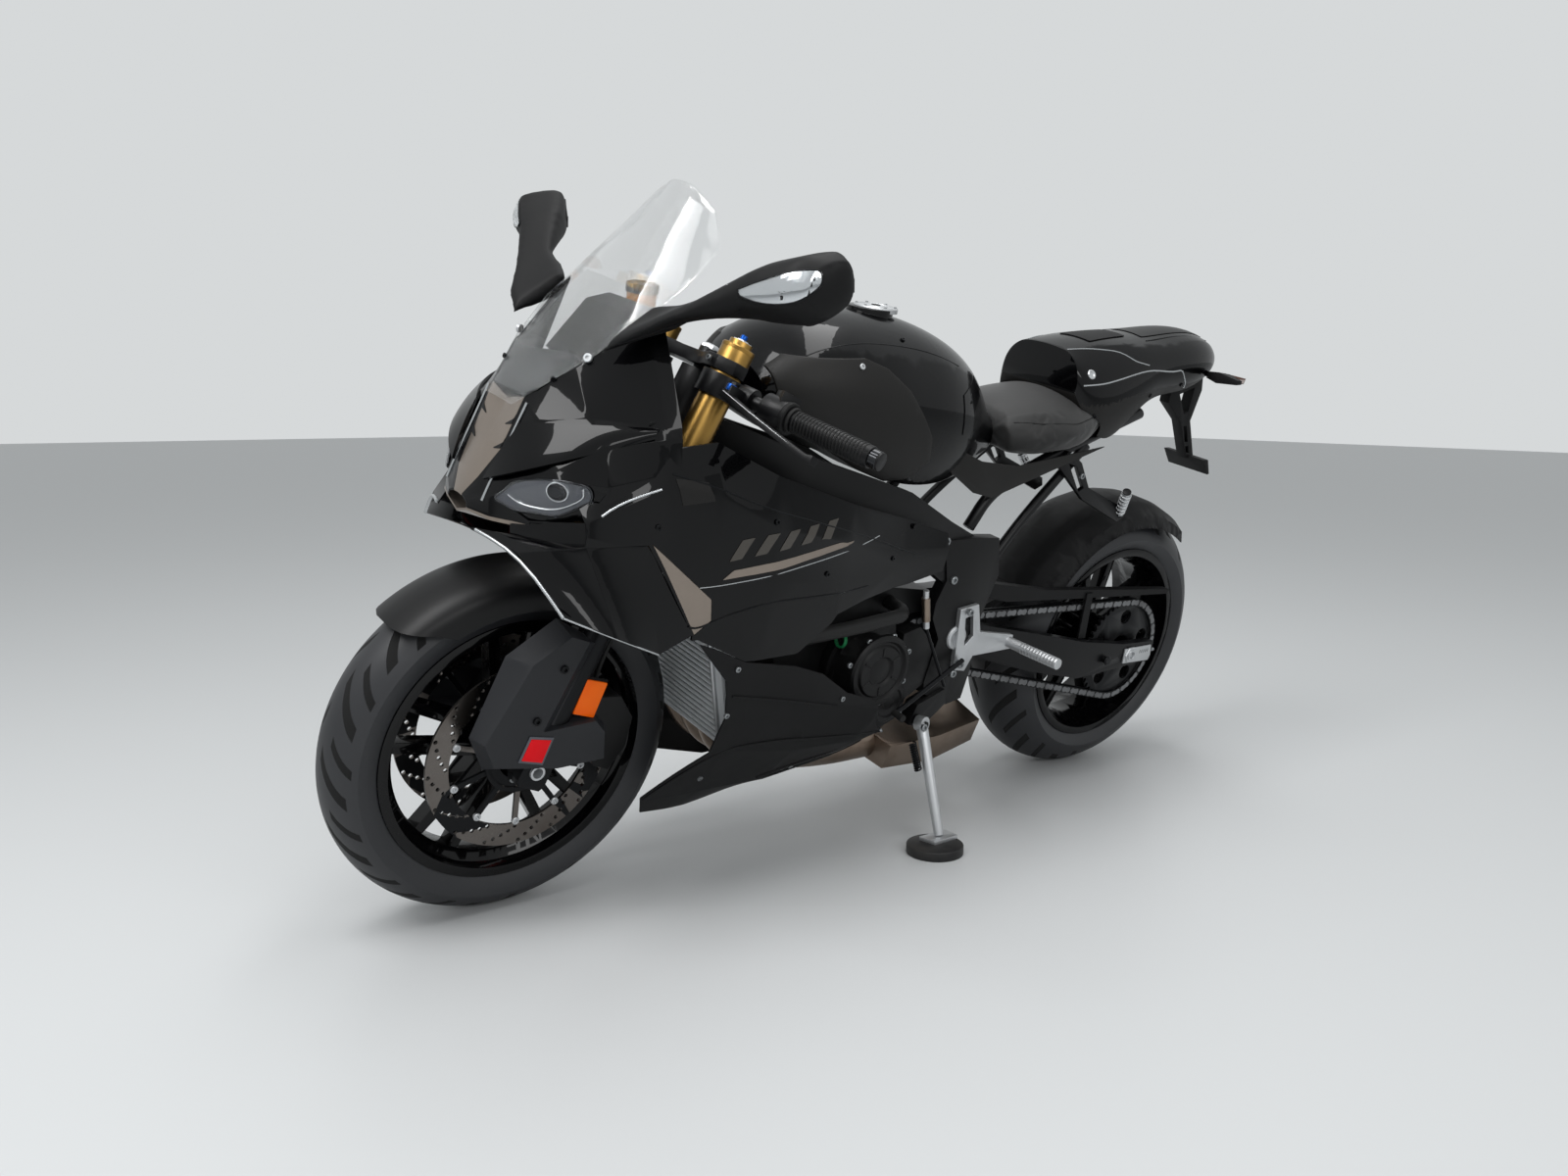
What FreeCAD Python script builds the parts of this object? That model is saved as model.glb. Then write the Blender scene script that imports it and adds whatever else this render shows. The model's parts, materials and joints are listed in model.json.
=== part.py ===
import FreeCAD, Part
import math
import os
import Sketcher

# Sport motorcycle, full size, leaning on its side stand with the stand foot on a round puck.
# It is drawn upright first: x forward from the middle of the wheelbase, y to the rider's left,
# z up from the ground line. At the end every piece is leaned over and set on the floor.

V = FreeCAD.Vector
doc = FreeCAD.newDocument("sport_bike")

# Driving dimensions in millimetres and degrees: name, size, what it is.
SIZES = [
    ("wheelbase", 1457, "between the two axles"),
    ("drawn_wheelbase", 1457, "wheelbase at which the places along the bike are given"),
    ("front_bay", 300, "ahead of this, places keep their distance from the front axle"),
    ("rake_angle", 23.6, "steering axis from the vertical"),
    ("fork_offset", 28.6, "fork legs ahead of the steering axis"),
    ("lean_angle", 13, "how far the bike leans on its stand"),
    ("front_tyre_radius", 300, "front tyre at its crown"),
    ("front_tyre_width", 120, "front tyre"),
    ("front_crown_radius", 65, "front tyre's tread arc"),
    ("rear_tyre_radius", 320, "rear tyre at its crown"),
    ("rear_tyre_width", 190, "rear tyre"),
    ("rear_crown_radius", 100, "rear tyre's tread arc"),
    ("rim_lip_radius", 227, "both rims, outside of the lips"),
    ("bead_seat_radius", 217, "both rims, where the tyre sits"),
    ("rim_well_radius", 200, "both rims, outside of the well"),
    ("rim_wall", 6, "rim barrel's wall"),
    ("front_rim_width", 101, "over the front rim's lips"),
    ("rear_rim_width", 164, "over the rear rim's lips"),
    ("lip_wall", 6, "thickness of a rim lip"),
    ("front_hub_radius", 38, "front hub"),
    ("front_hub_width", 112, "front hub"),
    ("rear_hub_radius", 52, "rear hub"),
    ("rear_hub_width", 150, "rear hub"),
    ("spoke_count", 5, "pairs of spokes in each wheel"),
    ("spoke_depth", 30, "spokes along the axle"),
    ("spoke_width", 18, "spokes seen from the side"),
    ("spoke_root_gap", 10, "between the two spokes of a pair at the hub"),
    ("front_spoke_spread", 28, "front spokes from their pair's middle, at the rim"),
    ("rear_spoke_spread", 34, "rear spokes from their pair's middle, at the rim"),
    ("seat_width", 17, "bead seats along the axle"),
    ("well_half_width", 17, "half the rim well along the axle"),
    ("front_axle_radius", 12.5, "front axle tube"),
    ("rear_axle_radius", 12.5, "rear axle tube"),
    ("rear_axle_half_length", 156, "rear axle, from the middle to an end"),
    ("pivot_bolt_radius", 14, "swingarm's pivot bolt"),
    ("axle_bore", 17, "bore of both hollow axles"),
    ("front_disc_radius", 160, "front brake disc"),
    ("front_disc_inner", 122, "front brake disc's braking band, inside"),
    ("front_disc_wall", 5, "front brake disc"),
    ("front_disc_track", 130, "between the front discs' middles"),
    ("rear_disc_radius", 110, "rear brake disc"),
    ("rear_disc_inner", 78, "rear brake disc's braking band, inside"),
    ("rear_disc_wall", 5, "rear brake disc"),
    ("rear_disc_place", -92, "rear brake disc from the wheel's middle"),
    ("chain_line", 112, "chain's middle from the wheel's middle"),
    ("chain_pitch", 15.875, "chain"),
    ("sprocket_teeth", 45, "rear sprocket"),
    ("sprocket_wall", 6, "rear sprocket"),
    ("tooth_height", 8, "sprocket teeth"),
    ("fork_half_track", 105, "fork legs each side of the middle"),
    ("fork_tube_radius", 27, "upper fork tubes"),
    ("fork_slider_radius", 21.5, "lower fork tubes"),
    ("fork_tube_low", 330, "upper fork tubes, lower end above the axle"),
    ("fork_tube_high", 735, "upper fork tubes, top above the axle"),
    ("lower_clamp_at", 500, "lower clamp above the axle, along the fork"),
    ("upper_clamp_at", 700, "upper clamp above the axle, along the fork"),
    ("clamp_wall", 30, "clamps along the fork"),
    ("head_tube_radius", 32, "steering head"),
    ("stem_radius", 14, "steering stem"),
    ("running_clearance", 0.08, "round a shaft that turns"),
    ("mudguard_wall", 3, "front mudguard"),
    ("bar_radius", 11, "handlebar tube"),
    ("grip_radius", 17, "rubber grips"),
    ("bar_reach", 400, "bar ends from the middle"),
    ("panel_wall", 3.5, "fairing panels"),
    ("panel_gap", 0.3, "between two fairing panels"),
    ("screen_wall", 3, "windscreen"),
    ("frame_wall", 26, "frame spars across the bike"),
    ("swingarm_pivot_x", -160, "swingarm pivot; behind it, places keep their distance from the rear axle"),
    ("plate_near", 126, "pivot plates' inner faces from the middle"),
    ("engine_half", 108, "engine's sides from the middle"),
    ("sprocket_bore", 65, "bore of the rear sprocket's carrier"),
    ("guard_wall", 4, "fork guards"),
    ("brake_line_radius", 4, "brake lines"),
    ("hose_radius", 13, "coolant hose"),
    ("swingarm_pivot_z", 430, "swingarm pivot above the ground line"),
    ("stand_pin_radius", 6, "side stand's pin"),
    ("puck_radius", 54, "stand puck"),
    ("puck_thick", 18, "stand puck"),
    ("stand_tube_radius", 12, "side stand leg at its top"),
    ("seat_clearance", 0.3, "between pieces that seat on each other"),
]

sheet = doc.addObject("Spreadsheet::Sheet", "Sizes")
SIZE = {}
for row, (alias, size, meaning) in enumerate(SIZES, start=1):
    sheet.set("A%d" % row, str(size))
    sheet.setAlias("A%d" % row, alias)
    sheet.set("B%d" % row, meaning)
doc.recompute()
for alias, size, meaning in SIZES:
    SIZE[alias] = float(sheet.get(alias))


class Named:
    """The sheet's sizes as attributes, for the pieces that are worked out in code."""


d = Named()
for alias in SIZE:
    setattr(d, alias, SIZE[alias])

LEAN = math.radians(d.lean_angle)
RAKE = math.radians(d.rake_angle)


def axle_height(tyre_radius, crown_radius):
    """Height of a leaned wheel's axle above the ground line, so that its tread arc touches the floor."""
    return tyre_radius - crown_radius + crown_radius / math.cos(LEAN)


def station(x):
    """Where a place along the bike comes to lie when the wheelbase changes."""
    growth = (d.wheelbase - d.drawn_wheelbase) / 2
    share = (x - d.swingarm_pivot_x) / (d.front_bay - d.swingarm_pivot_x)
    return x + growth * (2 * max(0, min(1, share)) - 1)


def at(x, y, z):
    """A point of the upright bike, given at the drawn wheelbase."""
    return V(station(x), y, z)


FRONT_AXLE = V(d.wheelbase / 2, 0, axle_height(d.front_tyre_radius, d.front_crown_radius))
REAR_AXLE = V(-d.wheelbase / 2, 0, axle_height(d.rear_tyre_radius, d.rear_crown_radius))
UPRIGHT = FreeCAD.Placement()
FORK = FreeCAD.Placement(FRONT_AXLE, FreeCAD.Rotation(V(0, 1, 0), -d.rake_angle))
FRONT_WHEEL = FreeCAD.Placement(FRONT_AXLE, FreeCAD.Rotation())
REAR_WHEEL = FreeCAD.Placement(REAR_AXLE, FreeCAD.Rotation())

SUBPARTS = []


def keep(item, label, place=UPRIGHT):
    """Gives a finished sub-part its label and its place on the upright bike."""
    item.Label = label
    item.Placement = place
    SUBPARTS.append((item, place))
    return item


def feature(label, shape, place=UPRIGHT):
    """A sub-part whose shape is worked out in code."""
    item = doc.addObject("Part::Feature", label)
    item.Shape = shape.removeSplitter()
    return keep(item, label, place)


def origin_plane(body, role):
    for plane in body.Origin.OriginFeatures:
        if plane.Role == role:
            return plane
    raise RuntimeError("no plane " + role)


def outline_sketch(body, label, role, loops):
    """A sketch of closed outlines. Each corner is (across, up), both held by the sheet's sizes."""
    sketch = body.newObject("Sketcher::SketchObject", label)
    sketch.AttachmentSupport = [(origin_plane(body, role), "")]
    sketch.MapMode = "FlatFace"
    first = 0
    for corners in loops:
        count = len(corners)
        spots = []
        for index in range(count):
            turn = 2 * math.pi * index / count
            spots.append(V(100 * math.cos(turn), 100 * math.sin(turn), 0))
        for index in range(count):
            sketch.addGeometry(Part.LineSegment(spots[index], spots[(index + 1) % count]))
        for index in range(count):
            here = first + index
            after = first + (index + 1) % count
            sketch.addConstraint(Sketcher.Constraint("Coincident", here, 2, after, 1))
        for index, (across, up) in enumerate(corners):
            for kind, rule in (("DistanceX", across), ("DistanceY", up)):
                start = spots[index].x if kind == "DistanceX" else spots[index].y
                number = sketch.addConstraint(
                    Sketcher.Constraint(kind, -1, 1, first + index, 1, start))
                sketch.setExpression("Constraints[%d]" % number, rule)
        first += count
    return sketch


def turned(body, label, corners):
    """Corners are (radius, along the axle). The outline is turned about the body's Y axis."""
    sketch = outline_sketch(body, label + "_outline", "XY_Plane", [corners])
    solid = body.newObject("PartDesign::Revolution", label)
    solid.Profile = sketch
    solid.ReferenceAxis = (sketch, ["V_Axis"])
    solid.Angle = 360
    return solid


def polygon(points):
    return Part.makePolygon(list(points) + [points[0]])


def slab(outline, near, far):
    """A plate whose side view is the outline of (x, z) corners, from y = near to y = far."""
    face = Part.Face(polygon([V(x, near, z) for x, z in outline]))
    return face.extrude(V(0, far - near, 0))


def side_plate(outline, near, far):
    """A plate like slab's, with its corners given at the drawn wheelbase."""
    return slab([(station(x), z) for x, z in outline], near, far)


def cross_bar(radius, x, z, near, far):
    """A round bar across the bike, from y = near to y = far."""
    return Part.makeCylinder(radius, far - near, at(x, near, z), V(0, 1, 0))


def slice_up(outline, low, high):
    """A plate whose top view is the outline of (x, y) corners, from z = low to z = high."""
    face = Part.Face(polygon([V(x, y, low) for x, y in outline]))
    return face.extrude(V(0, 0, high - low))


def rod(start, end, radius):
    return Part.makeCylinder(radius, (end - start).Length, start, end - start)


def ruled(wires):
    return Part.makeLoft(wires, True, True)


def bowed(x, half):
    """A section with a crowned top, two bowed sides and a flat floor.
    Half is (y, z) of the top's middle, the shoulder, the widest place and the foot."""
    top, shoulder, waist, foot = [at(x, y, z) for y, z in half]
    far_shoulder, far_waist, far_foot = [at(x, -y, z) for y, z in half[1:]]
    return Part.Wire([
        Part.Arc(far_shoulder, top, shoulder).toShape(),
        Part.Arc(shoulder, waist, foot).toShape(),
        Part.LineSegment(foot, far_foot).toShape(),
        Part.Arc(far_foot, far_waist, far_shoulder).toShape(),
    ])


def flowing(rows, wall=0):
    """A smooth solid through bowed sections, grown outwards by the wall."""
    wires = []
    for x, (top, shoulder, waist, foot) in rows:
        slant = wall * math.sqrt(0.5)
        wires.append(bowed(x, [(0, top[1] + wall), (shoulder[0] + slant, shoulder[1] + slant),
                               (waist[0] + wall, waist[1]), (foot[0] + slant, foot[1] - slant)]))
    return Part.makeLoft(wires, True, False)


def mirrored(shape):
    return shape.mirror(V(0, 0, 0), V(0, 1, 0))


def both_sides(shape):
    return Part.makeCompound([shape, mirrored(shape)])


def fused(shapes):
    result = shapes[0]
    if len(shapes) > 1:
        result = shapes[0].fuse(shapes[1:])
    return result.removeSplitter()


def tube(points, radius, bend=0.45):
    """Straight runs joined by tangent arcs. Each arc takes the same share of its shorter run."""
    edges = []
    last = points[0]
    for index in range(1, len(points) - 1):
        before, corner, after = points[index - 1], points[index], points[index + 1]
        back = (before - corner).normalize()
        ahead = (after - corner).normalize()
        cut = bend * min((before - corner).Length, (after - corner).Length)
        enter = corner + back * cut
        leave = corner + ahead * cut
        half = (back + ahead).normalize()
        half_turn = math.acos(max(-1, min(1, back.dot(ahead)))) / 2
        radius_of_arc = cut * math.tan(half_turn)
        centre = corner + half * (cut / math.cos(half_turn))
        middle = centre - half * radius_of_arc
        if (enter - last).Length > 1e-6:
            edges.append(Part.LineSegment(last, enter).toShape())
        edges.append(Part.Arc(enter, middle, leave).toShape())
        last = leave
    edges.append(Part.LineSegment(last, points[-1]).toShape())
    path = Part.Wire(edges)
    start_way = points[1] - points[0]
    circle = Part.Wire(Part.makeCircle(radius, points[0], start_way))
    return path.makePipeShell([circle], True, False, 2)


def inset(corners, wall):
    """The corners of a closed outline moved inwards by the wall."""
    count = len(corners)
    area = 0
    for index in range(count):
        ax, ay = corners[index]
        bx, by = corners[(index + 1) % count]
        area += ax * by - bx * ay
    side = 1 if area > 0 else -1
    moved = []
    for index in range(count):
        px, py = corners[index - 1]
        cx, cy = corners[index]
        nx, ny = corners[(index + 1) % count]
        a = V(cx - px, cy - py, 0).normalize()
        b = V(nx - cx, ny - cy, 0).normalize()
        a_in = V(-a.y, a.x, 0) * side
        b_in = V(-b.y, b.x, 0) * side
        middle = (a_in + b_in).normalize()
        reach = wall / max(0.35, middle.dot(a_in))
        moved.append((cx + middle.x * reach, cy + middle.y * reach))
    return moved


def whole_section(half):
    """A left half outline of (y, z) corners, from the top middle to the bottom middle, closed."""
    right = [(-y, z) for y, z in reversed(half) if abs(y) > 1e-9]
    return list(half) + right


def hull(stations, wall):
    """Outer and inner solids of a faceted shell. Each station is (x, half outline of (y, z))."""
    outer = []
    inner = []
    for x, half in stations:
        corners = whole_section(half)
        outer.append(polygon([V(x, y, z) for y, z in corners]))
        inner.append(polygon([V(x, y, z) for y, z in inset(corners, wall)]))
    return ruled(outer), ruled(inner)


# Wheels. Each is drawn about its own axle, which lies along y.

def tyre(label, kind, place):
    """A tyre from its bead seats out: straight side walls and one arc for the tread."""
    name = "Sizes.%s_" % kind
    half = "%styre_width / 2" % name
    bead = "%srim_width / 2 - Sizes.lip_wall - Sizes.seat_clearance" % name
    shoulder = ("%styre_radius - %scrown_radius + sqrt(%scrown_radius ^ 2 - (%s) ^ 2)"
                % (name, name, name, half))
    seat = "Sizes.bead_seat_radius + Sizes.seat_clearance"
    lip = "Sizes.rim_lip_radius + Sizes.seat_clearance"
    rules = [
        (seat, "-(%s)" % bead),
        (lip, "-(%s)" % bead),
        (lip, "-(%s) - Sizes.lip_wall * 0.6" % bead),
        (shoulder, "-(%s)" % half),
        (shoulder, half),
        (lip, "%s + Sizes.lip_wall * 0.6" % bead),
        (lip, bead),
        (seat, bead),
    ]
    width = SIZE[kind + "_tyre_width"]
    crown = SIZE[kind + "_crown_radius"]
    radius = SIZE[kind + "_tyre_radius"]
    rim = SIZE[kind + "_rim_width"] / 2 - d.lip_wall - d.seat_clearance
    low = d.bead_seat_radius + d.seat_clearance
    edge = d.rim_lip_radius + d.seat_clearance
    wide = radius - crown + math.sqrt(crown ** 2 - width ** 2 / 4)
    out = rim + d.lip_wall * 0.6
    spots = [V(low, -rim, 0), V(edge, -rim, 0), V(edge, -out, 0), V(wide, -width / 2, 0),
             V(wide, width / 2, 0), V(edge, out, 0), V(edge, rim, 0), V(low, rim, 0)]
    body = doc.addObject("PartDesign::Body", label + "_body")
    sketch = body.newObject("Sketcher::SketchObject", label + "_outline")
    sketch.AttachmentSupport = [(origin_plane(body, "XY_Plane"), "")]
    sketch.MapMode = "FlatFace"
    arc_at = 3
    for index in range(len(spots)):
        after = spots[(index + 1) % len(spots)]
        if index == arc_at:
            arc = Part.Arc(spots[index], V(radius, 0, 0), after)
            sketch.addGeometry(arc)
        else:
            sketch.addGeometry(Part.LineSegment(spots[index], after))
    ends = {index: (1, 2) for index in range(len(spots))}
    if (sketch.Geometry[arc_at].StartPoint - spots[arc_at]).Length > 1:
        ends[arc_at] = (2, 1)
    for index in range(len(spots)):
        after = (index + 1) % len(spots)
        sketch.addConstraint(
            Sketcher.Constraint("Coincident", index, ends[index][1], after, ends[after][0]))
    for index, (across, up) in enumerate(rules):
        for kind_of, rule, start in (("DistanceX", across, spots[index].x),
                                     ("DistanceY", up, spots[index].y)):
            number = sketch.addConstraint(
                Sketcher.Constraint(kind_of, -1, 1, index, ends[index][0], start))
            sketch.setExpression("Constraints[%d]" % number, rule)
    number = sketch.addConstraint(Sketcher.Constraint("Radius", arc_at, crown))
    sketch.setExpression("Constraints[%d]" % number, name + "crown_radius")
    solid = body.newObject("PartDesign::Revolution", label + "_turn")
    solid.Profile = sketch
    solid.ReferenceAxis = (sketch, ["V_Axis"])
    solid.Angle = 360
    return keep(body, label, place)


def rim(label, kind, place):
    """Barrel with lips, seats and a well, a hub, and pairs of spokes between them."""
    half = "Sizes.%s_rim_width / 2" % kind
    lip, seat, well = "Sizes.rim_lip_radius", "Sizes.bead_seat_radius", "Sizes.rim_well_radius"
    wall = "Sizes.rim_wall"
    inner_seat = "%s + Sizes.lip_wall + Sizes.seat_width" % ("-" + half)
    well_half = "Sizes.well_half_width"
    left = [
        (lip, "-" + half),
        (lip, "-%s + Sizes.lip_wall" % half),
        (seat, "-%s + Sizes.lip_wall" % half),
        (seat, inner_seat),
        (well, "-" + well_half),
    ]
    right = [(radius, "-(%s)" % side) for radius, side in reversed(left)]
    inside = [
        ("%s - %s" % (seat, wall), half),
        ("%s - %s" % (seat, wall), "-(%s)" % inner_seat),
        ("%s - %s" % (well, wall), well_half),
        ("%s - %s" % (well, wall), "-" + well_half),
        ("%s - %s" % (seat, wall), inner_seat),
        ("%s - %s" % (seat, wall), "-" + half),
    ]
    body = doc.addObject("PartDesign::Body", label + "_body")
    hub = "Sizes.%s_hub_radius" % kind
    hub_half = "Sizes.%s_hub_width / 2" % kind
    bore = "Sizes.%s_axle_radius + Sizes.seat_clearance" % kind
    turned(body, label + "_hub", [
        (bore, "-" + hub_half), (hub, "-" + hub_half), (hub, hub_half), (bore, hub_half)])
    reach = "(%s - %s / 2)" % (well, wall)
    spread = "Sizes.%s_spoke_spread" % kind
    wide = "Sizes.spoke_width"
    root = "%s * 0.9" % hub
    top = "sqrt(%s ^ 2 - (%s + %s) ^ 2)" % (reach, spread, wide)
    blades = []
    for sign in ("", "-"):
        blades.append([
            ("%s(Sizes.spoke_root_gap / 2)" % sign, root),
            ("%s(Sizes.spoke_root_gap / 2 + %s * 1.3)" % (sign, wide), "%s * 0.8" % hub),
            ("%s(%s + %s)" % (sign, spread, wide), top),
            ("%s%s" % (sign, spread), top),
        ])
    sketch = outline_sketch(body, label + "_spoke_outline", "XZ_Plane", blades)
    pad = body.newObject("PartDesign::Pad", label + "_spokes")
    pad.Profile = sketch
    pad.setExpression("Length", "Sizes.spoke_depth")
    pad.Midplane = True
    ring = body.newObject("PartDesign::PolarPattern", label + "_spoke_ring")
    ring.Originals = [pad]
    ring.Axis = (origin_axis(body, "Y_Axis"), [""])
    ring.Angle = 360
    ring.setExpression("Occurrences", "Sizes.spoke_count")
    body.Tip = ring
    turned(body, label + "_barrel", left + right + inside)
    return keep(body, label, place)


def origin_axis(body, role):
    for axis in body.Origin.OriginFeatures:
        if axis.Role == role:
            return axis
    raise RuntimeError("no axis " + role)


for wheel, spot in (("front", FRONT_WHEEL), ("rear", REAR_WHEEL)):
    rim(wheel + "_rim", wheel, spot)
    tyre(wheel + "_tyre", wheel, spot)


def ring_plate(outer, inner, near, far):
    """A flat ring about the y axis, from y = near to y = far."""
    solid = Part.makeCylinder(outer, far - near, V(0, near, 0), V(0, 1, 0))
    return solid.cut(Part.makeCylinder(inner, far - near, V(0, near, 0), V(0, 1, 0)))


def brake_disc(outer, inner, carrier_root, wall, middle, arms, arm_width):
    """Braking band held by a carrier with arms, about the y axis."""
    near = middle - wall / 2
    far = middle + wall / 2
    pieces = [ring_plate(outer, inner, near, far)]
    pieces.append(ring_plate(carrier_root + 16, carrier_root, near, far))
    arm = Part.makeBox(arm_width, wall, inner + 2 - carrier_root - 8,
                       V(-arm_width / 2, near, carrier_root + 8))
    for index in range(arms):
        turn = arm.copy()
        turn.rotate(V(0, 0, 0), V(0, 1, 0), 360 * index / arms)
        pieces.append(turn)
    return fused(pieces)


front_disc = brake_disc(d.front_disc_radius, d.front_disc_inner,
                        d.front_hub_radius + d.seat_clearance, d.front_disc_wall,
                        d.front_disc_track / 2, 10, 9)
front_hub_end = d.front_hub_width / 2
hub_flange = ring_plate(d.front_hub_radius + d.seat_clearance + 14,
                        d.front_hub_radius + d.seat_clearance,
                        front_hub_end - 14, d.front_disc_track / 2)
feature("front_discs", both_sides(front_disc.fuse(hub_flange)), FRONT_WHEEL)

rear_disc = brake_disc(d.rear_disc_radius, d.rear_disc_inner,
                       d.rear_hub_radius + d.seat_clearance, d.rear_disc_wall,
                       d.rear_disc_place, 8, 8)
rear_flange = ring_plate(d.rear_hub_radius + d.seat_clearance + 10,
                         d.rear_hub_radius + d.seat_clearance,
                         d.rear_disc_place, -d.rear_hub_width / 2 + 14)
feature("rear_disc", rear_disc.fuse(rear_flange), REAR_WHEEL)


def sprocket_outline(teeth, pitch, tooth):
    """Corners of a toothed wheel's side view: a flat tip and a flat root for each tooth."""
    root = pitch / (2 * math.sin(math.pi / teeth)) - tooth / 2
    corners = []
    for index in range(teeth):
        for share, radius in ((-0.32, root), (-0.12, root + tooth), (0.12, root + tooth),
                              (0.32, root)):
            turn = 2 * math.pi * (index + share) / teeth
            corners.append((radius * math.sin(turn), radius * math.cos(turn)))
    return corners


def chain_radius(teeth):
    return d.chain_pitch / (2 * math.sin(math.pi / teeth))


near = d.chain_line - d.sprocket_wall / 2
hub_bore = d.sprocket_bore / 2
sprocket = slab(sprocket_outline(int(d.sprocket_teeth), d.chain_pitch, d.tooth_height),
                near, near + d.sprocket_wall)
lightening = []
for index in range(5):
    hole = Part.makeCylinder(17, d.sprocket_wall, V(0, near, 78), V(0, 1, 0))
    hole.rotate(V(0, 0, 0), V(0, 1, 0), 72 * index)
    lightening.append(hole)
carrier = ring_plate(58, hub_bore, d.rear_hub_width / 2 + d.seat_clearance, near)
sprocket = sprocket.cut(lightening).cut(
    Part.makeCylinder(hub_bore, 60, V(0, near - 1, 0), V(0, 1, 0)))
feature("rear_sprocket", sprocket.fuse(carrier), REAR_WHEEL)


# Steering: drawn along the fork. x is ahead of the legs, z runs up the legs from the axle.

HALF = d.fork_half_track
STEM = V(-d.fork_offset, 0, 0)


def clamp_plate(level, wall, reach):
    """A fork clamp: one plate that holds both legs and the stem."""
    outline = [
        (-d.fork_offset - 30, -28), (-d.fork_offset - 30, 28), (-30, HALF + 8),
        (-10, HALF + reach), (14, HALF + reach), (reach, HALF + 6), (reach, HALF - 22),
        (4, 30), (4, -30), (reach, 22 - HALF), (reach, -6 - HALF), (14, -HALF - reach),
        (-10, -HALF - reach), (-30, -HALF - 8),
    ]
    plate = slice_up(outline, level - wall / 2, level + wall / 2)
    for side in (-HALF, HALF):
        plate = plate.cut(Part.makeCylinder(d.fork_tube_radius + d.seat_clearance, 2 * wall,
                                            V(0, side, level - wall)))
    return plate


upper_wall = d.clamp_wall * 0.7
stem = Part.makeCylinder(d.stem_radius, d.upper_clamp_at - d.lower_clamp_at,
                         STEM + V(0, 0, d.lower_clamp_at))
stem_nut = Part.makeCylinder(d.stem_radius + 4, 12,
                             STEM + V(0, 0, d.upper_clamp_at + upper_wall / 2))
clamps = fused([clamp_plate(d.lower_clamp_at, d.clamp_wall, 36),
                clamp_plate(d.upper_clamp_at, upper_wall, 33), stem, stem_nut])
feature("fork_clamps", clamps, FORK)

tube_length = d.fork_tube_high - d.fork_tube_low
slider_top = d.fork_tube_low + 60
fork_tube = Part.makeCylinder(d.fork_tube_radius, tube_length, V(0, HALF, d.fork_tube_low))
fork_tube = fork_tube.cut(Part.makeCylinder(d.fork_slider_radius + d.seat_clearance, 61,
                                            V(0, HALF, d.fork_tube_low)))
cap = Part.makeCylinder(d.fork_tube_radius * 0.7, 10, V(0, HALF, d.fork_tube_high))
feature("fork_tubes", both_sides(fork_tube.fuse(cap)), FORK)

slider = Part.makeCylinder(d.fork_slider_radius, slider_top, V(0, HALF, 0))
foot = slab([(-26, -20), (-20, -30), (20, -30), (26, -20), (24, 30), (18, 70), (-24, 70)],
            HALF - 19, HALF + 19)
lugs = slab([(-24, 20), (-24, 70), (-50, 96), (-62, 96), (-62, 78), (-40, 20)], HALF - 18, HALF - 4)
lower_leg = fused([slider, foot, lugs])
axle_hole = Part.makeCylinder(d.front_axle_radius + d.seat_clearance, 80,
                              V(0, HALF - 40, 0), V(0, 1, 0))
lower_leg = lower_leg.cut(axle_hole)
BRAKE_LINE_TOP = V(-34, HALF - 16, d.lower_clamp_at - d.clamp_wall / 2)
brake_line = tube([V(-58, HALF - 20, 128), V(-40, HALF - 12, 190), V(-36, HALF - 14, 400),
                   BRAKE_LINE_TOP], d.brake_line_radius)
brake_line = brake_line.cut(clamps)
feature("fork_sliders", both_sides(Part.makeCompound([lower_leg, brake_line])), FORK)
leg_body = lower_leg.copy()
line_body = brake_line.copy()
for item in (leg_body, line_body):
    item.rotate(V(0, 0, 0), V(0, 1, 0), -d.rake_angle)


def turned_tube(label, outer, inner, half_length, place):
    """A hollow axle about the y axis."""
    body = doc.addObject("PartDesign::Body", label + "_body")
    turned(body, label + "_tube", [(inner, "-" + half_length), (outer, "-" + half_length),
                                   (outer, half_length), (inner, half_length)])
    return keep(body, label, place)


turned_tube("front_axle", "Sizes.front_axle_radius", "Sizes.axle_bore / 2",
            "(Sizes.fork_half_track + 24)", FRONT_WHEEL)

# Clip-on handlebars: a clamp round each leg, and a bar that sweeps back to the grip.
clip_at = d.upper_clamp_at - upper_wall / 2 - 22
BAR_START = V(-2, HALF + 30, clip_at)
BAR_END = V(-97, d.bar_reach, clip_at - 1)
bar_way = (BAR_END - BAR_START).normalize()


def on_bar(reach):
    """The bar's middle at a distance from the bike's middle."""
    return BAR_START + bar_way * ((reach - BAR_START.y) / bar_way.y)


clip = Part.makeCylinder(d.fork_tube_radius + 9, 36, V(0, HALF, clip_at - 18))
clip = clip.fuse(slice_up([(-16, HALF + 20), (12, HALF + 20), (8, HALF + 44), (-18, HALF + 44)],
                          clip_at - 15, clip_at + 15))
clip = clip.cut(Part.makeCylinder(d.fork_tube_radius + d.seat_clearance, 40,
                                  V(0, HALF, clip_at - 20)))
bar = rod(on_bar(HALF + 30), on_bar(d.bar_reach), d.bar_radius)
grip = rod(on_bar(246), on_bar(d.bar_reach - 16), d.grip_radius)
weight = rod(on_bar(d.bar_reach - 12), on_bar(d.bar_reach), d.grip_radius - 3)
feature("handlebars", both_sides(fused([clip, bar, grip, weight])), FORK)


def lever_section(x, reach, front, top, wall):
    """A rectangle that faces along the bar: its rear edge, place, front edge, top and height."""
    return polygon([V(x, reach, clip_at + top), V(front, reach, clip_at + top),
                    V(front, reach, clip_at + top - wall), V(x, reach, clip_at + top - wall)])


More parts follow.
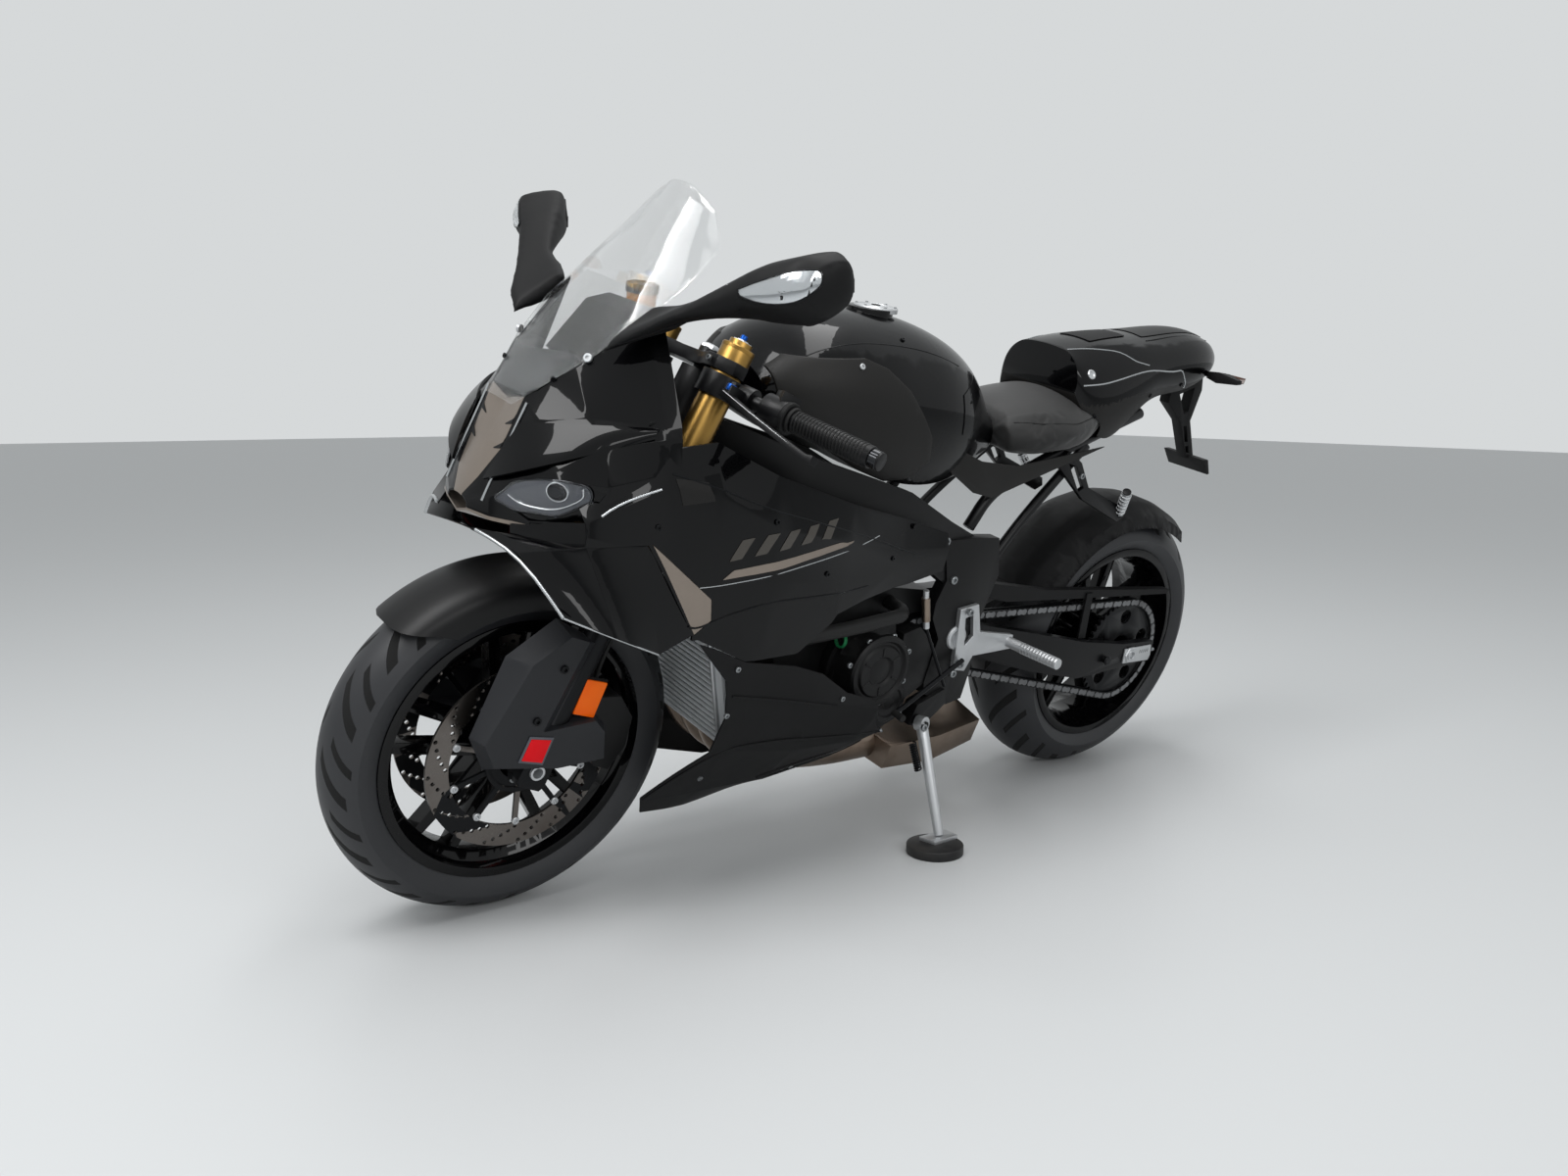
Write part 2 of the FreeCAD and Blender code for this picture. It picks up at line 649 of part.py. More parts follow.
def hand_control(side):
    """Switch block, lever perch and lever of one side."""
    bar_hole = rod(on_bar(HALF + 30), on_bar(d.bar_reach), d.bar_radius + d.seat_clearance)
    perch = rod(on_bar(153), on_bar(177), d.bar_radius + 9)
    switches = rod(on_bar(200), on_bar(236), d.bar_radius + 14)
    pod = slice_up([(-62, 206), (-30, 200), (-16, 232), (-50, 238)], clip_at - 16, clip_at + 34)
    arm = slice_up([(2, 154), (28, 160), (44, 174), (44, 190), (30, 190), (2, 176)],
                   clip_at - 14, clip_at + 6)
    lever = ruled([lever_section(26, 172, 46, -4, 12), lever_section(24, 245, 38, -20, 10),
                   lever_section(-22, 340, -12, -40, 9), lever_section(-30, 352, -16, -38, 13)])
    shape = fused([perch, arm, lever]).cut(bar_hole)
    block = fused([switches, pod]).cut(bar_hole)
    shape = Part.makeCompound([shape, block])
    if side < 0:
        shape = mirrored(shape)
    return shape


reservoir_spot = V(-8, -196, clip_at + 52)
reservoir = Part.makeCylinder(26, 66, reservoir_spot, V(math.sin(RAKE), 0, math.cos(RAKE)))
bracket = rod(V(2, -176, clip_at + 12), reservoir_spot + V(2, 0, 3), 5)
feature("hand_controls", Part.makeCompound([hand_control(1), hand_control(-1),
                                           reservoir.fuse(bracket)]), FORK)


# Front mudguard: a shell over the tyre, turned about the axle, with side skirts.

def arc_sector(low, high):
    """A wedge about the front axle between two angles, degrees up from straight ahead."""
    far = 500
    points = [V(0, 0, 0)]
    steps = 4
    for step in range(steps + 1):
        turn = math.radians(low + (high - low) * step / steps)
        points.append(V(far * math.cos(turn), 0, far * math.sin(turn)))
    face = Part.Face(polygon(points))
    return face.extrude(V(0, 300, 0)).translated(V(0, -150, 0))


def mudguard_section(gap):
    """Half section (radius, y) of the shell's outside, from the skirt's edge to the crown."""
    return [(252 + gap, 76 + gap), (285 + gap, 71 + gap), (302 + gap, 54 + gap / 2),
            (310 + gap, 26), (312 + gap, 0)]


def closed_turn(section):
    """A half section and its mirror, closed over the axle side and turned right round."""
    full = section + [(radius, -side) for radius, side in reversed(section[:-1])]
    face = Part.Face(polygon([V(radius, side, 0) for radius, side in full]))
    return face.revolve(V(0, 0, 0), V(0, 1, 0), -360)


guard = closed_turn(mudguard_section(d.mudguard_wall)).cut(closed_turn(mudguard_section(0)))
guard = guard.common(arc_sector(40, 122))
skirt_cut = slab([(0, 0), (400, 0), (400, 232), (155, 232), (100, 215), (66, 205), (-60, 205), (-90, 150)],
                 -200, 200)
guard = guard.cut(skirt_cut)
leg_rooms = []
for side in (-HALF, HALF):
    leg = Part.makeCylinder(d.fork_slider_radius + d.seat_clearance, 900, V(0, side, 0))
    leg.Placement = FreeCAD.Placement(V(0, 0, 0), FreeCAD.Rotation(V(0, 1, 0), -d.rake_angle))
    leg_rooms.append(leg)
BRACKET_AT = V(-100, HALF, 246)
for side in (-1, 1):
    foot_of_bracket = V(BRACKET_AT.x, side * 0.72 * HALF, BRACKET_AT.z)
    guard = guard.fuse(rod(foot_of_bracket, V(BRACKET_AT.x, side * HALF, BRACKET_AT.z), 8))
guard = guard.cut(leg_rooms)
feature("front_mudguard", guard, FRONT_WHEEL)

# Front calipers straddle the discs behind the legs.
disc_y = d.front_disc_track / 2
caliper_outline = [(-88, 62), (-108, 106), (-150, 102), (-176, 60), (-168, 8), (-140, -30), (-112, -18)]
caliper = slab(caliper_outline, disc_y - 30, disc_y + 44)
slot = ring_plate(d.front_disc_radius + 5, 20, disc_y - d.front_disc_wall / 2 - 5,
                  disc_y + d.front_disc_wall / 2 + 5)
caliper = caliper.cut(slot).cut(leg_rooms).cut([leg_body, line_body])
feature("front_calipers", both_sides(caliper), FRONT_WHEEL)

# Fork guards: a faceted cover over each lower leg, and a shoe that runs back over the caliper.
# Each outline is (x, z) at the open inner side and at the flat outer face.
GUARD_NEAR = HALF - 1
GUARD_FAR = HALF + 29
cover_inner = [(-20, 252), (60, 199), (110, 71), (84, 11), (-30, 9), (-38, 68), (-110, 196)]
cover_outer = [(-34, 230), (28, 191), (97, 68), (79, 28), (-20, 38), (0, 78), (-66, 218)]
shoe_inner = [(100, 80), (-98, 86), (-124, 60), (-128, 0), (-28, 0), (82, 11)]
shoe_outer = [(94, 70), (-92, 79), (-110, 56), (-114, 8), (-30, 6), (80, 27)]


def guard_solid(inner, outer, wall):
    """The cover's form, or with a wall the room inside it."""
    wires = []
    for outline, y in ((inner, GUARD_NEAR - wall), (outer, GUARD_FAR - wall)):
        wires.append(polygon([V(x, y, z) for x, z in inset(outline, wall)]))
    return ruled(wires)


cover = fused([guard_solid(cover_inner, cover_outer, 0), guard_solid(shoe_inner, shoe_outer, 0)])
room = fused([guard_solid(cover_inner, cover_outer, d.guard_wall),
              guard_solid(shoe_inner, shoe_outer, d.guard_wall)])
caliper_room = slab(inset(caliper_outline, -d.panel_gap), 0, disc_y + 44 + d.panel_gap)
axle_room = rod(V(0, 0, 0), V(0, GUARD_FAR, 0), d.front_axle_radius + d.panel_gap)
cover = cover.cut([room, caliper_room, axle_room] + leg_rooms + [leg_body, line_body])
cover = max(cover.Solids, key=lambda solid: solid.Volume)
feature("fork_guards", both_sides(cover), FRONT_WHEEL)


# Main frame: steering head, two spars round the engine, pivot plates and the swingarm bolt.

def box_section(x, near, far, low, high):
    return polygon([at(x, near, low), at(x, far, low), at(x, far, high), at(x, near, high)])


HEAD_LOW = d.lower_clamp_at + d.clamp_wall / 2 + 6
HEAD_HIGH = d.upper_clamp_at - upper_wall / 2 - 6


def along_fork(x, y, z):
    """A point of the fork's drawing on the upright bike."""
    return FORK.multVec(V(x, y, z))


head_start = along_fork(-d.fork_offset, 0, HEAD_LOW)
head_end = along_fork(-d.fork_offset, 0, HEAD_HIGH)
head = rod(head_start, head_end, d.head_tube_radius)
head_way = (head_end - head_start).normalize()
head_bore = fused([
    rod(head_start + head_way * 14, head_end - head_way * 14, d.stem_radius + 5),
    rod(head_start - head_way * 5, head_end + head_way * 5, d.stem_radius + d.running_clearance),
])
wall = d.frame_wall
plate_near = d.plate_near
plate_far = plate_near + wall
# Spar sections: x, inner face, lower edge, upper edge.
spar_rows = [(452, 12, 775, 862), (392, 62, 742, 845), (300, 118, 705, 812), (60, 138, 640, 742),
             (-70, 122, 560, 676), (-150, 112, 510, 640)]
spar = ruled([box_section(x, near, near + wall, low, high) for x, near, low, high in spar_rows])
plate_outline = [(-60, 640), (-84, 560), (-66, 516), (-66, 484), (-92, 440), (-76, 352), (-80, 326),
                 (-150, 292), (-190, 300), (-200, 360), (-198, 470), (-226, 560), (-206, 636), (-150, 640)]
half_frame = fused([spar, side_plate(plate_outline, plate_near, plate_far)])
bolt = cross_bar(d.pivot_bolt_radius, d.swingarm_pivot_x, d.swingarm_pivot_z, -plate_far - 4, plate_far + 4)
low_tie = cross_bar(14, -168, 322, -plate_near, plate_near)
STAND_PIVOT = at(-67, 175, 275)
STAND_AXIS = V(-0.1965, 0.965, 0.1745).normalize()
stand_lug = side_plate([(-130, 332), (-62, 308), (-48, 268), (-84, 256), (-140, 300)], plate_near + 2, 160)
stand_pin = rod(STAND_PIVOT - STAND_AXIS * 20, STAND_PIVOT + STAND_AXIS * 13, d.stand_pin_radius)
MOUNT_NEAR = 118
mounts = [side_plate([(318, 712), (238, 700), (236, 596), (262, 588), (288, 600)],
                     MOUNT_NEAR, MOUNT_NEAR + wall)]
# Engine bolts' bosses: x, z, the face they stand on.
for x, z, face_y in ((258, 612, MOUNT_NEAR), (-84, 502, plate_near), (-86, 342, plate_near)):
    mounts.append(cross_bar(11, x, z, d.engine_half, face_y + 1))
half_frame = fused([half_frame] + mounts)
frame = fused([head, half_frame, mirrored(half_frame), bolt, low_tie, stand_lug, stand_pin]).cut(head_bore)
feature("main_frame", frame)

# Rear subframe: upper and lower tubes on each side, from the spars to the tail.
rail = tube([at(-150, 118, 650), at(-190, 116, 712), at(-330, 104, 770), at(-640, 84, 862)], 12)
strut = tube([at(-206, 128, 560), at(-300, 118, 660), at(-470, 98, 798)], 10)
tie = rod(at(-430, -98, 800), at(-430, 98, 800), 9)
half_sub = fused([rail, strut])
subframe = fused([half_sub, mirrored(half_sub), tie]).cut(frame)
feature("subframe", subframe)

# Drive chain: two rows of side plates round both sprockets, with rollers in the straight runs.
FRONT_SPROCKET = at(-62, 0, 425)
FRONT_TEETH = 17


def belt_outline(small_at, small, large_at, large):
    """Side view of a belt round two circles that lie in the xz plane, the small one in front."""
    gap_way = large_at - small_at
    gap = gap_way.Length
    base = math.atan2(gap_way.z, gap_way.x)
    lift = math.acos((small - large) / gap)
    spots = []
    for sign in (1, -1):
        turn = base + sign * lift
        way = V(math.cos(turn), 0, math.sin(turn))
        spots.append((small_at + way * small, large_at + way * large))
    (upper_small, upper_large), (lower_small, lower_large) = spots
    front = small_at - gap_way * (small / gap)
    back = large_at + gap_way * (large / gap)
    edges = [
        Part.LineSegment(upper_large, upper_small).toShape(),
        Part.Arc(upper_small, front, lower_small).toShape(),
        Part.LineSegment(lower_small, lower_large).toShape(),
        Part.Arc(lower_large, back, upper_large).toShape(),
    ]
    return Part.Wire(edges), spots


def belt(offset, near, far):
    """A solid belt at an offset from the chain's pitch line, and its straight runs' ends."""
    small = chain_radius(FRONT_TEETH) + offset
    large = chain_radius(d.sprocket_teeth) + offset
    wire, spots = belt_outline(FRONT_SPROCKET, small, V(REAR_AXLE.x, 0, REAR_AXLE.z), large)
    solid = Part.Face(wire).extrude(V(0, far - near, 0))
    return solid.translated(V(0, near, 0)), spots


plate_half = 7.5
row_inner = d.sprocket_wall / 2 + 2
row_outer = row_inner + 3.5
plates = []
for near, far in ((row_inner, row_outer), (-row_outer, -row_inner)):
    outside, spots = belt(plate_half, d.chain_line + near, d.chain_line + far)
    inside, spots = belt(-plate_half, d.chain_line + near, d.chain_line + far)
    plates.append(outside.cut(inside))
middle, spots = belt(0, 0, 1)
roller_half = row_inner + 1
rollers = []
for run_start, run_end in spots:
    run = run_end - run_start
    count = int(run.Length / d.chain_pitch / 4)
    for index in range(1, count):
        spot = run_start + run * (index / count) + V(0, d.chain_line - roller_half, 0)
        rollers.append(Part.makeCylinder(5, 2 * roller_half, spot, V(0, 1, 0)))
front_disc_start = FRONT_SPROCKET + V(0, d.chain_line - row_inner, 0)
front_disc_of_chain = Part.makeCylinder(chain_radius(FRONT_TEETH) + 3, 2 * row_inner,
                                        front_disc_start, V(0, 1, 0))
output_shaft = Part.makeCylinder(14, plate_near - d.engine_half - 1,
                                 FRONT_SPROCKET + V(0, d.engine_half, 0), V(0, 1, 0))
chain = fused(plates + rollers + [front_disc_of_chain, output_shaft])
feature("drive_chain", chain)
chain_room, spots = belt(plate_half + 4, d.chain_line - row_outer - 3, d.chain_line + row_outer + 3)

# Engine: crankcase and cylinder block as one plain block.
engine_outline = [(-88, 330), (-60, 255), (20, 225), (175, 235), (235, 300), (270, 420), (330, 560),
                  (290, 640), (170, 668), (110, 560), (20, 540), (-90, 524)]
engine = side_plate(engine_outline, -d.engine_half, d.engine_half)
shaft_room = Part.makeCylinder(13, 20, FRONT_SPROCKET + V(0, d.engine_half - 10, 0), V(0, 1, 0))
engine = engine.cut([frame, chain_room.cut(shaft_room)]).cut(chain)
feature("engine_block", engine)


def round_cover(x, z, radius, far):
    """A round side cover: a flange, a cone and a boss."""
    near = d.engine_half
    base = Part.makeCone(radius, radius * 0.86, far - near, at(x, near, z), V(0, 1, 0))
    flange = cross_bar(radius + 5, x, z, near, near + (far - near) * 0.3)
    boss = cross_bar(radius * 0.45, x, z, near, far + 5)
    return fused([base, flange, boss])


# Radiator: a finned core between two side tanks, leaning forward at the top.
rad_place = FreeCAD.Placement(at(406, 0, 400), FreeCAD.Rotation(V(0, 1, 0), 14))
core = Part.makeBox(26, 300, 200, V(-13, -150, -100))
tanks = []
for side in (-1, 1):
    tanks.append(Part.makeBox(30, 26, 216, V(-15, -13 + side * 163, -108)))
fin_pitch = 10.5
slots = []
for index in range(18):
    slots.append(Part.makeBox(5, 292, fin_pitch - 4.5, V(8, -146, -94 + index * fin_pitch)))
radiator = fused([core.cut(slots)] + tanks)
radiator.Placement = rad_place
rad_stays = [rod(at(322, side, 556), at(424, side, 500), 6) for side in (-61, 61)]
radiator_body = fused([radiator] + rad_stays).cut(engine)
feature("radiator", radiator_body)

# Covers that show on both sides of the crankcase, the cylinder head's casting, and the coolant
# hose from the radiator's left tank to the crankcase.
casting_outline = [(112, 552), (236, 552), (246, 586), (228, 638), (156, 644), (104, 606)]
casting = fused([
    side_plate(casting_outline, d.engine_half, 132),
    cross_bar(17, 140, 596, d.engine_half, 142),
    cross_bar(13, 196, 574, d.engine_half, 140),
])
left_covers = fused([
    round_cover(84, 402, 72, 178),
    side_plate([(-40, 470), (-84, 430), (-80, 350), (-30, 320), (0, 340), (0, 460)], d.engine_half, 150),
    side_plate([(20, 262), (150, 262), (172, 340), (130, 480), (20, 490), (-10, 380)], d.engine_half, 140),
    casting,
])
right_covers = mirrored(fused([
    round_cover(40, 380, 82, 170),
    round_cover(165, 400, 48, 150),
    side_plate([(-40, 300), (150, 262), (205, 340), (180, 470), (-20, 480)], d.engine_half, 136),
    casting,
]))
hose = tube([at(416, 164, 462), at(330, 176, 492), at(150, 184, 506), at(24, 172, 512), at(16, 106, 512)],
            d.hose_radius)
hose = hose.cut([radiator_body, engine])
hose = max(hose.Solids, key=lambda solid: solid.Volume)
left_covers = left_covers.cut([frame, chain_room, hose]).cut(chain)
right_covers = right_covers.cut(frame)
feature("engine_covers", Part.makeCompound([left_covers, hose, right_covers]))

# Exhaust: four header pipes into a collector, a box under the engine and a short silencer.
headers = []
for side in (-90, -32, 32, 90):
    run = [at(318, side, 520), at(362, side, 470), at(352, side, 300), at(300, side * 0.8, 214),
           at(190, side * 0.45 + 20, 196)]
    headers.append(tube(run, 20))
collector = tube([at(214, 20, 196), at(60, 30, 176), at(-90, 20, 168)], 38)
box = ruled([
    polygon([at(-70, -70, 134), at(-70, 90, 134), at(-70, 104, 190), at(-70, -84, 200)]),
    polygon([at(-190, -104, 136), at(-190, 104, 136), at(-190, 118, 200), at(-190, -118, 236)]),
    polygon([at(-310, -110, 160), at(-310, 100, 160), at(-310, 112, 214), at(-310, -124, 262)]),
])
can = ruled([
    polygon([at(-290, -176, 190), at(-290, -108, 176), at(-290, -108, 262), at(-290, -176, 266)]),
    polygon([at(-400, -226, 214), at(-400, -154, 204), at(-400, -154, 312), at(-400, -226, 316)]),
    polygon([at(-560, -236, 262), at(-560, -170, 254), at(-560, -170, 362), at(-560, -236, 366)]),
])
outlet = rod(at(-556, -203, 312), at(-580, -203, 322), 27)
exhaust = fused(headers + [collector, box, can, outlet]).cut(engine)
feature("exhaust", exhaust)

# Swingarm: pivot tube, two arms and a bridge in front of the tyre.
arm_gap = 4
pivot_half = plate_near - arm_gap
pivot_tube = cross_bar(21, d.swingarm_pivot_x, d.swingarm_pivot_z, -pivot_half, pivot_half)
# Arm sections: x, inner face, outer face, lower edge, upper edge.
left_rows = [(-178, 60, 92, 392, 452), (-300, 76, 98, 345, 420), (-420, 101, 126, 314, 400),
             (-560, 126, 146, 286, 372), (-700, 126, 146, 292, 350), (-812, 126, 146, 300, 344)]
right_rows = [(-178, 60, 92, 392, 452), (-300, 80, 112, 340, 440), (-420, 108, 138, 320, 430),
              (-560, 120, 146, 300, 390), (-700, 126, 146, 292, 350), (-812, 126, 146, 300, 344)]
left_arm = ruled([box_section(*row) for row in left_rows])
right_arm = mirrored(ruled([box_section(*row) for row in right_rows]))
bridge = Part.makeBox(80, 190, 60, at(-300, -95, 356))
axle_hole = Part.makeCylinder(d.rear_axle_radius + d.seat_clearance, 400,
                              REAR_AXLE + V(0, -200, 0), V(0, 1, 0))
pivot_space = cross_bar(d.pivot_bolt_radius + d.seat_clearance, d.swingarm_pivot_x, d.swingarm_pivot_z,
                        -200, 200)
swingarm = fused([pivot_tube, left_arm, right_arm, bridge]).cut([axle_hole, pivot_space, frame])
feature("swingarm", swingarm)
turned_tube("rear_axle", "Sizes.rear_axle_radius", "Sizes.axle_bore / 2", "Sizes.rear_axle_half_length",
            REAR_WHEEL)


# Fuel tank: a flowing solid through bowed sections from its nose to the seat.
# Half sections (y, z): the top's middle, the shoulder, the widest place, the foot.
tank_rows = [
    (372, [(0, 948), (84, 926), (100, 894), (78, 862)]),
    (300, [(0, 1006), (124, 968), (150, 912), (128, 842)]),
    (190, [(0, 1028), (146, 978), (176, 900), (150, 790)]),
    (60, [(0, 1026), (140, 966), (172, 884), (146, 752)]),
    (-60, [(0, 996), (118, 946), (150, 868), (126, 752)]),
    (-150, [(0, 948), (84, 900), (108, 840), (92, 770)]),
    (-222, [(0, 868), (46, 852), (66, 824), (58, 784)]),
]
tank = flowing(tank_rows).cut(frame)
filler = Part.makeCylinder(42, 30, at(85, 0, 1006))
tank = tank.fuse(filler)
feature("fuel_tank", tank)

# Matt covers on the tank's sides, and the panels that run back under the seat.
cover_outline = [(362, 944), (336, 966), (212, 974), (168, 960), (117, 925), (81, 883), (52, 846),
                 (40, 800), (80, 766), (196, 758), (278, 796), (352, 880)]
tank_skin = flowing(tank_rows, 5).cut([flowing(tank_rows, d.seat_clearance), frame])
tank_cover = tank_skin.common(side_plate(cover_outline, 60, 260))
tank_cover = max(tank_cover.Solids, key=lambda solid: solid.Volume)

# Rider's seat, in sections as the tank's.
seat_rows = [
    (-222.3, [(0, 854), (72, 842), (116, 816), (108, 789)]),
    (-290, [(0, 880), (98, 860), (139, 824), (128, 787)]),
    (-370, [(0, 896), (108, 874), (146, 832), (134, 791)]),
    (-450, [(0, 903), (98, 884), (130, 844), (118, 806)]),
    (-518, [(0, 900), (72, 890), (98, 862), (88, 838)]),
]
seat = flowing(seat_rows).cut([subframe, frame])
feature("rider_seat", seat)
knee_outline = [(38, 800), (46, 838), (-60, 812), (-130, 786), (-230, 774), (-478, 807), (-330, 762),
                (-174, 714), (-122, 726), (-49, 770), (-6, 785)]
knee_panel = side_plate(knee_outline, 136, 136 + d.panel_wall).cut([seat, frame, subframe, tank, tank_cover])
knee_panel = max(knee_panel.Solids, key=lambda solid: solid.Volume)
knee_stays = [rod(at(-40, 100, 800), at(-40, 137, 800), 6), rod(at(-330, 112, 768), at(-330, 137, 768), 5)]
knee_panel = fused([knee_panel] + knee_stays).cut([tank, seat, subframe])
knee_panel = max(knee_panel.Solids, key=lambda solid: solid.Volume)
feature("tank_covers", both_sides(Part.makeCompound([tank_cover, knee_panel])))

# Tail cowl: it rises over the seat's rear end and tapers to the lamp.
tail_rows = [
    (-398, [(0, 986), (56, 982), (92, 952), (98, 906)]),
    (-470, [(0, 1000), (66, 992), (108, 945), (118, 826)]),
    (-560, [(0, 1011), (74, 1000), (112, 945), (98, 826)]),
    (-662, [(0, 1019), (78, 1003), (104, 950), (82, 886)]),
    (-800, [(0, 1031), (66, 1014), (90, 955), (62, 906)]),
    (-890, [(0, 1014), (46, 1004), (64, 966), (42, 928)]),
    (-938, [(0, 984), (22, 978), (32, 964), (20, 948)]),
]
seat_room = flowing(seat_rows, d.seat_clearance)
tail = flowing(tail_rows).cut([seat_room, subframe])
tail = max(tail.Solids, key=lambda solid: solid.Volume)
feature("tail_cowl", tail)

# Plate holder under the tail: a forked arm with two slots, a narrow cross plate, and indicators.
stalk = rod(at(-872, 30, 945), at(-866, 86, 946), 6)
pod = ruled([polygon([at(-848, 84, 940), at(-886, 84, 942), at(-886, 84, 952), at(-848, 84, 954)]),
             polygon([at(-846, 112, 934), at(-890, 112, 938), at(-890, 112, 954), at(-846, 112, 958)]),
             polygon([at(-852, 158, 940), at(-870, 158, 941), at(-870, 158, 949), at(-852, 158, 950)])])
indicator = stalk.fuse(pod)
arm_outline = [(-836, 926), (-934, 960), (-952, 896), (-937, 824), (-985, 736), (-958, 734), (-901, 822),
               (-838, 866)]
slot_outlines = [
    [(-872, 886), (-922, 902), (-920, 846), (-906, 840)],
    [(-916, 812), (-928, 812), (-948, 774), (-936, 774)],
    [(-942, 764), (-954, 764), (-962, 748), (-952, 748)],
]
arm = side_plate(arm_outline, -13, 13)
arm = arm.cut([side_plate(outline, -14, 14) for outline in slot_outlines])
PLATE_HALF = 110
cross_plate = side_plate([(-962, 742), (-982, 742), (-1000, 708), (-994, 706)], -PLATE_HALF, PLATE_HALF)
holder = fused([arm, cross_plate, indicator, mirrored(indicator)])
feature("plate_bracket", holder.cut(tail))

# Nose: a faceted shell. Half sections run from the top middle down to the bottom middle.
# Columns of each half section: top middle, screen edge, upper crease, lower crease,
# lamp's upper edge, lower edge, bottom middle.
nose_rows = [
    (604, [(0, 1062), (137, 1038), (226, 884), (232, 866), (240, 815), (243, 720), (0, 690)]),
    (625, [(0, 1040), (136, 1018), (219, 880), (226, 864), (236, 815), (240, 718), (0, 690)]),
    (711, [(0, 950), (99, 939), (152, 878), (199, 848), (222, 796), (214, 720), (0, 690)]),
    (765, [(0, 872), (52, 885), (96, 860), (164, 806), (177, 795), (150, 716), (0, 690)]),
    (795, [(0, 812), (50, 808), (70, 802), (108, 782), (118, 768), (104, 708), (0, 692)]),
    (820, [(0, 764), (34, 762), (44, 757), (52, 750), (70, 742), (80, 710), (0, 696)]),
    (834, [(0, 732), (14, 731), (20, 729), (26, 727), (32, 724), (36, 712), (0, 700)]),
]
nose_outer, nose_inner = hull(nose_rows, d.panel_wall)
nose_shell = nose_outer.cut(nose_inner)


def top_strip(rows, gap):
    """The room over the nose's middle, between the screen's edges."""
    wires = []
    for x, half in rows:
        side, level = half[1]
        side = max(2, side - gap)
        wires.append(polygon([at(x, -side, level - 30), at(x, side, level - 30),
                              at(x, side, level + 120), at(x, -side, level + 120)]))
    return ruled(wires)


below = Part.makeBox(280, 600, 160, at(500, -300, 560))
chin_room = Part.makeBox(80, 600, 155, at(780, -300, 560))
chin_gap = Part.makeBox(80 + d.panel_gap, 600, 155 + d.panel_gap, at(780 - d.panel_gap, -300, 560))
middle_room = top_strip(nose_rows, 0)
lamp_outline = [(84, 746), (128, 722), (196, 738), (219, 786), (178, 797), (118, 768)]
lamp_prism = Part.Face(polygon([at(640, y, z) for y, z in lamp_outline])).extrude(V(240, 0, 0))
lamp_prisms = [lamp_prism, mirrored(lamp_prism)]
nose_cowl = nose_shell.cut([middle_room, below, chin_gap] + lamp_prisms)
halves = [solid for solid in nose_cowl.Solids if solid.Volume > 20000]
feature("nose_cowl", Part.makeCompound(halves))

strip_room = top_strip(nose_rows, d.panel_gap).common(Part.makeBox(400, 400, 800, at(765, -200, 700)))
accent = fused([nose_shell.common(strip_room), nose_shell.common(chin_room)])

lamp_room = nose_inner.common(Part.makeBox(400, 600, 400, at(690, -300, 600)))
lamp = lamp_prism.common(lamp_room)
lamp = max(lamp.Solids, key=lambda solid: solid.Volume)
feature("headlamps", both_sides(lamp))

# Side fairing. Columns: upper edge, upper crease, widest line, lower edge.
side_rows = [
    (742, [(200, 760), (222, 745), (228, 726), (226, 705)]),
    (622, [(228, 850), (246, 802), (251, 700), (252, 560)]),
    (540, [(228, 860), (254, 786), (257, 690), (248, 520)]),
    (420, [(240, 806), (260, 727), (257, 640), (246, 480)]),
    (250, [(228, 750), (240, 686), (239, 620), (228, 520)]),
    (95, [(192, 706), (200, 650), (200, 622), (194, 575)]),
    (-30, [(182, 668), (190, 641), (190, 624), (186, 596)]),
]


def thin_section(x, row, wall):
    outer = [at(x, y, z) for y, z in row]
    inner = [at(x, y - wall, z) for y, z in reversed(row)]
    return polygon(outer + inner)


def side_shell(rows, wall):
    return ruled([thin_section(x, row, wall) for x, row in rows])


insert_outline = [(644, 716), (531, 622), (525, 586), (553, 565)]
fin_outline = [(860, 704), (740, 711.3), (650, 714.3), (640, 698.3), (556, 566), (560, 500), (860, 500)]
side_panel = side_shell(side_rows, d.panel_wall)
side_cut_low = side_plate([(620, 560), (545, 556), (446, 506), (330, 500), (262, 545), (252, 560),
                     (180, 572), (-60, 590), (-60, 440), (620, 440)], 100, 400)
front_slab = side_plate(fin_outline, 100, 400)
insert_slab = side_plate(insert_outline, 100, 400)
nose_room = nose_outer.fuse(nose_inner)
fairing = side_panel.cut([side_cut_low, front_slab, insert_slab, nose_room])
fairing = max(fairing.Solids, key=lambda solid: solid.Volume)
fairing_stays = [rod(at(300, 144, 752), at(300, 229, 752), 5), rod(at(70, 164, 690), at(70, 196, 690), 5)]
fairing = fused([fairing] + fairing_stays)
fairing = fairing.cut(frame)
feature("side_fairing_left", fairing)
feature("side_fairing_right", mirrored(fairing))
gap_line = inset(insert_outline, d.panel_gap)
insert = side_panel.common(side_plate(gap_line, 100, 400)).cut(nose_room)
insert = max(insert.Solids, key=lambda solid: solid.Volume)
feature("accent_panels", Part.makeCompound([accent, insert, mirrored(insert)]))

# Winglets: each a blade under the nose that turns down into an outer fin.
# Rows: the blade's inner edge, the corner, the fin's lower edge.
fin_rows = [
    (at(838, 60, 694), at(806, 152, 683), at(776, 246, 616)),
    (at(735, 206, 706), at(740, 226, 711), at(700, 272, 585)),
    (at(652, 238, 712), at(652, 246, 714), at(614, 253, 542)),
    (at(640, 241, 697), at(640, 247, 698), at(556, 251, 566)),
]
fin_wall = V(0, -d.panel_wall, 0)
blade_wall = V(0, 0, -d.panel_wall)
fin = ruled([polygon([corner, low, low + fin_wall, corner + fin_wall]) for inner, corner, low in fin_rows])
blade = ruled([polygon([inner, corner, corner + blade_wall, inner + blade_wall])
               for inner, corner, low in fin_rows])
winglet = fin.fuse(blade)
winglet = winglet.cut([fairing, insert, nose_cowl])
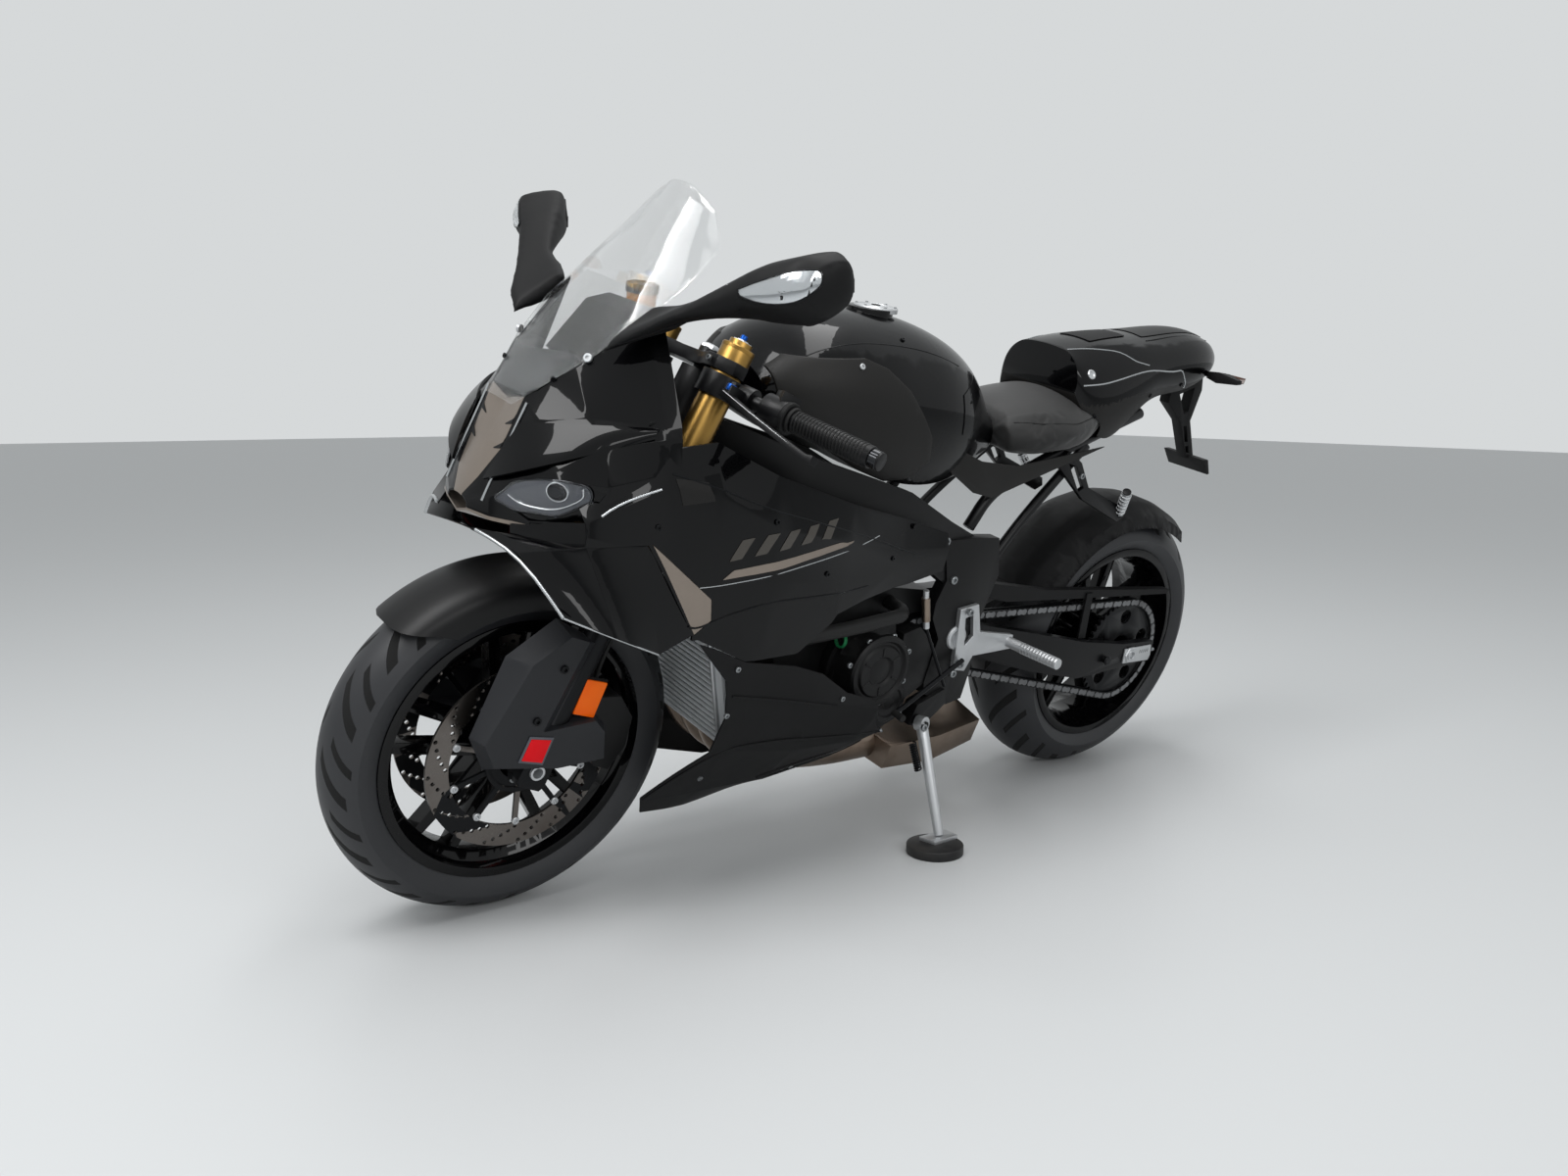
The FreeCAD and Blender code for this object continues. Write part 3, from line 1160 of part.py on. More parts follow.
winglet = max(winglet.Solids, key=lambda solid: solid.Volume)
feature("winglets", both_sides(winglet))

# Lower fairing, one half on each side. Columns: top edge, widest line, lower bend, keel edge.
belly_rows = [
    (572, [(252, 560), (244, 470), (212, 330), (178, 240), (170, 215)]),
    (440, [(247, 510), (240, 440), (214, 330), (158, 225), (126, 180)]),
    (270, [(236, 470), (230, 400), (198, 290), (130, 200), (66, 158)]),
    (100, [(222, 430), (216, 350), (176, 270), (112, 205), (50, 168)]),
    (-34, [(196, 400), (188, 330), (150, 270), (104, 236), (60, 222)]),
]
belly_outline = [(548, 556), (474, 474), (454, 400), (464, 330), (566, 250), (552, 212), (480, 190),
                 (267, 150), (120, 150), (-32, 226), (66, 300), (110, 372), (190, 402), (262, 452),
                 (330, 478), (444, 504)]
belly = side_shell(belly_rows, d.panel_wall).common(side_plate(belly_outline, 20, 400))
belly = belly.cut([fairing, insert, radiator_body, exhaust, engine, left_covers, mirrored(right_covers)])
belly = max(belly.Solids, key=lambda solid: solid.Volume)
feature("belly_pan", both_sides(belly))

# Windscreen: one bent sheet. Rows: distance up its middle line, half width, how far the edges
# lie back from the middle.
SCREEN_FOOT = at(786, 0, 876)
SCREEN_TOP = at(512, 0, 1208)
screen_rows = [(0, 40, 6), (105, 104, 16), (190, 134, 26), (290, 140, 44), (372, 122, 56), (414, 84, 34),
               (430, 34, 8)]
rise = (SCREEN_TOP - SCREEN_FOOT).normalize()
back_way = V(-rise.z, 0, rise.x)


def screen_arc(along, half, sag, wall):
    middle = SCREEN_FOOT + rise * along + back_way * wall
    edge = middle + back_way * sag
    left = edge + V(0, half, 0)
    right = edge - V(0, half, 0)
    return left, middle, right


def screen_section(along, half, sag):
    left, middle, right = screen_arc(along, half, sag, 0)
    back_left, back_middle, back_right = screen_arc(along, half, sag, d.screen_wall)
    return Part.Wire([
        Part.Arc(left, middle, right).toShape(),
        Part.LineSegment(right, back_right).toShape(),
        Part.Arc(back_right, back_middle, back_left).toShape(),
        Part.LineSegment(back_left, left).toShape(),
    ])


screen = ruled([screen_section(along, half, sag) for along, half, sag in screen_rows])
screen = screen.cut([fused(halves), accent])
feature("windscreen", screen)

# Instrument panel on the front stay, which is bolted to the steering head.
stay = ruled([
    polygon([V(4, -9, 572), V(4, 9, 572), V(4, 9, 628), V(4, -9, 628)]),
    polygon([V(100, -46, 556), V(100, 46, 556), V(100, 46, 640), V(100, -46, 640)]),
    polygon([V(150, -66, 566), V(150, 66, 566), V(150, 66, 640), V(150, -66, 640)]),
])
stay.Placement = FORK
dash = side_plate([(640, 915), (664, 940), (600, 1048), (560, 1062), (552, 1046), (590, 960)], -88, 88)
stay = stay.cut(frame)
arms = [rod(at(602, 50, 900), at(640, 206, 880), 6), rod(at(602, -50, 900), at(640, -206, 880), 6)]
feature("instrument_panel", fused([stay, dash] + arms).cut([nose_cowl, screen]))

# Mirrors: a stalk from the nose and a long head. Sections at steps outwards.
mirror_rows = [
    (140, [(702, 964), (694, 985), (626, 1040), (606, 1036), (612, 1000)]),
    (186, [(690, 994), (680, 1012), (606, 1050), (590, 1048), (606, 1012)]),
    (226, [(664, 1026), (654, 1044), (598, 1066), (588, 1056), (606, 1034)]),
    (320, [(606, 1078), (596, 1108), (540, 1124), (524, 1084), (560, 1062)]),
    (392, [(584, 1094), (566, 1138), (502, 1152), (486, 1100), (530, 1070)]),
    (424, [(556, 1106), (542, 1130), (506, 1138), (496, 1110), (526, 1090)]),
]
mirror = ruled([polygon([at(x, y, z) for x, z in row]) for y, row in mirror_rows])
mirror = mirror.cut([nose_outer, screen])
feature("mirrors", both_sides(max(mirror.Solids, key=lambda solid: solid.Volume)))

# Rear wheel's hugger and the chain guard, both on the swingarm.
def rear_sector(low, high):
    far = 600
    points = [V(0, 0, 0)]
    steps = 4
    for step in range(steps + 1):
        turn = math.radians(low + (high - low) * step / steps)
        points.append(V(far * math.cos(turn), 0, far * math.sin(turn)))
    face = Part.Face(polygon(points))
    return face.extrude(V(0, 400, 0)).translated(V(REAR_AXLE.x, -200, REAR_AXLE.z))


hugger_rows = [(282, 106), (306, 92), (324, 62), (332, 30), (333, 0)]
hugger = closed_turn([(radius + 3, side + (2 if side else 0)) for radius, side in hugger_rows])
hugger = hugger.cut(closed_turn(hugger_rows))
hugger.translate(REAR_AXLE)
hugger = hugger.common(rear_sector(26, 122)).cut([swingarm, chain_room])
hugger = max(hugger.Solids, key=lambda solid: solid.Volume)
hugger_lip = side_plate([(-436, 462), (-424, 474), (-286, 424), (-286, 416.3), (-302, 416.3)], -40, 40)
hugger = fused([hugger, hugger_lip])
guard_line = [(-236, 500), (-250, 528), (-420, 498), (-856, 458), (-850, 448), (-500, 470), (-300, 484)]
chain_guard = side_plate(guard_line, 104, 124).cut([chain_room, hugger, frame, subframe])
guard_stay = side_plate([(-580, 372.3), (-556, 374), (-552, 478), (-572, 478)], 121, 128)
guard_stay = guard_stay.cut([swingarm, chain_room])
chain_guard = fused([max(chain_guard.Solids, key=lambda solid: solid.Volume), guard_stay])
feature("swingarm_guards", Part.makeCompound([hugger, chain_guard]))

# Rear caliper over the disc, carried by the right arm.
rear_caliper = slab([(54, -44), (96, -74), (128, -40), (124, 2), (84, 6), (66, -10)],
                    d.rear_disc_place - 36, d.rear_disc_place + 20)
rear_slot = ring_plate(d.rear_disc_radius + 5, 10, d.rear_disc_place - d.rear_disc_wall / 2 - 5,
                       d.rear_disc_place + d.rear_disc_wall / 2 + 5)
rear_caliper = rear_caliper.cut(rear_slot)
rear_caliper.translate(REAR_AXLE)
feature("rear_caliper", rear_caliper.cut(swingarm))

# Footrests: hangers on the pivot plates with pegs, and folded pillion rests on the subframe.
hanger_near = plate_far + d.seat_clearance
hanger = side_plate([(-128, 500), (-176, 506), (-196, 446), (-296, 428), (-300, 398), (-188, 396),
                     (-172, 366), (-140, 372)], hanger_near, hanger_near + 10)
hanger = hanger.cut(side_plate([(-146, 480), (-166, 486), (-178, 440), (-158, 420)],
                               hanger_near - 1, hanger_near + 11))
peg = rod(at(-286, hanger_near + 4, 414), at(-290, 290, 418), 11)
rider_rest = fused([hanger, peg]).cut(frame)
pillion = side_plate([(-392, 796), (-372, 764), (-470, 690), (-600, 636), (-622, 646), (-616, 664),
                      (-480, 716), (-440, 770)], 112, 122)
pillion = pillion.cut(side_plate([(-400, 770), (-428, 762), (-464, 716), (-450, 708)], 111, 123))
pillion_peg = rod(at(-606, 118, 650), at(-572, 150, 712), 9)
pillion_rest = fused([pillion, pillion_peg]).cut([subframe, seat])
feature("footrests", Part.makeCompound([
    rider_rest, mirrored(rider_rest), pillion_rest, mirrored(pillion_rest)]))

# Side stand: an eye on the pin, a leg and a foot plate, and the puck under it.
STAND_FOOT = at(-55, 286, 92)
eye = rod(STAND_PIVOT - STAND_AXIS * 9, STAND_PIVOT + STAND_AXIS * 9, 15)
leg_way = (STAND_FOOT - STAND_PIVOT)
leg = Part.makeCone(d.stand_tube_radius, d.stand_tube_radius - 3, leg_way.Length, STAND_PIVOT, leg_way)
pin_hole = rod(STAND_PIVOT - STAND_AXIS * 40, STAND_PIVOT + STAND_AXIS * 40,
               d.stand_pin_radius + d.running_clearance)
UPRIGHTED = FreeCAD.Placement(V(0, 0, 0), FreeCAD.Rotation(V(1, 0, 0), d.lean_angle))
FLOORED = FreeCAD.Placement(V(0, 0, 0), FreeCAD.Rotation(V(1, 0, 0), -d.lean_angle))
foot_spot = FLOORED.multVec(STAND_FOOT)
sole = slice_up([(foot_spot.x - 34, foot_spot.y - 18), (foot_spot.x + 34, foot_spot.y - 18),
                 (foot_spot.x + 30, foot_spot.y + 20), (foot_spot.x - 30, foot_spot.y + 20)],
                d.puck_thick, d.puck_thick + 7)
sole.Placement = UPRIGHTED
ground_cut = Part.makeBox(400, 400, 40, V(foot_spot.x - 200, foot_spot.y - 200, d.puck_thick - 40))
ground_cut.Placement = UPRIGHTED
stand_leg = fused([eye, leg, sole]).cut([pin_hole, ground_cut])
feature("side_stand_leg", stand_leg)
puck = doc.addObject("Part::Cylinder", "stand_puck_disc")
puck.setExpression("Radius", "Sizes.puck_radius")
puck.setExpression("Height", "Sizes.puck_thick")
keep(puck, "stand_puck", UPRIGHTED.multiply(
    FreeCAD.Placement(V(foot_spot.x + 22, foot_spot.y + 12, 0), FreeCAD.Rotation())))

doc.recompute()

# The bike leans over about the ground line, and its origin goes under the middle of its box.
TO_FLOOR = FLOORED


def corner_box(shapes):
    boxes = [shape.optimalBoundingBox(False, False) for shape in shapes]
    low = V(min(b.XMin for b in boxes), min(b.YMin for b in boxes), min(b.ZMin for b in boxes))
    high = V(max(b.XMax for b in boxes), max(b.YMax for b in boxes), max(b.ZMax for b in boxes))
    return low, high


for item, place in SUBPARTS:
    item.Placement = TO_FLOOR.multiply(place)
doc.recompute()
low, high = corner_box([item.Shape for item, place in SUBPARTS])
CENTRE_SHIFT = V(-(low.x + high.x) / 2, -(low.y + high.y) / 2, 0)
SHIFT = FreeCAD.Placement(CENTRE_SHIFT, FreeCAD.Rotation())
for item, place in SUBPARTS:
    item.Placement = SHIFT.multiply(TO_FLOOR).multiply(place)
doc.recompute()

faults = []
for item in doc.Objects:
    if "Invalid" in item.State or "Error" in item.State:
        faults.append(item.Name + " is " + " ".join(item.State))
for item, place in SUBPARTS:
    if item.Shape.isNull() or not item.Shape.isValid() or not item.Shape.Solids:
        faults.append(item.Label + " has no valid solid")
if faults:
    raise RuntimeError("; ".join(faults))

os.makedirs("parts", exist_ok=True)
for item, place in SUBPARTS:
    item.Shape.exportStep("parts/%s.step" % item.Label)
print(len(SUBPARTS), "sub-parts")
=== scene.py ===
# %% [markdown]
# # A litre-class sport motorcycle on its side stand
#
# The machine's solids come from CAD with true sizes and joints. This lesson dresses them: it gives
# every solid the finish of the real piece, and models the small pieces and the flowing panels
# that make a machine look finished. It leans 13 degrees to the left, its stand foot on a round puck.

# %% Load the CAD frame
import json
import math

import bpy
from mathutils import Matrix, Vector


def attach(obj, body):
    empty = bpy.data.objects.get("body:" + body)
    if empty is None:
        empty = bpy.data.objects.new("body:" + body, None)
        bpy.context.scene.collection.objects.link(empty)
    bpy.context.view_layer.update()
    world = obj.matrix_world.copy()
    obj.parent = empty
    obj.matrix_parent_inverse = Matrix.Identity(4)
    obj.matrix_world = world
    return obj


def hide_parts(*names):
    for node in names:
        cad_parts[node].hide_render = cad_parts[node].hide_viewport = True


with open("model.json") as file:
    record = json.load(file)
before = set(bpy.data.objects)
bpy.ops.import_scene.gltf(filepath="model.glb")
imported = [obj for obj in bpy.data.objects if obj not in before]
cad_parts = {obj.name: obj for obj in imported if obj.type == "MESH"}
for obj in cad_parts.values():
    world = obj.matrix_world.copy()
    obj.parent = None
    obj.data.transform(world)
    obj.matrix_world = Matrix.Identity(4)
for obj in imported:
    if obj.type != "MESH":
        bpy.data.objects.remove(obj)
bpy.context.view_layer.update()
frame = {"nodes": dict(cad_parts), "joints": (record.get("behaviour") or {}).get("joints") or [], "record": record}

# %% [markdown]

# %% [markdown]
# ## Where things are
#
# Sizes are easiest to think of on an upright machine: x ahead of the middle of the wheelbase, y to the
# rider's left, z above the ground, all in millimetres. The rear wheel's joint says where the leaned
# machine stands, and one matrix carries upright millimetres over to it, and its inverse back again.

# %% From the upright machine to the leaning one
LEAN = math.radians(13)
WHEELBASE = 1457
FRONT_HUB = Vector((WHEELBASE / 2, 0, 235 + 65 / math.cos(LEAN)))
REAR_HUB = Vector((-WHEELBASE / 2, 0, 220 + 100 / math.cos(LEAN)))
RAKE = math.radians(23.6)

joints = {joint["name"]: joint for joint in frame["joints"]}
rear_hub_now = Vector(joints["rear_wheel_spin"]["pos_m"])
leaned = Matrix.Rotation(-LEAN, 4, "X")
moved = Matrix.Translation(rear_hub_now - leaned @ (REAR_HUB / 1000))
STANDING = moved @ leaned @ Matrix.Scale(0.001, 4)
back_up = STANDING.inverted()
FORK = Matrix.Translation(FRONT_HUB) @ Matrix.Rotation(-RAKE, 4, "Y")


def spot(x, y, z):
    """A point of the upright machine, in millimetres, on the leaning one, in metres."""
    return STANDING @ Vector((x, y, z))


print("rear hub now", [round(v, 4) for v in spot(*REAR_HUB)])

# %% [markdown]
# ## Small helpers
#
# Colours are picked as sRGB hex codes, as paint charts give them, and the shader wants them linear. One
# function adds a node to a material with its settings and links, so that a finish reads as a short list.
# The others select, turn and make pieces, because every piece below needs these same few steps.

# %% Colour, selection and node helpers
def linear(code):
    """A hex colour as the linear numbers a shader takes."""
    parts = [int(code[i:i + 2], 16) / 255 for i in (1, 3, 5)]
    return [p / 12.92 if p <= 0.04045 else ((p + 0.055) / 1.055) ** 2.4 for p in parts] + [1.0]


def deselect():
    """Leaves nothing selected, because an operator works on all that is."""
    bpy.ops.object.select_all(action="DESELECT")


def choose(*pieces):
    """Selects just these objects and makes the first the active one."""
    deselect()
    for piece in pieces:
        piece.select_set(True)
    bpy.context.view_layer.objects.active = pieces[0]


def add_node(material, kind, settings=None, links=None):
    """Adds a node to a material or the world. A setting names an input or a property, and a link names
    an input and its source."""
    node = material.node_tree.nodes.new(kind)
    for name, value in (settings or {}).items():
        if isinstance(name, str) and hasattr(node, name):
            setattr(node, name, value)
        else:
            node.inputs[name].default_value = value
    for name, source in (links or {}).items():
        material.node_tree.links.new(source, node.inputs[name])
    return node


def turned_to(way):
    """The turn that points a piece's z axis along a way."""
    return way.to_track_quat("Z", "Y").to_matrix()


def new_piece(name, data):
    """An object of some data, linked to the scene and chosen."""
    piece = bpy.data.objects.new(name, data)
    bpy.context.scene.collection.objects.link(piece)
    choose(piece)
    return piece


def face_outward(piece):
    """Turns every face of a closed piece outward, and a film's faces all one way."""
    choose(piece)
    bpy.ops.object.mode_set(mode="EDIT")
    bpy.ops.mesh.select_all(action="SELECT")
    bpy.ops.mesh.normals_make_consistent(inside=False)
    bpy.ops.object.mode_set(mode="OBJECT")


SIDES = ((1, "left"), (-1, "right"))
BODY_OF = {}
for body, members in frame["record"]["behaviour"]["bodies"].items():
    for member in members:
        BODY_OF[member] = body

# %% [markdown]
# Each new piece is modelled upright in millimetres, where its numbers mean something, and then its mesh
# is carried to the leaning machine. Its object ends at the origin, unturned, as the solids' objects do, so
# a pattern on Object coordinates has the same scale on all of them.

# %% Setting a finished piece on the machine
def shade(piece, degrees=32):
    """Smooth faces with hard edges where two faces meet at more than an angle."""
    choose(piece)
    bpy.ops.object.shade_smooth_by_angle(angle=math.radians(degrees))


def apply_all(piece):
    """Applies every modifier, so that the mesh is the shape that shows."""
    choose(piece)
    for modifier in list(piece.modifiers):
        bpy.ops.object.modifier_apply(modifier=modifier.name)


def settle(piece, name, body, paint, place=STANDING, degrees=32):
    """Names a piece, gives it its finish, carries its mesh to the leaning machine and lets it ride."""
    apply_all(piece)
    piece.name = name
    piece.data.name = name
    piece.data.transform(place @ piece.matrix_basis)
    piece.matrix_basis = Matrix.Identity(4)
    piece.data.materials.clear()
    piece.data.materials.append(paint)
    shade(piece, degrees)
    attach(piece, body)
    return piece


def soften(piece, width):
    """A rounded edge of a width in the piece's own unit, as every moulded or machined edge has."""
    bevel = piece.modifiers.new("edge", "BEVEL")
    bevel.width = width
    bevel.segments = 2
    bevel.limit_method = "ANGLE"
    bevel.angle_limit = math.radians(30)
    bevel.use_clamp_overlap = True


ON_FORK = STANDING @ FORK
ON_FRONT_WHEEL = STANDING @ Matrix.Translation(FRONT_HUB)
ON_REAR_WHEEL = STANDING @ Matrix.Translation(REAR_HUB)
print("front hub now", [round(v, 4) for v in ON_FRONT_WHEEL.translation])

# %% [markdown]
# ## Finishes
#
# Nearly everything here is black, so the eye tells the parts apart by gloss and grain alone: clear-coated
# paint that mirrors the room, satin paint, grained plastic, powder coat and rubber. Each of these gets the
# same three things: a fine grain in relief, a gloss that wanders a little, and a faint cloud of dust. The
# grain's size comes from the real surface in millimetres.

# %% A finish from its colour, gloss and grain
def finish(name, colour, roughness, grain_mm, relief_mm, metallic=0.0, coat=0.0, wander=0.06,
           dust="#3a3836", dust_share=0.06, specular=0.3):
    """A surface with fine relief, uneven gloss and a little dust or cloud of another shade."""
    material = bpy.data.materials.new(name)
    material.use_nodes = True
    shader = material.node_tree.nodes["Principled BSDF"]
    shader.inputs["Metallic"].default_value = metallic
    shader.inputs["Coat Weight"].default_value = coat
    shader.inputs["Coat Roughness"].default_value = 0.03
    shader.inputs["Specular IOR Level"].default_value = specular
    place = add_node(material, "ShaderNodeTexCoord")
    grain = add_node(material, "ShaderNodeTexNoise", {"Scale": 1000 / grain_mm, "Detail": 2.0},
                     {"Vector": place.outputs["Object"]})
    cloud = add_node(material, "ShaderNodeTexNoise", {"Scale": 9.0, "Detail": 4.0, "Roughness": 0.6},
                     {"Vector": place.outputs["Object"]})
    gloss = add_node(material, "ShaderNodeMapRange", {
        "From Min": 0.3, "From Max": 0.7, "To Min": max(roughness - wander, 0.02),
        "To Max": roughness + wander}, {"Value": cloud.outputs["Fac"]})
    amount = add_node(material, "ShaderNodeMapRange", {
        "From Min": 0.45, "From Max": 0.8, "To Min": 0.0, "To Max": dust_share},
        {"Value": cloud.outputs["Fac"]})
    tint = add_node(material, "ShaderNodeMix", {"data_type": "RGBA"}, {0: amount.outputs["Result"]})
    tint.inputs[6].default_value = linear(colour)
    tint.inputs[7].default_value = linear(dust)
    bump = add_node(material, "ShaderNodeBump", {"Strength": 1.0, "Distance": relief_mm / 1000},
                    {"Height": grain.outputs["Fac"]})
    links = material.node_tree.links
    links.new(tint.outputs[2], shader.inputs["Base Color"])
    links.new(gloss.outputs["Result"], shader.inputs["Roughness"])
    links.new(bump.outputs["Normal"], shader.inputs["Normal"])
    return material


def shader_of(material):
    """The node that holds a material's colour, gloss and coat."""
    return material.node_tree.nodes["Principled BSDF"]


# %% [markdown]
# Paint and plastic. The gloss panels are moulded ABS under black basecoat and clear lacquer: almost no
# grain, a very slight orange peel some 8 mm across, and a mirror-like coat. The matt ones are grained as
# moulded, about 0.6 mm, drawn at 3 mm so that it doesn't sparkle in the picture.

# %% Painted and moulded finishes
gloss_black = finish("clear-coated black paint", "#020203", 0.30, 8, 0.006, coat=0.42, wander=0.03,
                     dust="#08080a", dust_share=0.15, specular=0.03)
satin_black = finish("satin black paint", "#0a0a0b", 0.42, 6, 0.004, wander=0.01, dust="#111112",
                     specular=0.25)
matt_black = finish("matt grained ABS", "#0c0c0d", 0.58, 3, 0.012, wander=0.04, dust="#161617",
                    specular=0.2)
soft_grey_black = finish("matt grey-black side panel", "#161514", 0.50, 3, 0.010, wander=0.04,
                         dust="#201f1e", specular=0.25)
guard_grey = finish("moulded grey-black guard", "#222326", 0.48, 4, 0.012, wander=0.04, dust="#2b2c2f",
                    specular=0.3)
lamp_inside = finish("grey lamp housing", "#5b5d63", 0.32, 6, 0.01, metallic=0.35, wander=0.03,
                     dust="#3c3e43", dust_share=0.6)
bronze_taupe = finish("taupe metallic lacquer", "#8d8278", 0.34, 4, 0.006, metallic=0.85, coat=0.3,
                      wander=0.04, dust="#6f665e", dust_share=0.3)
silver_edge = finish("bright silver edge line", "#b9bcbe", 0.24, 2, 0.006, metallic=0.9, wander=0.04,
                     dust="#8d9092", dust_share=0.3)
stripe_grey = finish("dark grey stripe film", "#47433e", 0.40, 4, 0.004, metallic=0.3, coat=0.3, wander=0.04)
print("paints and plastics ready")

# %% [markdown]
# Metals. Cast alloy is grained like sand; machined alloy and steel are nearly smooth; the fork's upper
# tubes are anodised gold, its adjusters blue; the exhaust has turned bronze with heat, in soft clouds.

# %% Metal finishes
cast_silver = finish("sand-cast aluminium", "#9b9d9f", 0.46, 3, 0.03, metallic=0.9, wander=0.05,
                     dust="#6a665f", dust_share=0.3)
cast_black = finish("black-coated casting", "#0b0b0c", 0.46, 3, 0.03, wander=0.06, dust="#2a2826",
                    dust_share=0.12, specular=0.25)
powder_black = finish("black powder coat", "#08080a", 0.36, 3, 0.01, wander=0.04, dust="#161617",
                      specular=0.25)
rim_black = finish("gloss black wheel enamel", "#040405", 0.26, 5, 0.006, coat=0.4, wander=0.04,
                   dust="#151413", dust_share=0.12, specular=0.06)
bright_alloy = finish("tumbled bright alloy", "#c2c4c6", 0.40, 4, 0.004, metallic=0.8, wander=0.03,
                      dust="#9b9a96", dust_share=0.2)
gold_anodised = finish("gold anodised tube", "#a58246", 0.32, 4, 0.004, metallic=1.0, wander=0.04,
                       dust="#7e6232", dust_share=0.3)
blue_anodised = finish("blue anodised alloy", "#1b4a96", 0.32, 3, 0.004, metallic=0.9, wander=0.03)
zinc_steel = finish("zinc-plated fastener steel", "#8f9294", 0.36, 3, 0.004, metallic=0.9, wander=0.04)
dark_steel = finish("blackened steel", "#151618", 0.38, 3, 0.006, metallic=0.6, wander=0.05)
chain_steel = finish("oiled chain steel", "#7b7c7e", 0.38, 3, 0.02, metallic=0.9, wander=0.08,
                     dust="#3a3835", dust_share=0.7)
# Bare aluminium fins with a painted brightness: whiter and less metallic than the metal, so that they read as lit
# where they sit in shade.
fins_painted_lit = finish("bare radiator fins painted as lit", "#d3d6d8", 0.45, 4, 0.01, metallic=0.15, wander=0.04)
caliper_red = finish("red caliper paint", "#c00a14", 0.34, 4, 0.006, coat=0.25, wander=0.04,
                     dust="#7c0a10", dust_share=0.2, specular=0.15)
black_chrome = finish("black chrome", "#3a3b3d", 0.16, 4.0, 0.006, metallic=1.0, wander=0.03)
heat_bronze = finish("heat-tinted stainless", "#8f8175", 0.36, 4, 0.006, metallic=1.0, wander=0.06,
                     dust="#66503f", dust_share=0.8)
print("metals ready")

# %% [markdown]
# Rubber. Grips, hoses and the puck are plain black rubber, duller and a shade lighter than any paint.

# %% Rubber finishes
grip_rubber = finish("moulded grip rubber", "#141414", 0.66, 1.5, 0.10, wander=0.06)
hose_rubber = finish("reinforced hose rubber", "#161616", 0.58, 2.2, 0.09, wander=0.06)
puck_rubber = finish("hard rubber puck", "#1a1a1b", 0.52, 3.0, 0.12, wander=0.08, dust="#6b6761",
                     dust_share=0.3)
print("rubbers ready")

# %% [markdown]
# Brake discs are ground in circles. Object coordinates are turned into the disc's own radius, and a wave
# along that radius gives the rings, spaced 1.5 mm because the true ones would be too fine to see.

# %% Ground disc steel, for one hub
def ground_steel(name, hub_place):
    """Brown-grey disc steel with grinding rings about one hub."""
    material = finish(name, "#6f6a66", 0.30, 1.0, 0.01, metallic=1.0, wander=0.06, dust="#4b4038",
                      dust_share=0.6)
    place = add_node(material, "ShaderNodeTexCoord")
    local = add_node(material, "ShaderNodeMapping", {
        "vector_type": "TEXTURE", "Location": hub_place, "Rotation": (-LEAN, 0, 0)},
        {"Vector": place.outputs["Object"]})
    flat = add_node(material, "ShaderNodeVectorMath", {"operation": "MULTIPLY", 1: (1, 0, 1)},
                    {0: local.outputs["Vector"]})
    radius = add_node(material, "ShaderNodeVectorMath", {"operation": "LENGTH"}, {0: flat.outputs["Vector"]})
    rings = add_node(material, "ShaderNodeTexNoise", {
        "noise_dimensions": "1D", "Scale": 1000 / 1.5, "Detail": 1.0}, {"W": radius.outputs["Value"]})
    relief = add_node(material, "ShaderNodeBump", {"Strength": 1.0, "Distance": 0.00003},
                      {"Height": rings.outputs["Fac"]})
    material.node_tree.links.new(relief.outputs["Normal"], shader_of(material).inputs["Normal"])
    return material


front_disc_steel = ground_steel("front disc steel", ON_FRONT_WHEEL.translation)
rear_disc_steel = ground_steel("rear disc steel", ON_REAR_WHEEL.translation)
print("disc steels ready")
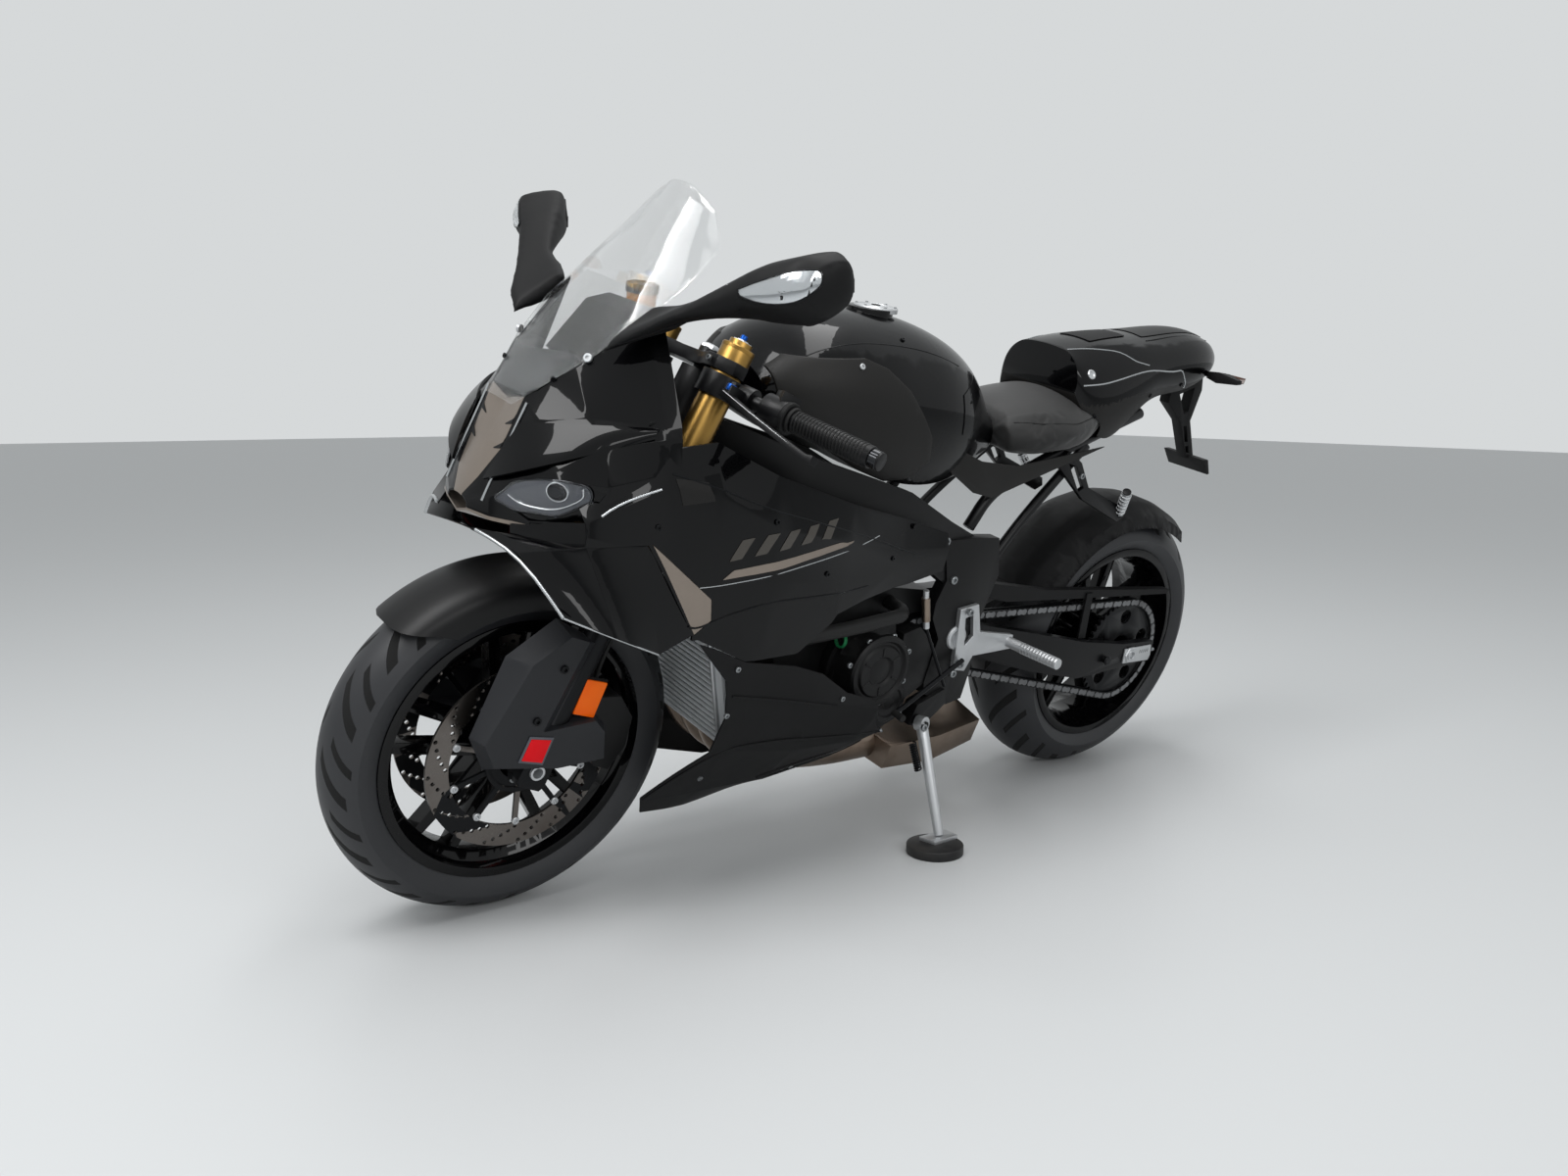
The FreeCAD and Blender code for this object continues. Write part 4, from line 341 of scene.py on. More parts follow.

# %% [markdown]
# Tyres. Sport tyres have a smooth shoulder and slender grooves that curve back from the middle. A point's
# angle round the hub and its distance across the tread say where it lies, and a groove is painted near-black
# as painted shade inside it, made dull and lowered where a sloped count of those two falls in a narrow
# band. Two families of grooves make the pattern, and it stops at the tread's shoulder.

# %% Tyre rubber with tread grooves
def tyre_rubber(name, hub_place, half_width, shoulder, families):
    """Tyre rubber. A family is its count round the tyre, slope, start, end, width and offset."""
    material = finish(name, "#222326", 0.50, 4, 0.02, wander=0.04, dust="#2d2e31", dust_share=0.3,
                      specular=0.5)
    place = add_node(material, "ShaderNodeTexCoord")
    local = add_node(material, "ShaderNodeMapping", {
        "vector_type": "TEXTURE", "Location": hub_place, "Rotation": (-LEAN, 0, 0)},
        {"Vector": place.outputs["Object"]})
    parts = add_node(material, "ShaderNodeSeparateXYZ", {}, {"Vector": local.outputs["Vector"]})
    angle = add_node(material, "ShaderNodeMath", {"operation": "ARCTAN2"},
                     {0: parts.outputs["Z"], 1: parts.outputs["X"]})
    across = add_node(material, "ShaderNodeMath", {"operation": "ABSOLUTE"}, {0: parts.outputs["Y"]})
    share = add_node(material, "ShaderNodeMath", {"operation": "DIVIDE", 1: half_width},
                     {0: across.outputs["Value"]})
    left = add_node(material, "ShaderNodeMath", {"operation": "GREATER_THAN", 1: 0.0},
                    {0: parts.outputs["Y"]})
    bend = add_node(material, "ShaderNodeMath", {"operation": "POWER", 1: 0.7}, {0: share.outputs["Value"]})
    flat = add_node(material, "ShaderNodeVectorMath", {"operation": "MULTIPLY", 1: (1, 0, 1)},
                    {0: local.outputs["Vector"]})
    radius = add_node(material, "ShaderNodeVectorMath", {"operation": "LENGTH"}, {0: flat.outputs["Vector"]})
    on_tread = add_node(material, "ShaderNodeMapRange", {
        "From Min": shoulder - 0.002, "From Max": shoulder + 0.002, "To Min": 0.0, "To Max": 1.0},
        {"Value": radius.outputs["Value"]})
    marks = []
    for count, slope, start, end, width, offset in families:
        turns = add_node(material, "ShaderNodeMath", {"operation": "MULTIPLY", 1: count / (2 * math.pi)},
                         {0: angle.outputs["Value"]})
        slanted = add_node(material, "ShaderNodeMath", {"operation": "MULTIPLY_ADD", 1: slope},
                           {0: bend.outputs["Value"], 2: turns.outputs["Value"]})
        sided = add_node(material, "ShaderNodeMath", {"operation": "MULTIPLY_ADD", 1: 0.5},
                         {0: left.outputs["Value"], 2: slanted.outputs["Value"]})
        moved_on = add_node(material, "ShaderNodeMath", {"operation": "ADD", 1: offset},
                            {0: sided.outputs["Value"]})
        wave = add_node(material, "ShaderNodeMath", {"operation": "PINGPONG", 1: 0.5},
                        {0: moved_on.outputs["Value"]})
        band = add_node(material, "ShaderNodeMapRange", {
            "interpolation_type": "SMOOTHSTEP", "From Min": width, "From Max": width * 1.25, "To Min": 1.0,
            "To Max": 0.0}, {"Value": wave.outputs["Value"]})
        reach = add_node(material, "ShaderNodeMath", {
            "operation": "COMPARE", 1: (start + end) / 2, 2: (end - start) / 2},
            {0: share.outputs["Value"]})
        marks.append(add_node(material, "ShaderNodeMath", {"operation": "MULTIPLY"}, {
            0: band.outputs["Result"], 1: reach.outputs["Value"]}))
    groove = marks[0]
    for mark in marks[1:]:
        groove = add_node(material, "ShaderNodeMath", {"operation": "MAXIMUM"}, {
            0: groove.outputs["Value"], 1: mark.outputs["Value"]})
    groove = add_node(material, "ShaderNodeMath", {"operation": "MULTIPLY"}, {
        0: groove.outputs["Value"], 1: on_tread.outputs["Result"]})
    links = material.node_tree.links
    shader = shader_of(material)
    old_colour = shader.inputs["Base Color"].links[0].from_socket
    old_normal = shader.inputs["Normal"].links[0].from_socket
    # The groove is painted near-black: painted shade inside the groove, over the tyre's own rubber colour.
    colour = add_node(material, "ShaderNodeMix", {"data_type": "RGBA"}, {0: groove.outputs["Value"]})
    links.new(old_colour, colour.inputs[6])
    colour.inputs[7].default_value = linear("#010101")
    groove_gloss = add_node(material, "ShaderNodeMath", {"operation": "MULTIPLY_ADD", 1: 0.45, 2: 0.5},
                            {0: groove.outputs["Value"]})
    links.new(groove_gloss.outputs["Value"], shader.inputs["Roughness"])
    depth = add_node(material, "ShaderNodeBump", {"Strength": 1.0, "Distance": 0.006, "invert": True},
                     {"Height": groove.outputs["Value"], "Normal": old_normal})
    links.new(colour.outputs[2], shader.inputs["Base Color"])
    links.new(depth.outputs["Normal"], shader.inputs["Normal"])
    return material


front_tyre_rubber = tyre_rubber("front tyre rubber", ON_FRONT_WHEEL.translation, 0.060, 0.262,
                                [(15, 0.95, 0.12, 0.84, 0.085, 0.0), (15, 0.95, 0.42, 0.92, 0.060, 0.5)])
rear_tyre_rubber = tyre_rubber("rear tyre rubber", ON_REAR_WHEEL.translation, 0.095, 0.254,
                               [(13, -1.0, 0.10, 0.80, 0.075, 0.0), (13, -1.0, 0.40, 0.90, 0.055, 0.5)])
print("tyre rubbers ready")

# %% [markdown]
# Clear and coloured plastics. The screen is polycarbonate a few millimetres thick and almost colourless;
# the lamp covers are the same, over a grey housing. The fluid cup is amber because of the fluid in it.
# A very slight waviness keeps each from looking like a flat pane.

# %% See-through finishes
def clear_plastic(name, colour, roughness, see_through, transmission):
    """Clear plastic. A share of the light goes straight on, and the rest is bent or mirrored."""
    material = finish(name, colour, roughness, 30, 0.02, wander=0.01, dust="#d8dde0", dust_share=0.0,
                      specular=0.5)
    shader = shader_of(material)
    shader.inputs["IOR"].default_value = 1.45
    shader.inputs["Transmission Weight"].default_value = transmission
    shader.inputs["Alpha"].default_value = 1.0 - see_through
    return material


screen_clear = clear_plastic("clear polycarbonate", "#f2f5f6", 0.03, 0.74, 1.0)
lens_clear = clear_plastic("clear lamp cover", "#e4e8ea", 0.04, 0.72, 1.0)
amber_plastic = clear_plastic("amber fluid cup", "#c07d16", 0.15, 0.0, 0.35)
amber_lens = finish("orange reflector", "#f25e00", 0.30, 3.0, 0.03, coat=0.2, wander=0.03, dust="#ff8a10",
                    dust_share=0.3, specular=0.1)
smoked_lens = finish("smoked indicator lens", "#3a1a06", 0.25, 4, 0.01, coat=0.4, wander=0.03, dust="#5a2a08")
red_lens = finish("red reflector patch", "#de0a18", 0.36, 3.0, 0.02, coat=0.1, wander=0.03, dust="#ff3a30",
                  dust_share=0.2, specular=0.1)
lamp_chrome = finish("vapour-deposited reflector", "#d8dadc", 0.12, 6.0, 0.02, metallic=1.0, wander=0.04)
mirror_glass = finish("mirror glass", "#d5d9dc", 0.03, 40.0, 0.004, metallic=1.0, wander=0.01)
print("clear plastics ready")

# %% [markdown]
# The seat's cover is a knitted-look vinyl with small grain, and the dark panel under the screen has a
# pattern of tiny squares, about 2.5 mm apart, printed to look like woven fibre.

# %% Seat vinyl and woven-look panel
seat_vinyl = finish("grained seat vinyl", "#0e0e0e", 0.56, 2.4, 0.05, wander=0.05, dust="#2e2d2c",
                    dust_share=0.12)
shader_of(seat_vinyl).inputs["Sheen Weight"].default_value = 0.25
shader_of(seat_vinyl).inputs["Sheen Roughness"].default_value = 0.5

woven_black = finish("woven-look black panel", "#121315", 0.34, 2.0, 0.02, coat=0.4, wander=0.04)
weave_place = add_node(woven_black, "ShaderNodeTexCoord")
weave = add_node(woven_black, "ShaderNodeTexChecker", {
    "Scale": 1000 / 5.0, "Color1": linear("#1d1f22"), "Color2": linear("#0b0c0d")},
    {"Vector": weave_place.outputs["Object"]})
woven_black.node_tree.links.new(weave.outputs["Color"], shader_of(woven_black).inputs["Base Color"])
print(len(bpy.data.materials), "materials so far")

# %% [markdown]
# ## Dressing the solids
#
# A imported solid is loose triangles, so its round faces show flat facets. Each is copied, its triangles are
# welded, and the copy is shaded smooth with hard edges kept. Flat faces are dissolved first, so that the
# edges left are the real ones, and those get a small bevel: a rounded edge catches a thin line of light,
# which is what makes a panel look moulded. The copy rides on the same body and stands for its solid.

# %% Welded copies of a solid
def welded(node):
    """The solid's separate bodies, each a welded copy with its flat faces made whole."""
    source = frame["nodes"][node]
    new_piece(node + "_dressed", source.data.copy())
    bpy.ops.object.mode_set(mode="EDIT")
    bpy.ops.mesh.select_all(action="SELECT")
    bpy.ops.mesh.remove_doubles(threshold=0.00002)
    bpy.ops.mesh.dissolve_limited(angle_limit=math.radians(0.6))
    bpy.ops.mesh.separate(type="LOOSE")
    bpy.ops.object.mode_set(mode="OBJECT")
    pieces = [piece for piece in bpy.context.selected_objects if piece.type == "MESH"]
    return sorted(pieces, key=lambda piece: -len(piece.data.polygons))


def upright_middle(piece):
    """The middle of a piece's box, in upright millimetres."""
    points = [back_up @ vertex.co for vertex in piece.data.vertices]
    return Vector([(min(p[i] for p in points) + max(p[i] for p in points)) / 2 for i in range(3)])


def dress(node, piece, name, paint, degrees=32, edge_mm=0.8):
    """Gives one welded body its name, edge, finish and ride."""
    piece.name = name
    piece.data.name = name
    if edge_mm:
        soften(piece, edge_mm / 1000)
        apply_all(piece)
    piece.data.materials.clear()
    piece.data.materials.append(paint)
    shade(piece, degrees)
    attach(piece, BODY_OF[node])
    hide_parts(node)
    return piece


# %% [markdown]
# Two solids are shaped a little first. The plate holder narrows below the tail to a slim tongue, and the
# instrument panel ends lower, so that the fluid cup shows above it.

# %% A slimmer plate holder and a lower instrument panel
def moved_points(piece, move):
    """Moves each point of a piece, where move changes it in upright millimetres."""
    for vertex in piece.data.vertices:
        upright = back_up @ vertex.co
        if move(upright):
            vertex.co = STANDING @ upright


def narrow_holder(point, below=800, kept=16, share=0.42):
    """Below a level, what reaches past the kept middle is drawn in to a share of its reach."""
    if point.z < below:
        middle = max(min(point.y, kept), -kept)
        point.y = middle + (point.y - middle) * share
    return point.z < below


def lower_panel(point, above=915, ahead=548, share=0.72):
    """Above a level, the panel's height is drawn down to a share of itself."""
    lowered = point.z > above and point.x > ahead
    if lowered:
        point.z = above + (point.z - above) * share
    return lowered


SHAPED = {"plate_bracket": narrow_holder, "instrument_panel": lower_panel}
print(len(SHAPED), "solids will be shaped")

# %% Solids of one finish. Columns: finish, smoothing angle, edge in millimetres
PLAIN = {
    "belly_pan": (matt_black, 24, 1.2),
    "drive_chain": (chain_steel, 30, 0),
    "engine_block": (cast_black, 24, 1.5),
    "fork_clamps": (powder_black, 30, 1.2),
    "fork_guards": (guard_grey, 18, 1.0),
    "fork_tubes": (gold_anodised, 30, 0.5),
    "front_axle": (bright_alloy, 30, 0.6),
    "front_rim": (rim_black, 30, 1.0),
    "fuel_tank": (gloss_black, 50, 0.8),
    "handlebars": (powder_black, 35, 0.8),
    "instrument_panel": (matt_black, 30, 1.0),
    "main_frame": (satin_black, 28, 1.5),
    "nose_cowl": (gloss_black, 16, 1.0),
    "plate_bracket": (matt_black, 30, 0.8),
    "rear_axle": (bright_alloy, 30, 0.6),
    "rear_caliper": (cast_black, 25, 1.0),
    "rear_rim": (rim_black, 30, 1.0),
    "rear_sprocket": (dark_steel, 30, 0.4),
    "side_fairing_left": (gloss_black, 14, 1.0),
    "side_fairing_right": (gloss_black, 14, 1.0),
    "side_stand_leg": (bright_alloy, 35, 0.8),
    "stand_puck": (puck_rubber, 40, 2.0),
    "subframe": (powder_black, 35, 0.6),
    "swingarm": (powder_black, 25, 1.5),
    "swingarm_guards": (matt_black, 26, 0),
    "tank_covers": (soft_grey_black, 40, 0.8),
    "winglets": (gloss_black, 20, 0.8),
}
SKIN = {}
for node, (paint, degrees, edge_mm) in PLAIN.items():
    bodies = welded(node)
    for count, piece in enumerate(bodies):
        if node in SHAPED:
            moved_points(piece, SHAPED[node])
        dress(node, piece, node + "_body_%d" % (count + 1), paint, degrees, edge_mm)
    SKIN[node] = bodies
print(len(PLAIN), "solids dressed in one finish")

# %% [markdown]
# Some solids hold bodies of more than one finish: the bare cylinder head beside black covers and a hose, a
# red and a black caliper, a silver footrest beside black brackets. Each body's place says which it is.

# %% Solids of several finishes
def side_name(middle):
    """The rider's side that a middle lies on."""
    return "left" if middle.y > 0 else "right"


def hose_or_cover(middle):
    """The coolant hose runs ahead of the covers, between their levels."""
    return hose_rubber if 430 < middle.z < 520 and middle.x > 200 else cast_black


MIXED = {
    "accent_panels": (lambda middle: bronze_taupe, 20, 1.0),
    "engine_covers": (lambda middle: cast_silver if middle.z > 540 else hose_or_cover(middle), 28, 1.2),
    "exhaust": (lambda middle: heat_bronze, 30, 1.0),
    "footrests": (lambda middle: bright_alloy if middle.z < 500 else powder_black, 30, 0.8),
    "fork_sliders": (lambda middle: hose_rubber if middle.x < 600 else dark_steel, 35, 0.6),
    "front_calipers": (lambda middle: cast_black if middle.y > 0 else caliper_red, 28, 1.5),
    "hand_controls": (lambda middle: amber_plastic if middle.z > 960 else powder_black, 30, 0.6),
    "headlamps": (lambda middle: gloss_black, 30, 0.8),
    "radiator": (lambda middle: fins_painted_lit, 30, 0.4),
}
DRESSED = {}
for node, (paint_for, degrees, edge_mm) in MIXED.items():
    for count, piece in enumerate(welded(node)):
        middle = upright_middle(piece)
        piece_name = "%s_%s_%d" % (node, side_name(middle), count + 1)
        DRESSED[piece_name] = dress(node, piece, piece_name, paint_for(middle), degrees, edge_mm)
print(len(DRESSED), "bodies dressed by their place")

# %% [markdown]
# The tail is one moulding with two finishes: clear-coated black on top and matt grained plastic below the
# line where the real one has its side panels. The windscreen is clear, so its copy keeps both of its
# walls, and light passes through them.

# %% Tail in two finishes, and the screen
tail = dress("tail_cowl", welded("tail_cowl")[0], "tail_cowl_dressed", gloss_black, 35, 0.8)
tail.data.materials.append(soft_grey_black)
for face in tail.data.polygons:
    place = back_up @ face.center
    edge = 973 - abs(place.y) * 0.55 - max(0, place.x + 560) * 0.16
    face.material_index = 1 if place.z < edge else 0
screen = dress("windscreen", welded("windscreen")[0], "windscreen_dressed", screen_clear, 40, 0.4)
print("tail faces below the line", sum(face.material_index for face in tail.data.polygons))

# %% [markdown]
# ## Drilled brake discs
#
# A disc is drilled through to shed water and heat. The welded disc loses its holes by a boolean with one
# object made of all the drills: 16 slanting rows of five for a front disc, 18 of three for the rear one.

# %% Drills for one disc
def drills(groups, row_radii, slant, hole_radius, place, side_place):
    """One object with a short cylinder for each hole, across the disc's plane."""
    made = []
    for group in range(groups):
        for row, row_radius in enumerate(row_radii):
            turn = 2 * math.pi * group / groups + slant * row
            spot_now = Vector((row_radius * math.cos(turn), side_place, row_radius * math.sin(turn)))
            bpy.ops.mesh.primitive_cylinder_add(vertices=10, radius=hole_radius, depth=30, location=spot_now,
                                                rotation=(math.pi / 2, 0, 0))
            made.append(bpy.context.object)
    choose(*made)
    bpy.ops.object.join()
    joined = bpy.context.object
    joined.data.transform(place @ joined.matrix_basis)
    joined.matrix_basis = Matrix.Identity(4)
    return joined


def drill(piece, drill_set):
    """Cuts the drills out of a disc, and clears them away."""
    cut = piece.modifiers.new("drilled", "BOOLEAN")
    cut.operation = "DIFFERENCE"
    cut.solver = "EXACT"
    cut.object = drill_set
    apply_all(piece)
    bpy.data.objects.remove(drill_set)


def blacken_carrier(piece, hub, band_inside):
    """The disc's carrier is anodised black: all faces nearer the hub than the braking band."""
    piece.data.materials.append(dark_steel)
    for face in piece.data.polygons:
        place = back_up @ face.center
        radius = math.hypot(place.x - hub.x, place.z - hub.z)
        face.material_index = 1 if radius < band_inside else 0


for piece in welded("front_discs"):
    side = side_name(upright_middle(piece))
    drill(piece, drills(16, (127, 134, 141, 148, 155), 0.085, 3.6, ON_FRONT_WHEEL,
                        65 if side == "left" else -65))
    dress("front_discs", piece, "front_disc_" + side, front_disc_steel, 30, 0)
    blacken_carrier(piece, FRONT_HUB, 121)
for piece in welded("rear_disc"):
    drill(piece, drills(18, (84, 93, 102), 0.11, 3.4, ON_REAR_WHEEL, -92))
    dress("rear_disc", piece, "rear_disc_dressed", rear_disc_steel, 30, 0)
    blacken_carrier(piece, REAR_HUB, 77)
print("discs drilled")

# %% [markdown]
# ## Mirrors
#
# A mirror's shell is all rounded, with one parting seam. Its solid has the right form in flat facets, so
# a copy is remeshed at 4 mm and relaxed, which rounds every corner as a moulding has them. Relaxing also
# thins the head, so that its surface is then drawn out again, more and more from the stalk outward. The
# right head's top grows by a millimetre only, because the solids' box ends there.

# %% Rounded mirror shells
HEAD_START, HEAD_BLEND, HEAD_TIP = 250, 90, 415
HEAD_DEPTH, HEAD_SPREAD, HEAD_RISE = 9, 3, 13
for piece in welded("mirrors"):
    side = side_name(upright_middle(piece))
    remesh = piece.modifiers.new("even", "REMESH")
    remesh.mode = "VOXEL"
    remesh.voxel_size = 0.004
    relax = piece.modifiers.new("relax", "SMOOTH")
    relax.factor = 0.5
    relax.iterations = 60
    apply_all(piece)
    away = [(back_up.to_3x3() @ vertex.normal).normalized() for vertex in piece.data.vertices]
    for vertex, way in zip(piece.data.vertices, away):
        upright = back_up @ vertex.co
        share = min(max((abs(upright.y) - HEAD_START) / HEAD_BLEND, 0.0), 1.0)
        rise = 1 if side == "right" and way.z > 0 else HEAD_RISE
        spread = HEAD_SPREAD if abs(upright.y) < HEAD_TIP else 0
        upright += Vector((way.x * HEAD_DEPTH, way.y * spread, way.z * rise)) * share
        vertex.co = STANDING @ upright
    dress("mirrors", piece, "mirror_shell_" + side, matt_black, 60, 0)
print("mirrors rounded")

# %% [markdown]
# ## Lines, bands and screws that follow the skin
#
# Trim and screws sit on the panels, so their places are worked out from the panels' own faces: a point is
# moved outward, dropped onto the nearest face, and lifted by a fraction of a millimetre.

# %% Points on a dressed panel
def on_skin(skins, x, y, z, lift=0.3, reach=14):
    """The place and the outward way of the skin nearest to a point, both upright, in millimetres.

    The point is first moved out from the machine, so that a panel's outer wall is the nearer one.
    """
    side_way = max(-1, min(1, y / 40))
    on_nose = x > 690
    on_tail_top = x < -390 and z > 940 and abs(y) < 90
    ahead = 0.8 if on_nose else 0.0
    above = 0.9 if on_tail_top else 0.0
    outer = Vector((x, y, z)) + Vector((ahead, side_way * (1 - above), above + ahead * 0.3)) * reach
    best = None
    for skin in skins:
        hit, place, way, _ = skin.closest_point_on_mesh(STANDING @ outer)
        if hit:
            upright = back_up @ place
            far = (upright - outer).length
            if best is None or far < best[0]:
                best = (far, upright, (back_up.to_3x3() @ way).normalized())
    return best[1] + best[2] * lift, best[2]


def drawn_line(points, radius, name, body, paint, closed=False, place=STANDING):
    """A slim bar with a round section along upright points."""
    curve = bpy.data.curves.new(name, "CURVE")
    curve.dimensions = "3D"
    curve.bevel_depth = radius
    curve.bevel_resolution = 2
    curve.use_fill_caps = True
    spline = curve.splines.new("POLY")
    spline.points.add(len(points) - 1)
    for curve_point, point in zip(spline.points, points):
        curve_point.co = (*point, 1)
    spline.use_cyclic_u = closed
    new_piece(name, curve)
    bpy.ops.object.convert(target="MESH")
    return settle(bpy.context.object, name, body, paint, place, 50)


def skin_line(points, radius, name, body, paint, skins, lift=0.2, between=4):
    """A slim bar that follows the skin between its points, smoothed three times."""
    along = []
    for first, last in zip(points, points[1:]):
        for step in range(between):
            share = step / between
            spot_now = Vector(first).lerp(Vector(last), share)
            along.append(on_skin(skins, *spot_now, lift)[0])
    along.append(on_skin(skins, *points[-1], lift)[0])
    for _ in range(3):
        along = along[:1] + [(before + 2 * here + after) / 4 for before, here, after in zip(
            along, along[1:], along[2:])] + along[-1:]
    return drawn_line(along, radius, name, body, paint)


def skin_band(upper, lower, name, body, paint, skins, steps=12, rows=4, lift=0.5, thick=0.6):
    """A thin film between two lines, laid on the skin."""
    def along(points, share):
        reach = share * (len(points) - 1)
        first = min(int(reach), len(points) - 2)
        return Vector(points[first]).lerp(Vector(points[first + 1]), reach - first)

    deselect()
    bpy.ops.mesh.primitive_grid_add(x_subdivisions=steps, y_subdivisions=rows, size=2)
    film = bpy.context.object
    for vertex in film.data.vertices:
        u, v = (vertex.co.x + 1) / 2, (vertex.co.y + 1) / 2
        spot_now = along(lower, u).lerp(along(upper, u), v)
        vertex.co = on_skin(skins, *spot_now, lift)[0]
    film.matrix_basis = Matrix.Identity(4)
    even = film.modifiers.new("even", "SMOOTH")
    even.factor = 0.5
    even.iterations = 2
    apply_all(film)
    face_outward(film)
    wall = film.modifiers.new("film", "SOLIDIFY")
    wall.thickness = thick
    wall.offset = 0
    return settle(film, name, body, paint, degrees=40)


# %% [markdown]
# A socket screw is modelled once: a low cylinder, its top inset and a round socket sunk in it, with a
# small chamfer round the rim. Every screw is a copy of it, turned to its panel's outward way.

# %% One socket screw, copied
deselect()
bpy.ops.mesh.primitive_cylinder_add(vertices=24, radius=1, depth=0.7, location=(0, 0, 0.2))
screw_model = bpy.context.object
bpy.ops.object.transform_apply(location=True)
bpy.ops.object.mode_set(mode="EDIT")
bpy.ops.mesh.select_mode(type="FACE")
bpy.ops.mesh.select_all(action="DESELECT")
bpy.ops.object.mode_set(mode="OBJECT")
for face in screw_model.data.polygons:
    face.select = face.normal.z > 0.9
bpy.ops.object.mode_set(mode="EDIT")
bpy.ops.mesh.inset(thickness=0.14)
bpy.ops.transform.translate(value=(0, 0, 0.12))
bpy.ops.mesh.inset(thickness=0.36)
bpy.ops.mesh.extrude_region_move(TRANSFORM_OT_translate={"value": (0, 0, -0.45)})
bpy.ops.object.mode_set(mode="OBJECT")


def screws(places, radius, name, body, paint, skins=None, lift=0.0):
    """Copies of the screw at upright places. With skins they sit on the nearest face."""
    made = []
    for place in places:
        spot_now = Vector(place[:3])
        way = Vector(place[3:6]) if len(place) > 3 else Vector((0, 1, 0))
        if skins:
            spot_now, way = on_skin(skins, *spot_now, lift)
        copy = new_piece(name, screw_model.data.copy())
        turned = turned_to(way).to_4x4()
        copy.data.transform(Matrix.Translation(spot_now) @ turned @ Matrix.Scale(radius, 4))
        made.append(copy)
    choose(*made)
    if len(made) > 1:
        bpy.ops.object.join()
    return settle(bpy.context.object, name, body, paint, degrees=30)


# %% [markdown]
# ## Fork guards and front wheel
#
# Each guard is held by two socket screws. The shoe carries a red patch with a grey rim, and an orange
# reflector stands behind the guard on its own bracket. The patch and the reflector are moulded lenses, so
# they get a rounded edge.

# %% Plates from an outline
def plate(points, way, name, body, paint, edge=0.8):
    """A plate made from its outline, extruded along a vector and rounded at its edges."""
    mesh = bpy.data.meshes.new(name)
    mesh.from_pydata([Vector(point) for point in points], [], [list(range(len(points)))])
    slab = new_piece(name, mesh)
    bpy.ops.object.mode_set(mode="EDIT")
    bpy.ops.mesh.select_all(action="SELECT")
    bpy.ops.mesh.extrude_region_move(TRANSFORM_OT_translate={"value": way})
    bpy.ops.object.mode_set(mode="OBJECT")
    face_outward(slab)
    soften(slab, edge)
    return settle(slab, name, body, paint)


def grown(points, share):
    """The same outline, larger or smaller about its middle."""
    middle = sum((Vector(p) for p in points), Vector()) / len(points)
    return [middle + (Vector(p) - middle) * share for p in points]


# %% Screws, red patch and reflector
for sign, side in SIDES:
    screws([(703, 134.2 * sign, 480, 0, sign, 0), (742, 134.2 * sign, 398, 0, sign, 0)], 6.5,
           "guard_screws_" + side, "steering", dark_steel)
    patch = [(769, 134 * sign, 332), (752, 134 * sign, 374), (710, 134 * sign, 365), (726, 134 * sign, 320)]
    plate(patch, (0, 2.2 * sign, 0), "guard_patch_rim_" + side, "steering", lamp_inside, 0.7)
    plate(grown([(x, y + 1.8 * sign, z) for x, y, z in patch], 0.82), (0, 1.6 * sign, 0),
          "guard_patch_" + side, "steering", red_lens, 0.5)
    lens = [(655, 121 * sign, 452), (617, 121 * sign, 440), (637, 121 * sign, 382), (675, 121 * sign, 395)]
    plate(lens, (0, 5 * sign, 0), "side_reflector_" + side, "steering", amber_lens, 1.5)
    plate(grown([(x, y - 4 * sign, z) for x, y, z in lens], 1.12), (0, 4 * sign, 0),
          "reflector_holder_" + side, "steering", matt_black, 0.8)
    drawn_line([(640, 112 * sign, 402), (668, 100 * sign, 380), (690, 96 * sign, 378)], 4,
               "reflector_stay_" + side, "steering", dark_steel)
print("guards trimmed")

# %% [markdown]
# Bright bobbins join each disc's band to its carrier, and a toothed ring beside the left disc lets a
# sensor count the wheel's turns. The ring has 48 teeth: every other one of its 96 segments is lower.

# %% Bobbins and the sensor ring
def ring_of(count, radius, side_place, size, name, body, paint, hub_place, way, offset=0.0):
    """Screws in a circle about a hub. The offset is a share of the way from one to the next."""
    places = []
    for number in range(count):
        turn = 2 * math.pi * (number + offset) / count
        places.append((hub_place.x + radius * math.cos(turn), side_place,
                       hub_place.z + radius * math.sin(turn), 0, way, 0))
    return screws(places, size, name, body, paint)


for sign, side in SIDES:
    ring_of(10, 117, 66.4 * sign, 6.5, "bobbins_" + side, "front_wheel", bright_alloy, FRONT_HUB, sign, 0.5)
    ring_of(5, 40, 68.6 * sign, 5, "disc_screws_" + side, "front_wheel", zinc_steel, FRONT_HUB, sign)
ring_of(8, 74, -94.6, 6, "rear_bobbins", "rear_wheel", bright_alloy, REAR_HUB, -1, 0.5)

deselect()
bpy.ops.mesh.primitive_torus_add(major_segments=96, minor_segments=6, major_radius=58, minor_radius=4,
                                 rotation=(math.pi / 2, 0, 0), location=(0, 70, 0))
sensor_ring = bpy.context.object
for vertex in sensor_ring.data.vertices:
    turn = math.atan2(vertex.co.y, vertex.co.x)
    vertex.co.z *= 0.35
    if round(turn * 48 / math.pi) % 2:
        vertex.co.z *= 0.4
settle(sensor_ring, "sensor_ring", "front_wheel", dark_steel, ON_FRONT_WHEEL)
print("front wheel trimmed")

# %% [markdown]
# ## Nose
#
# The nose's eye-catchers are thin bright edges: a line that runs from the chin along each winglet's front
# edge, a strip beside the taupe panel, and the edge of the scoop behind each lamp. They are narrow trims
# let into the panels, so each is a slim bar that follows the skin.

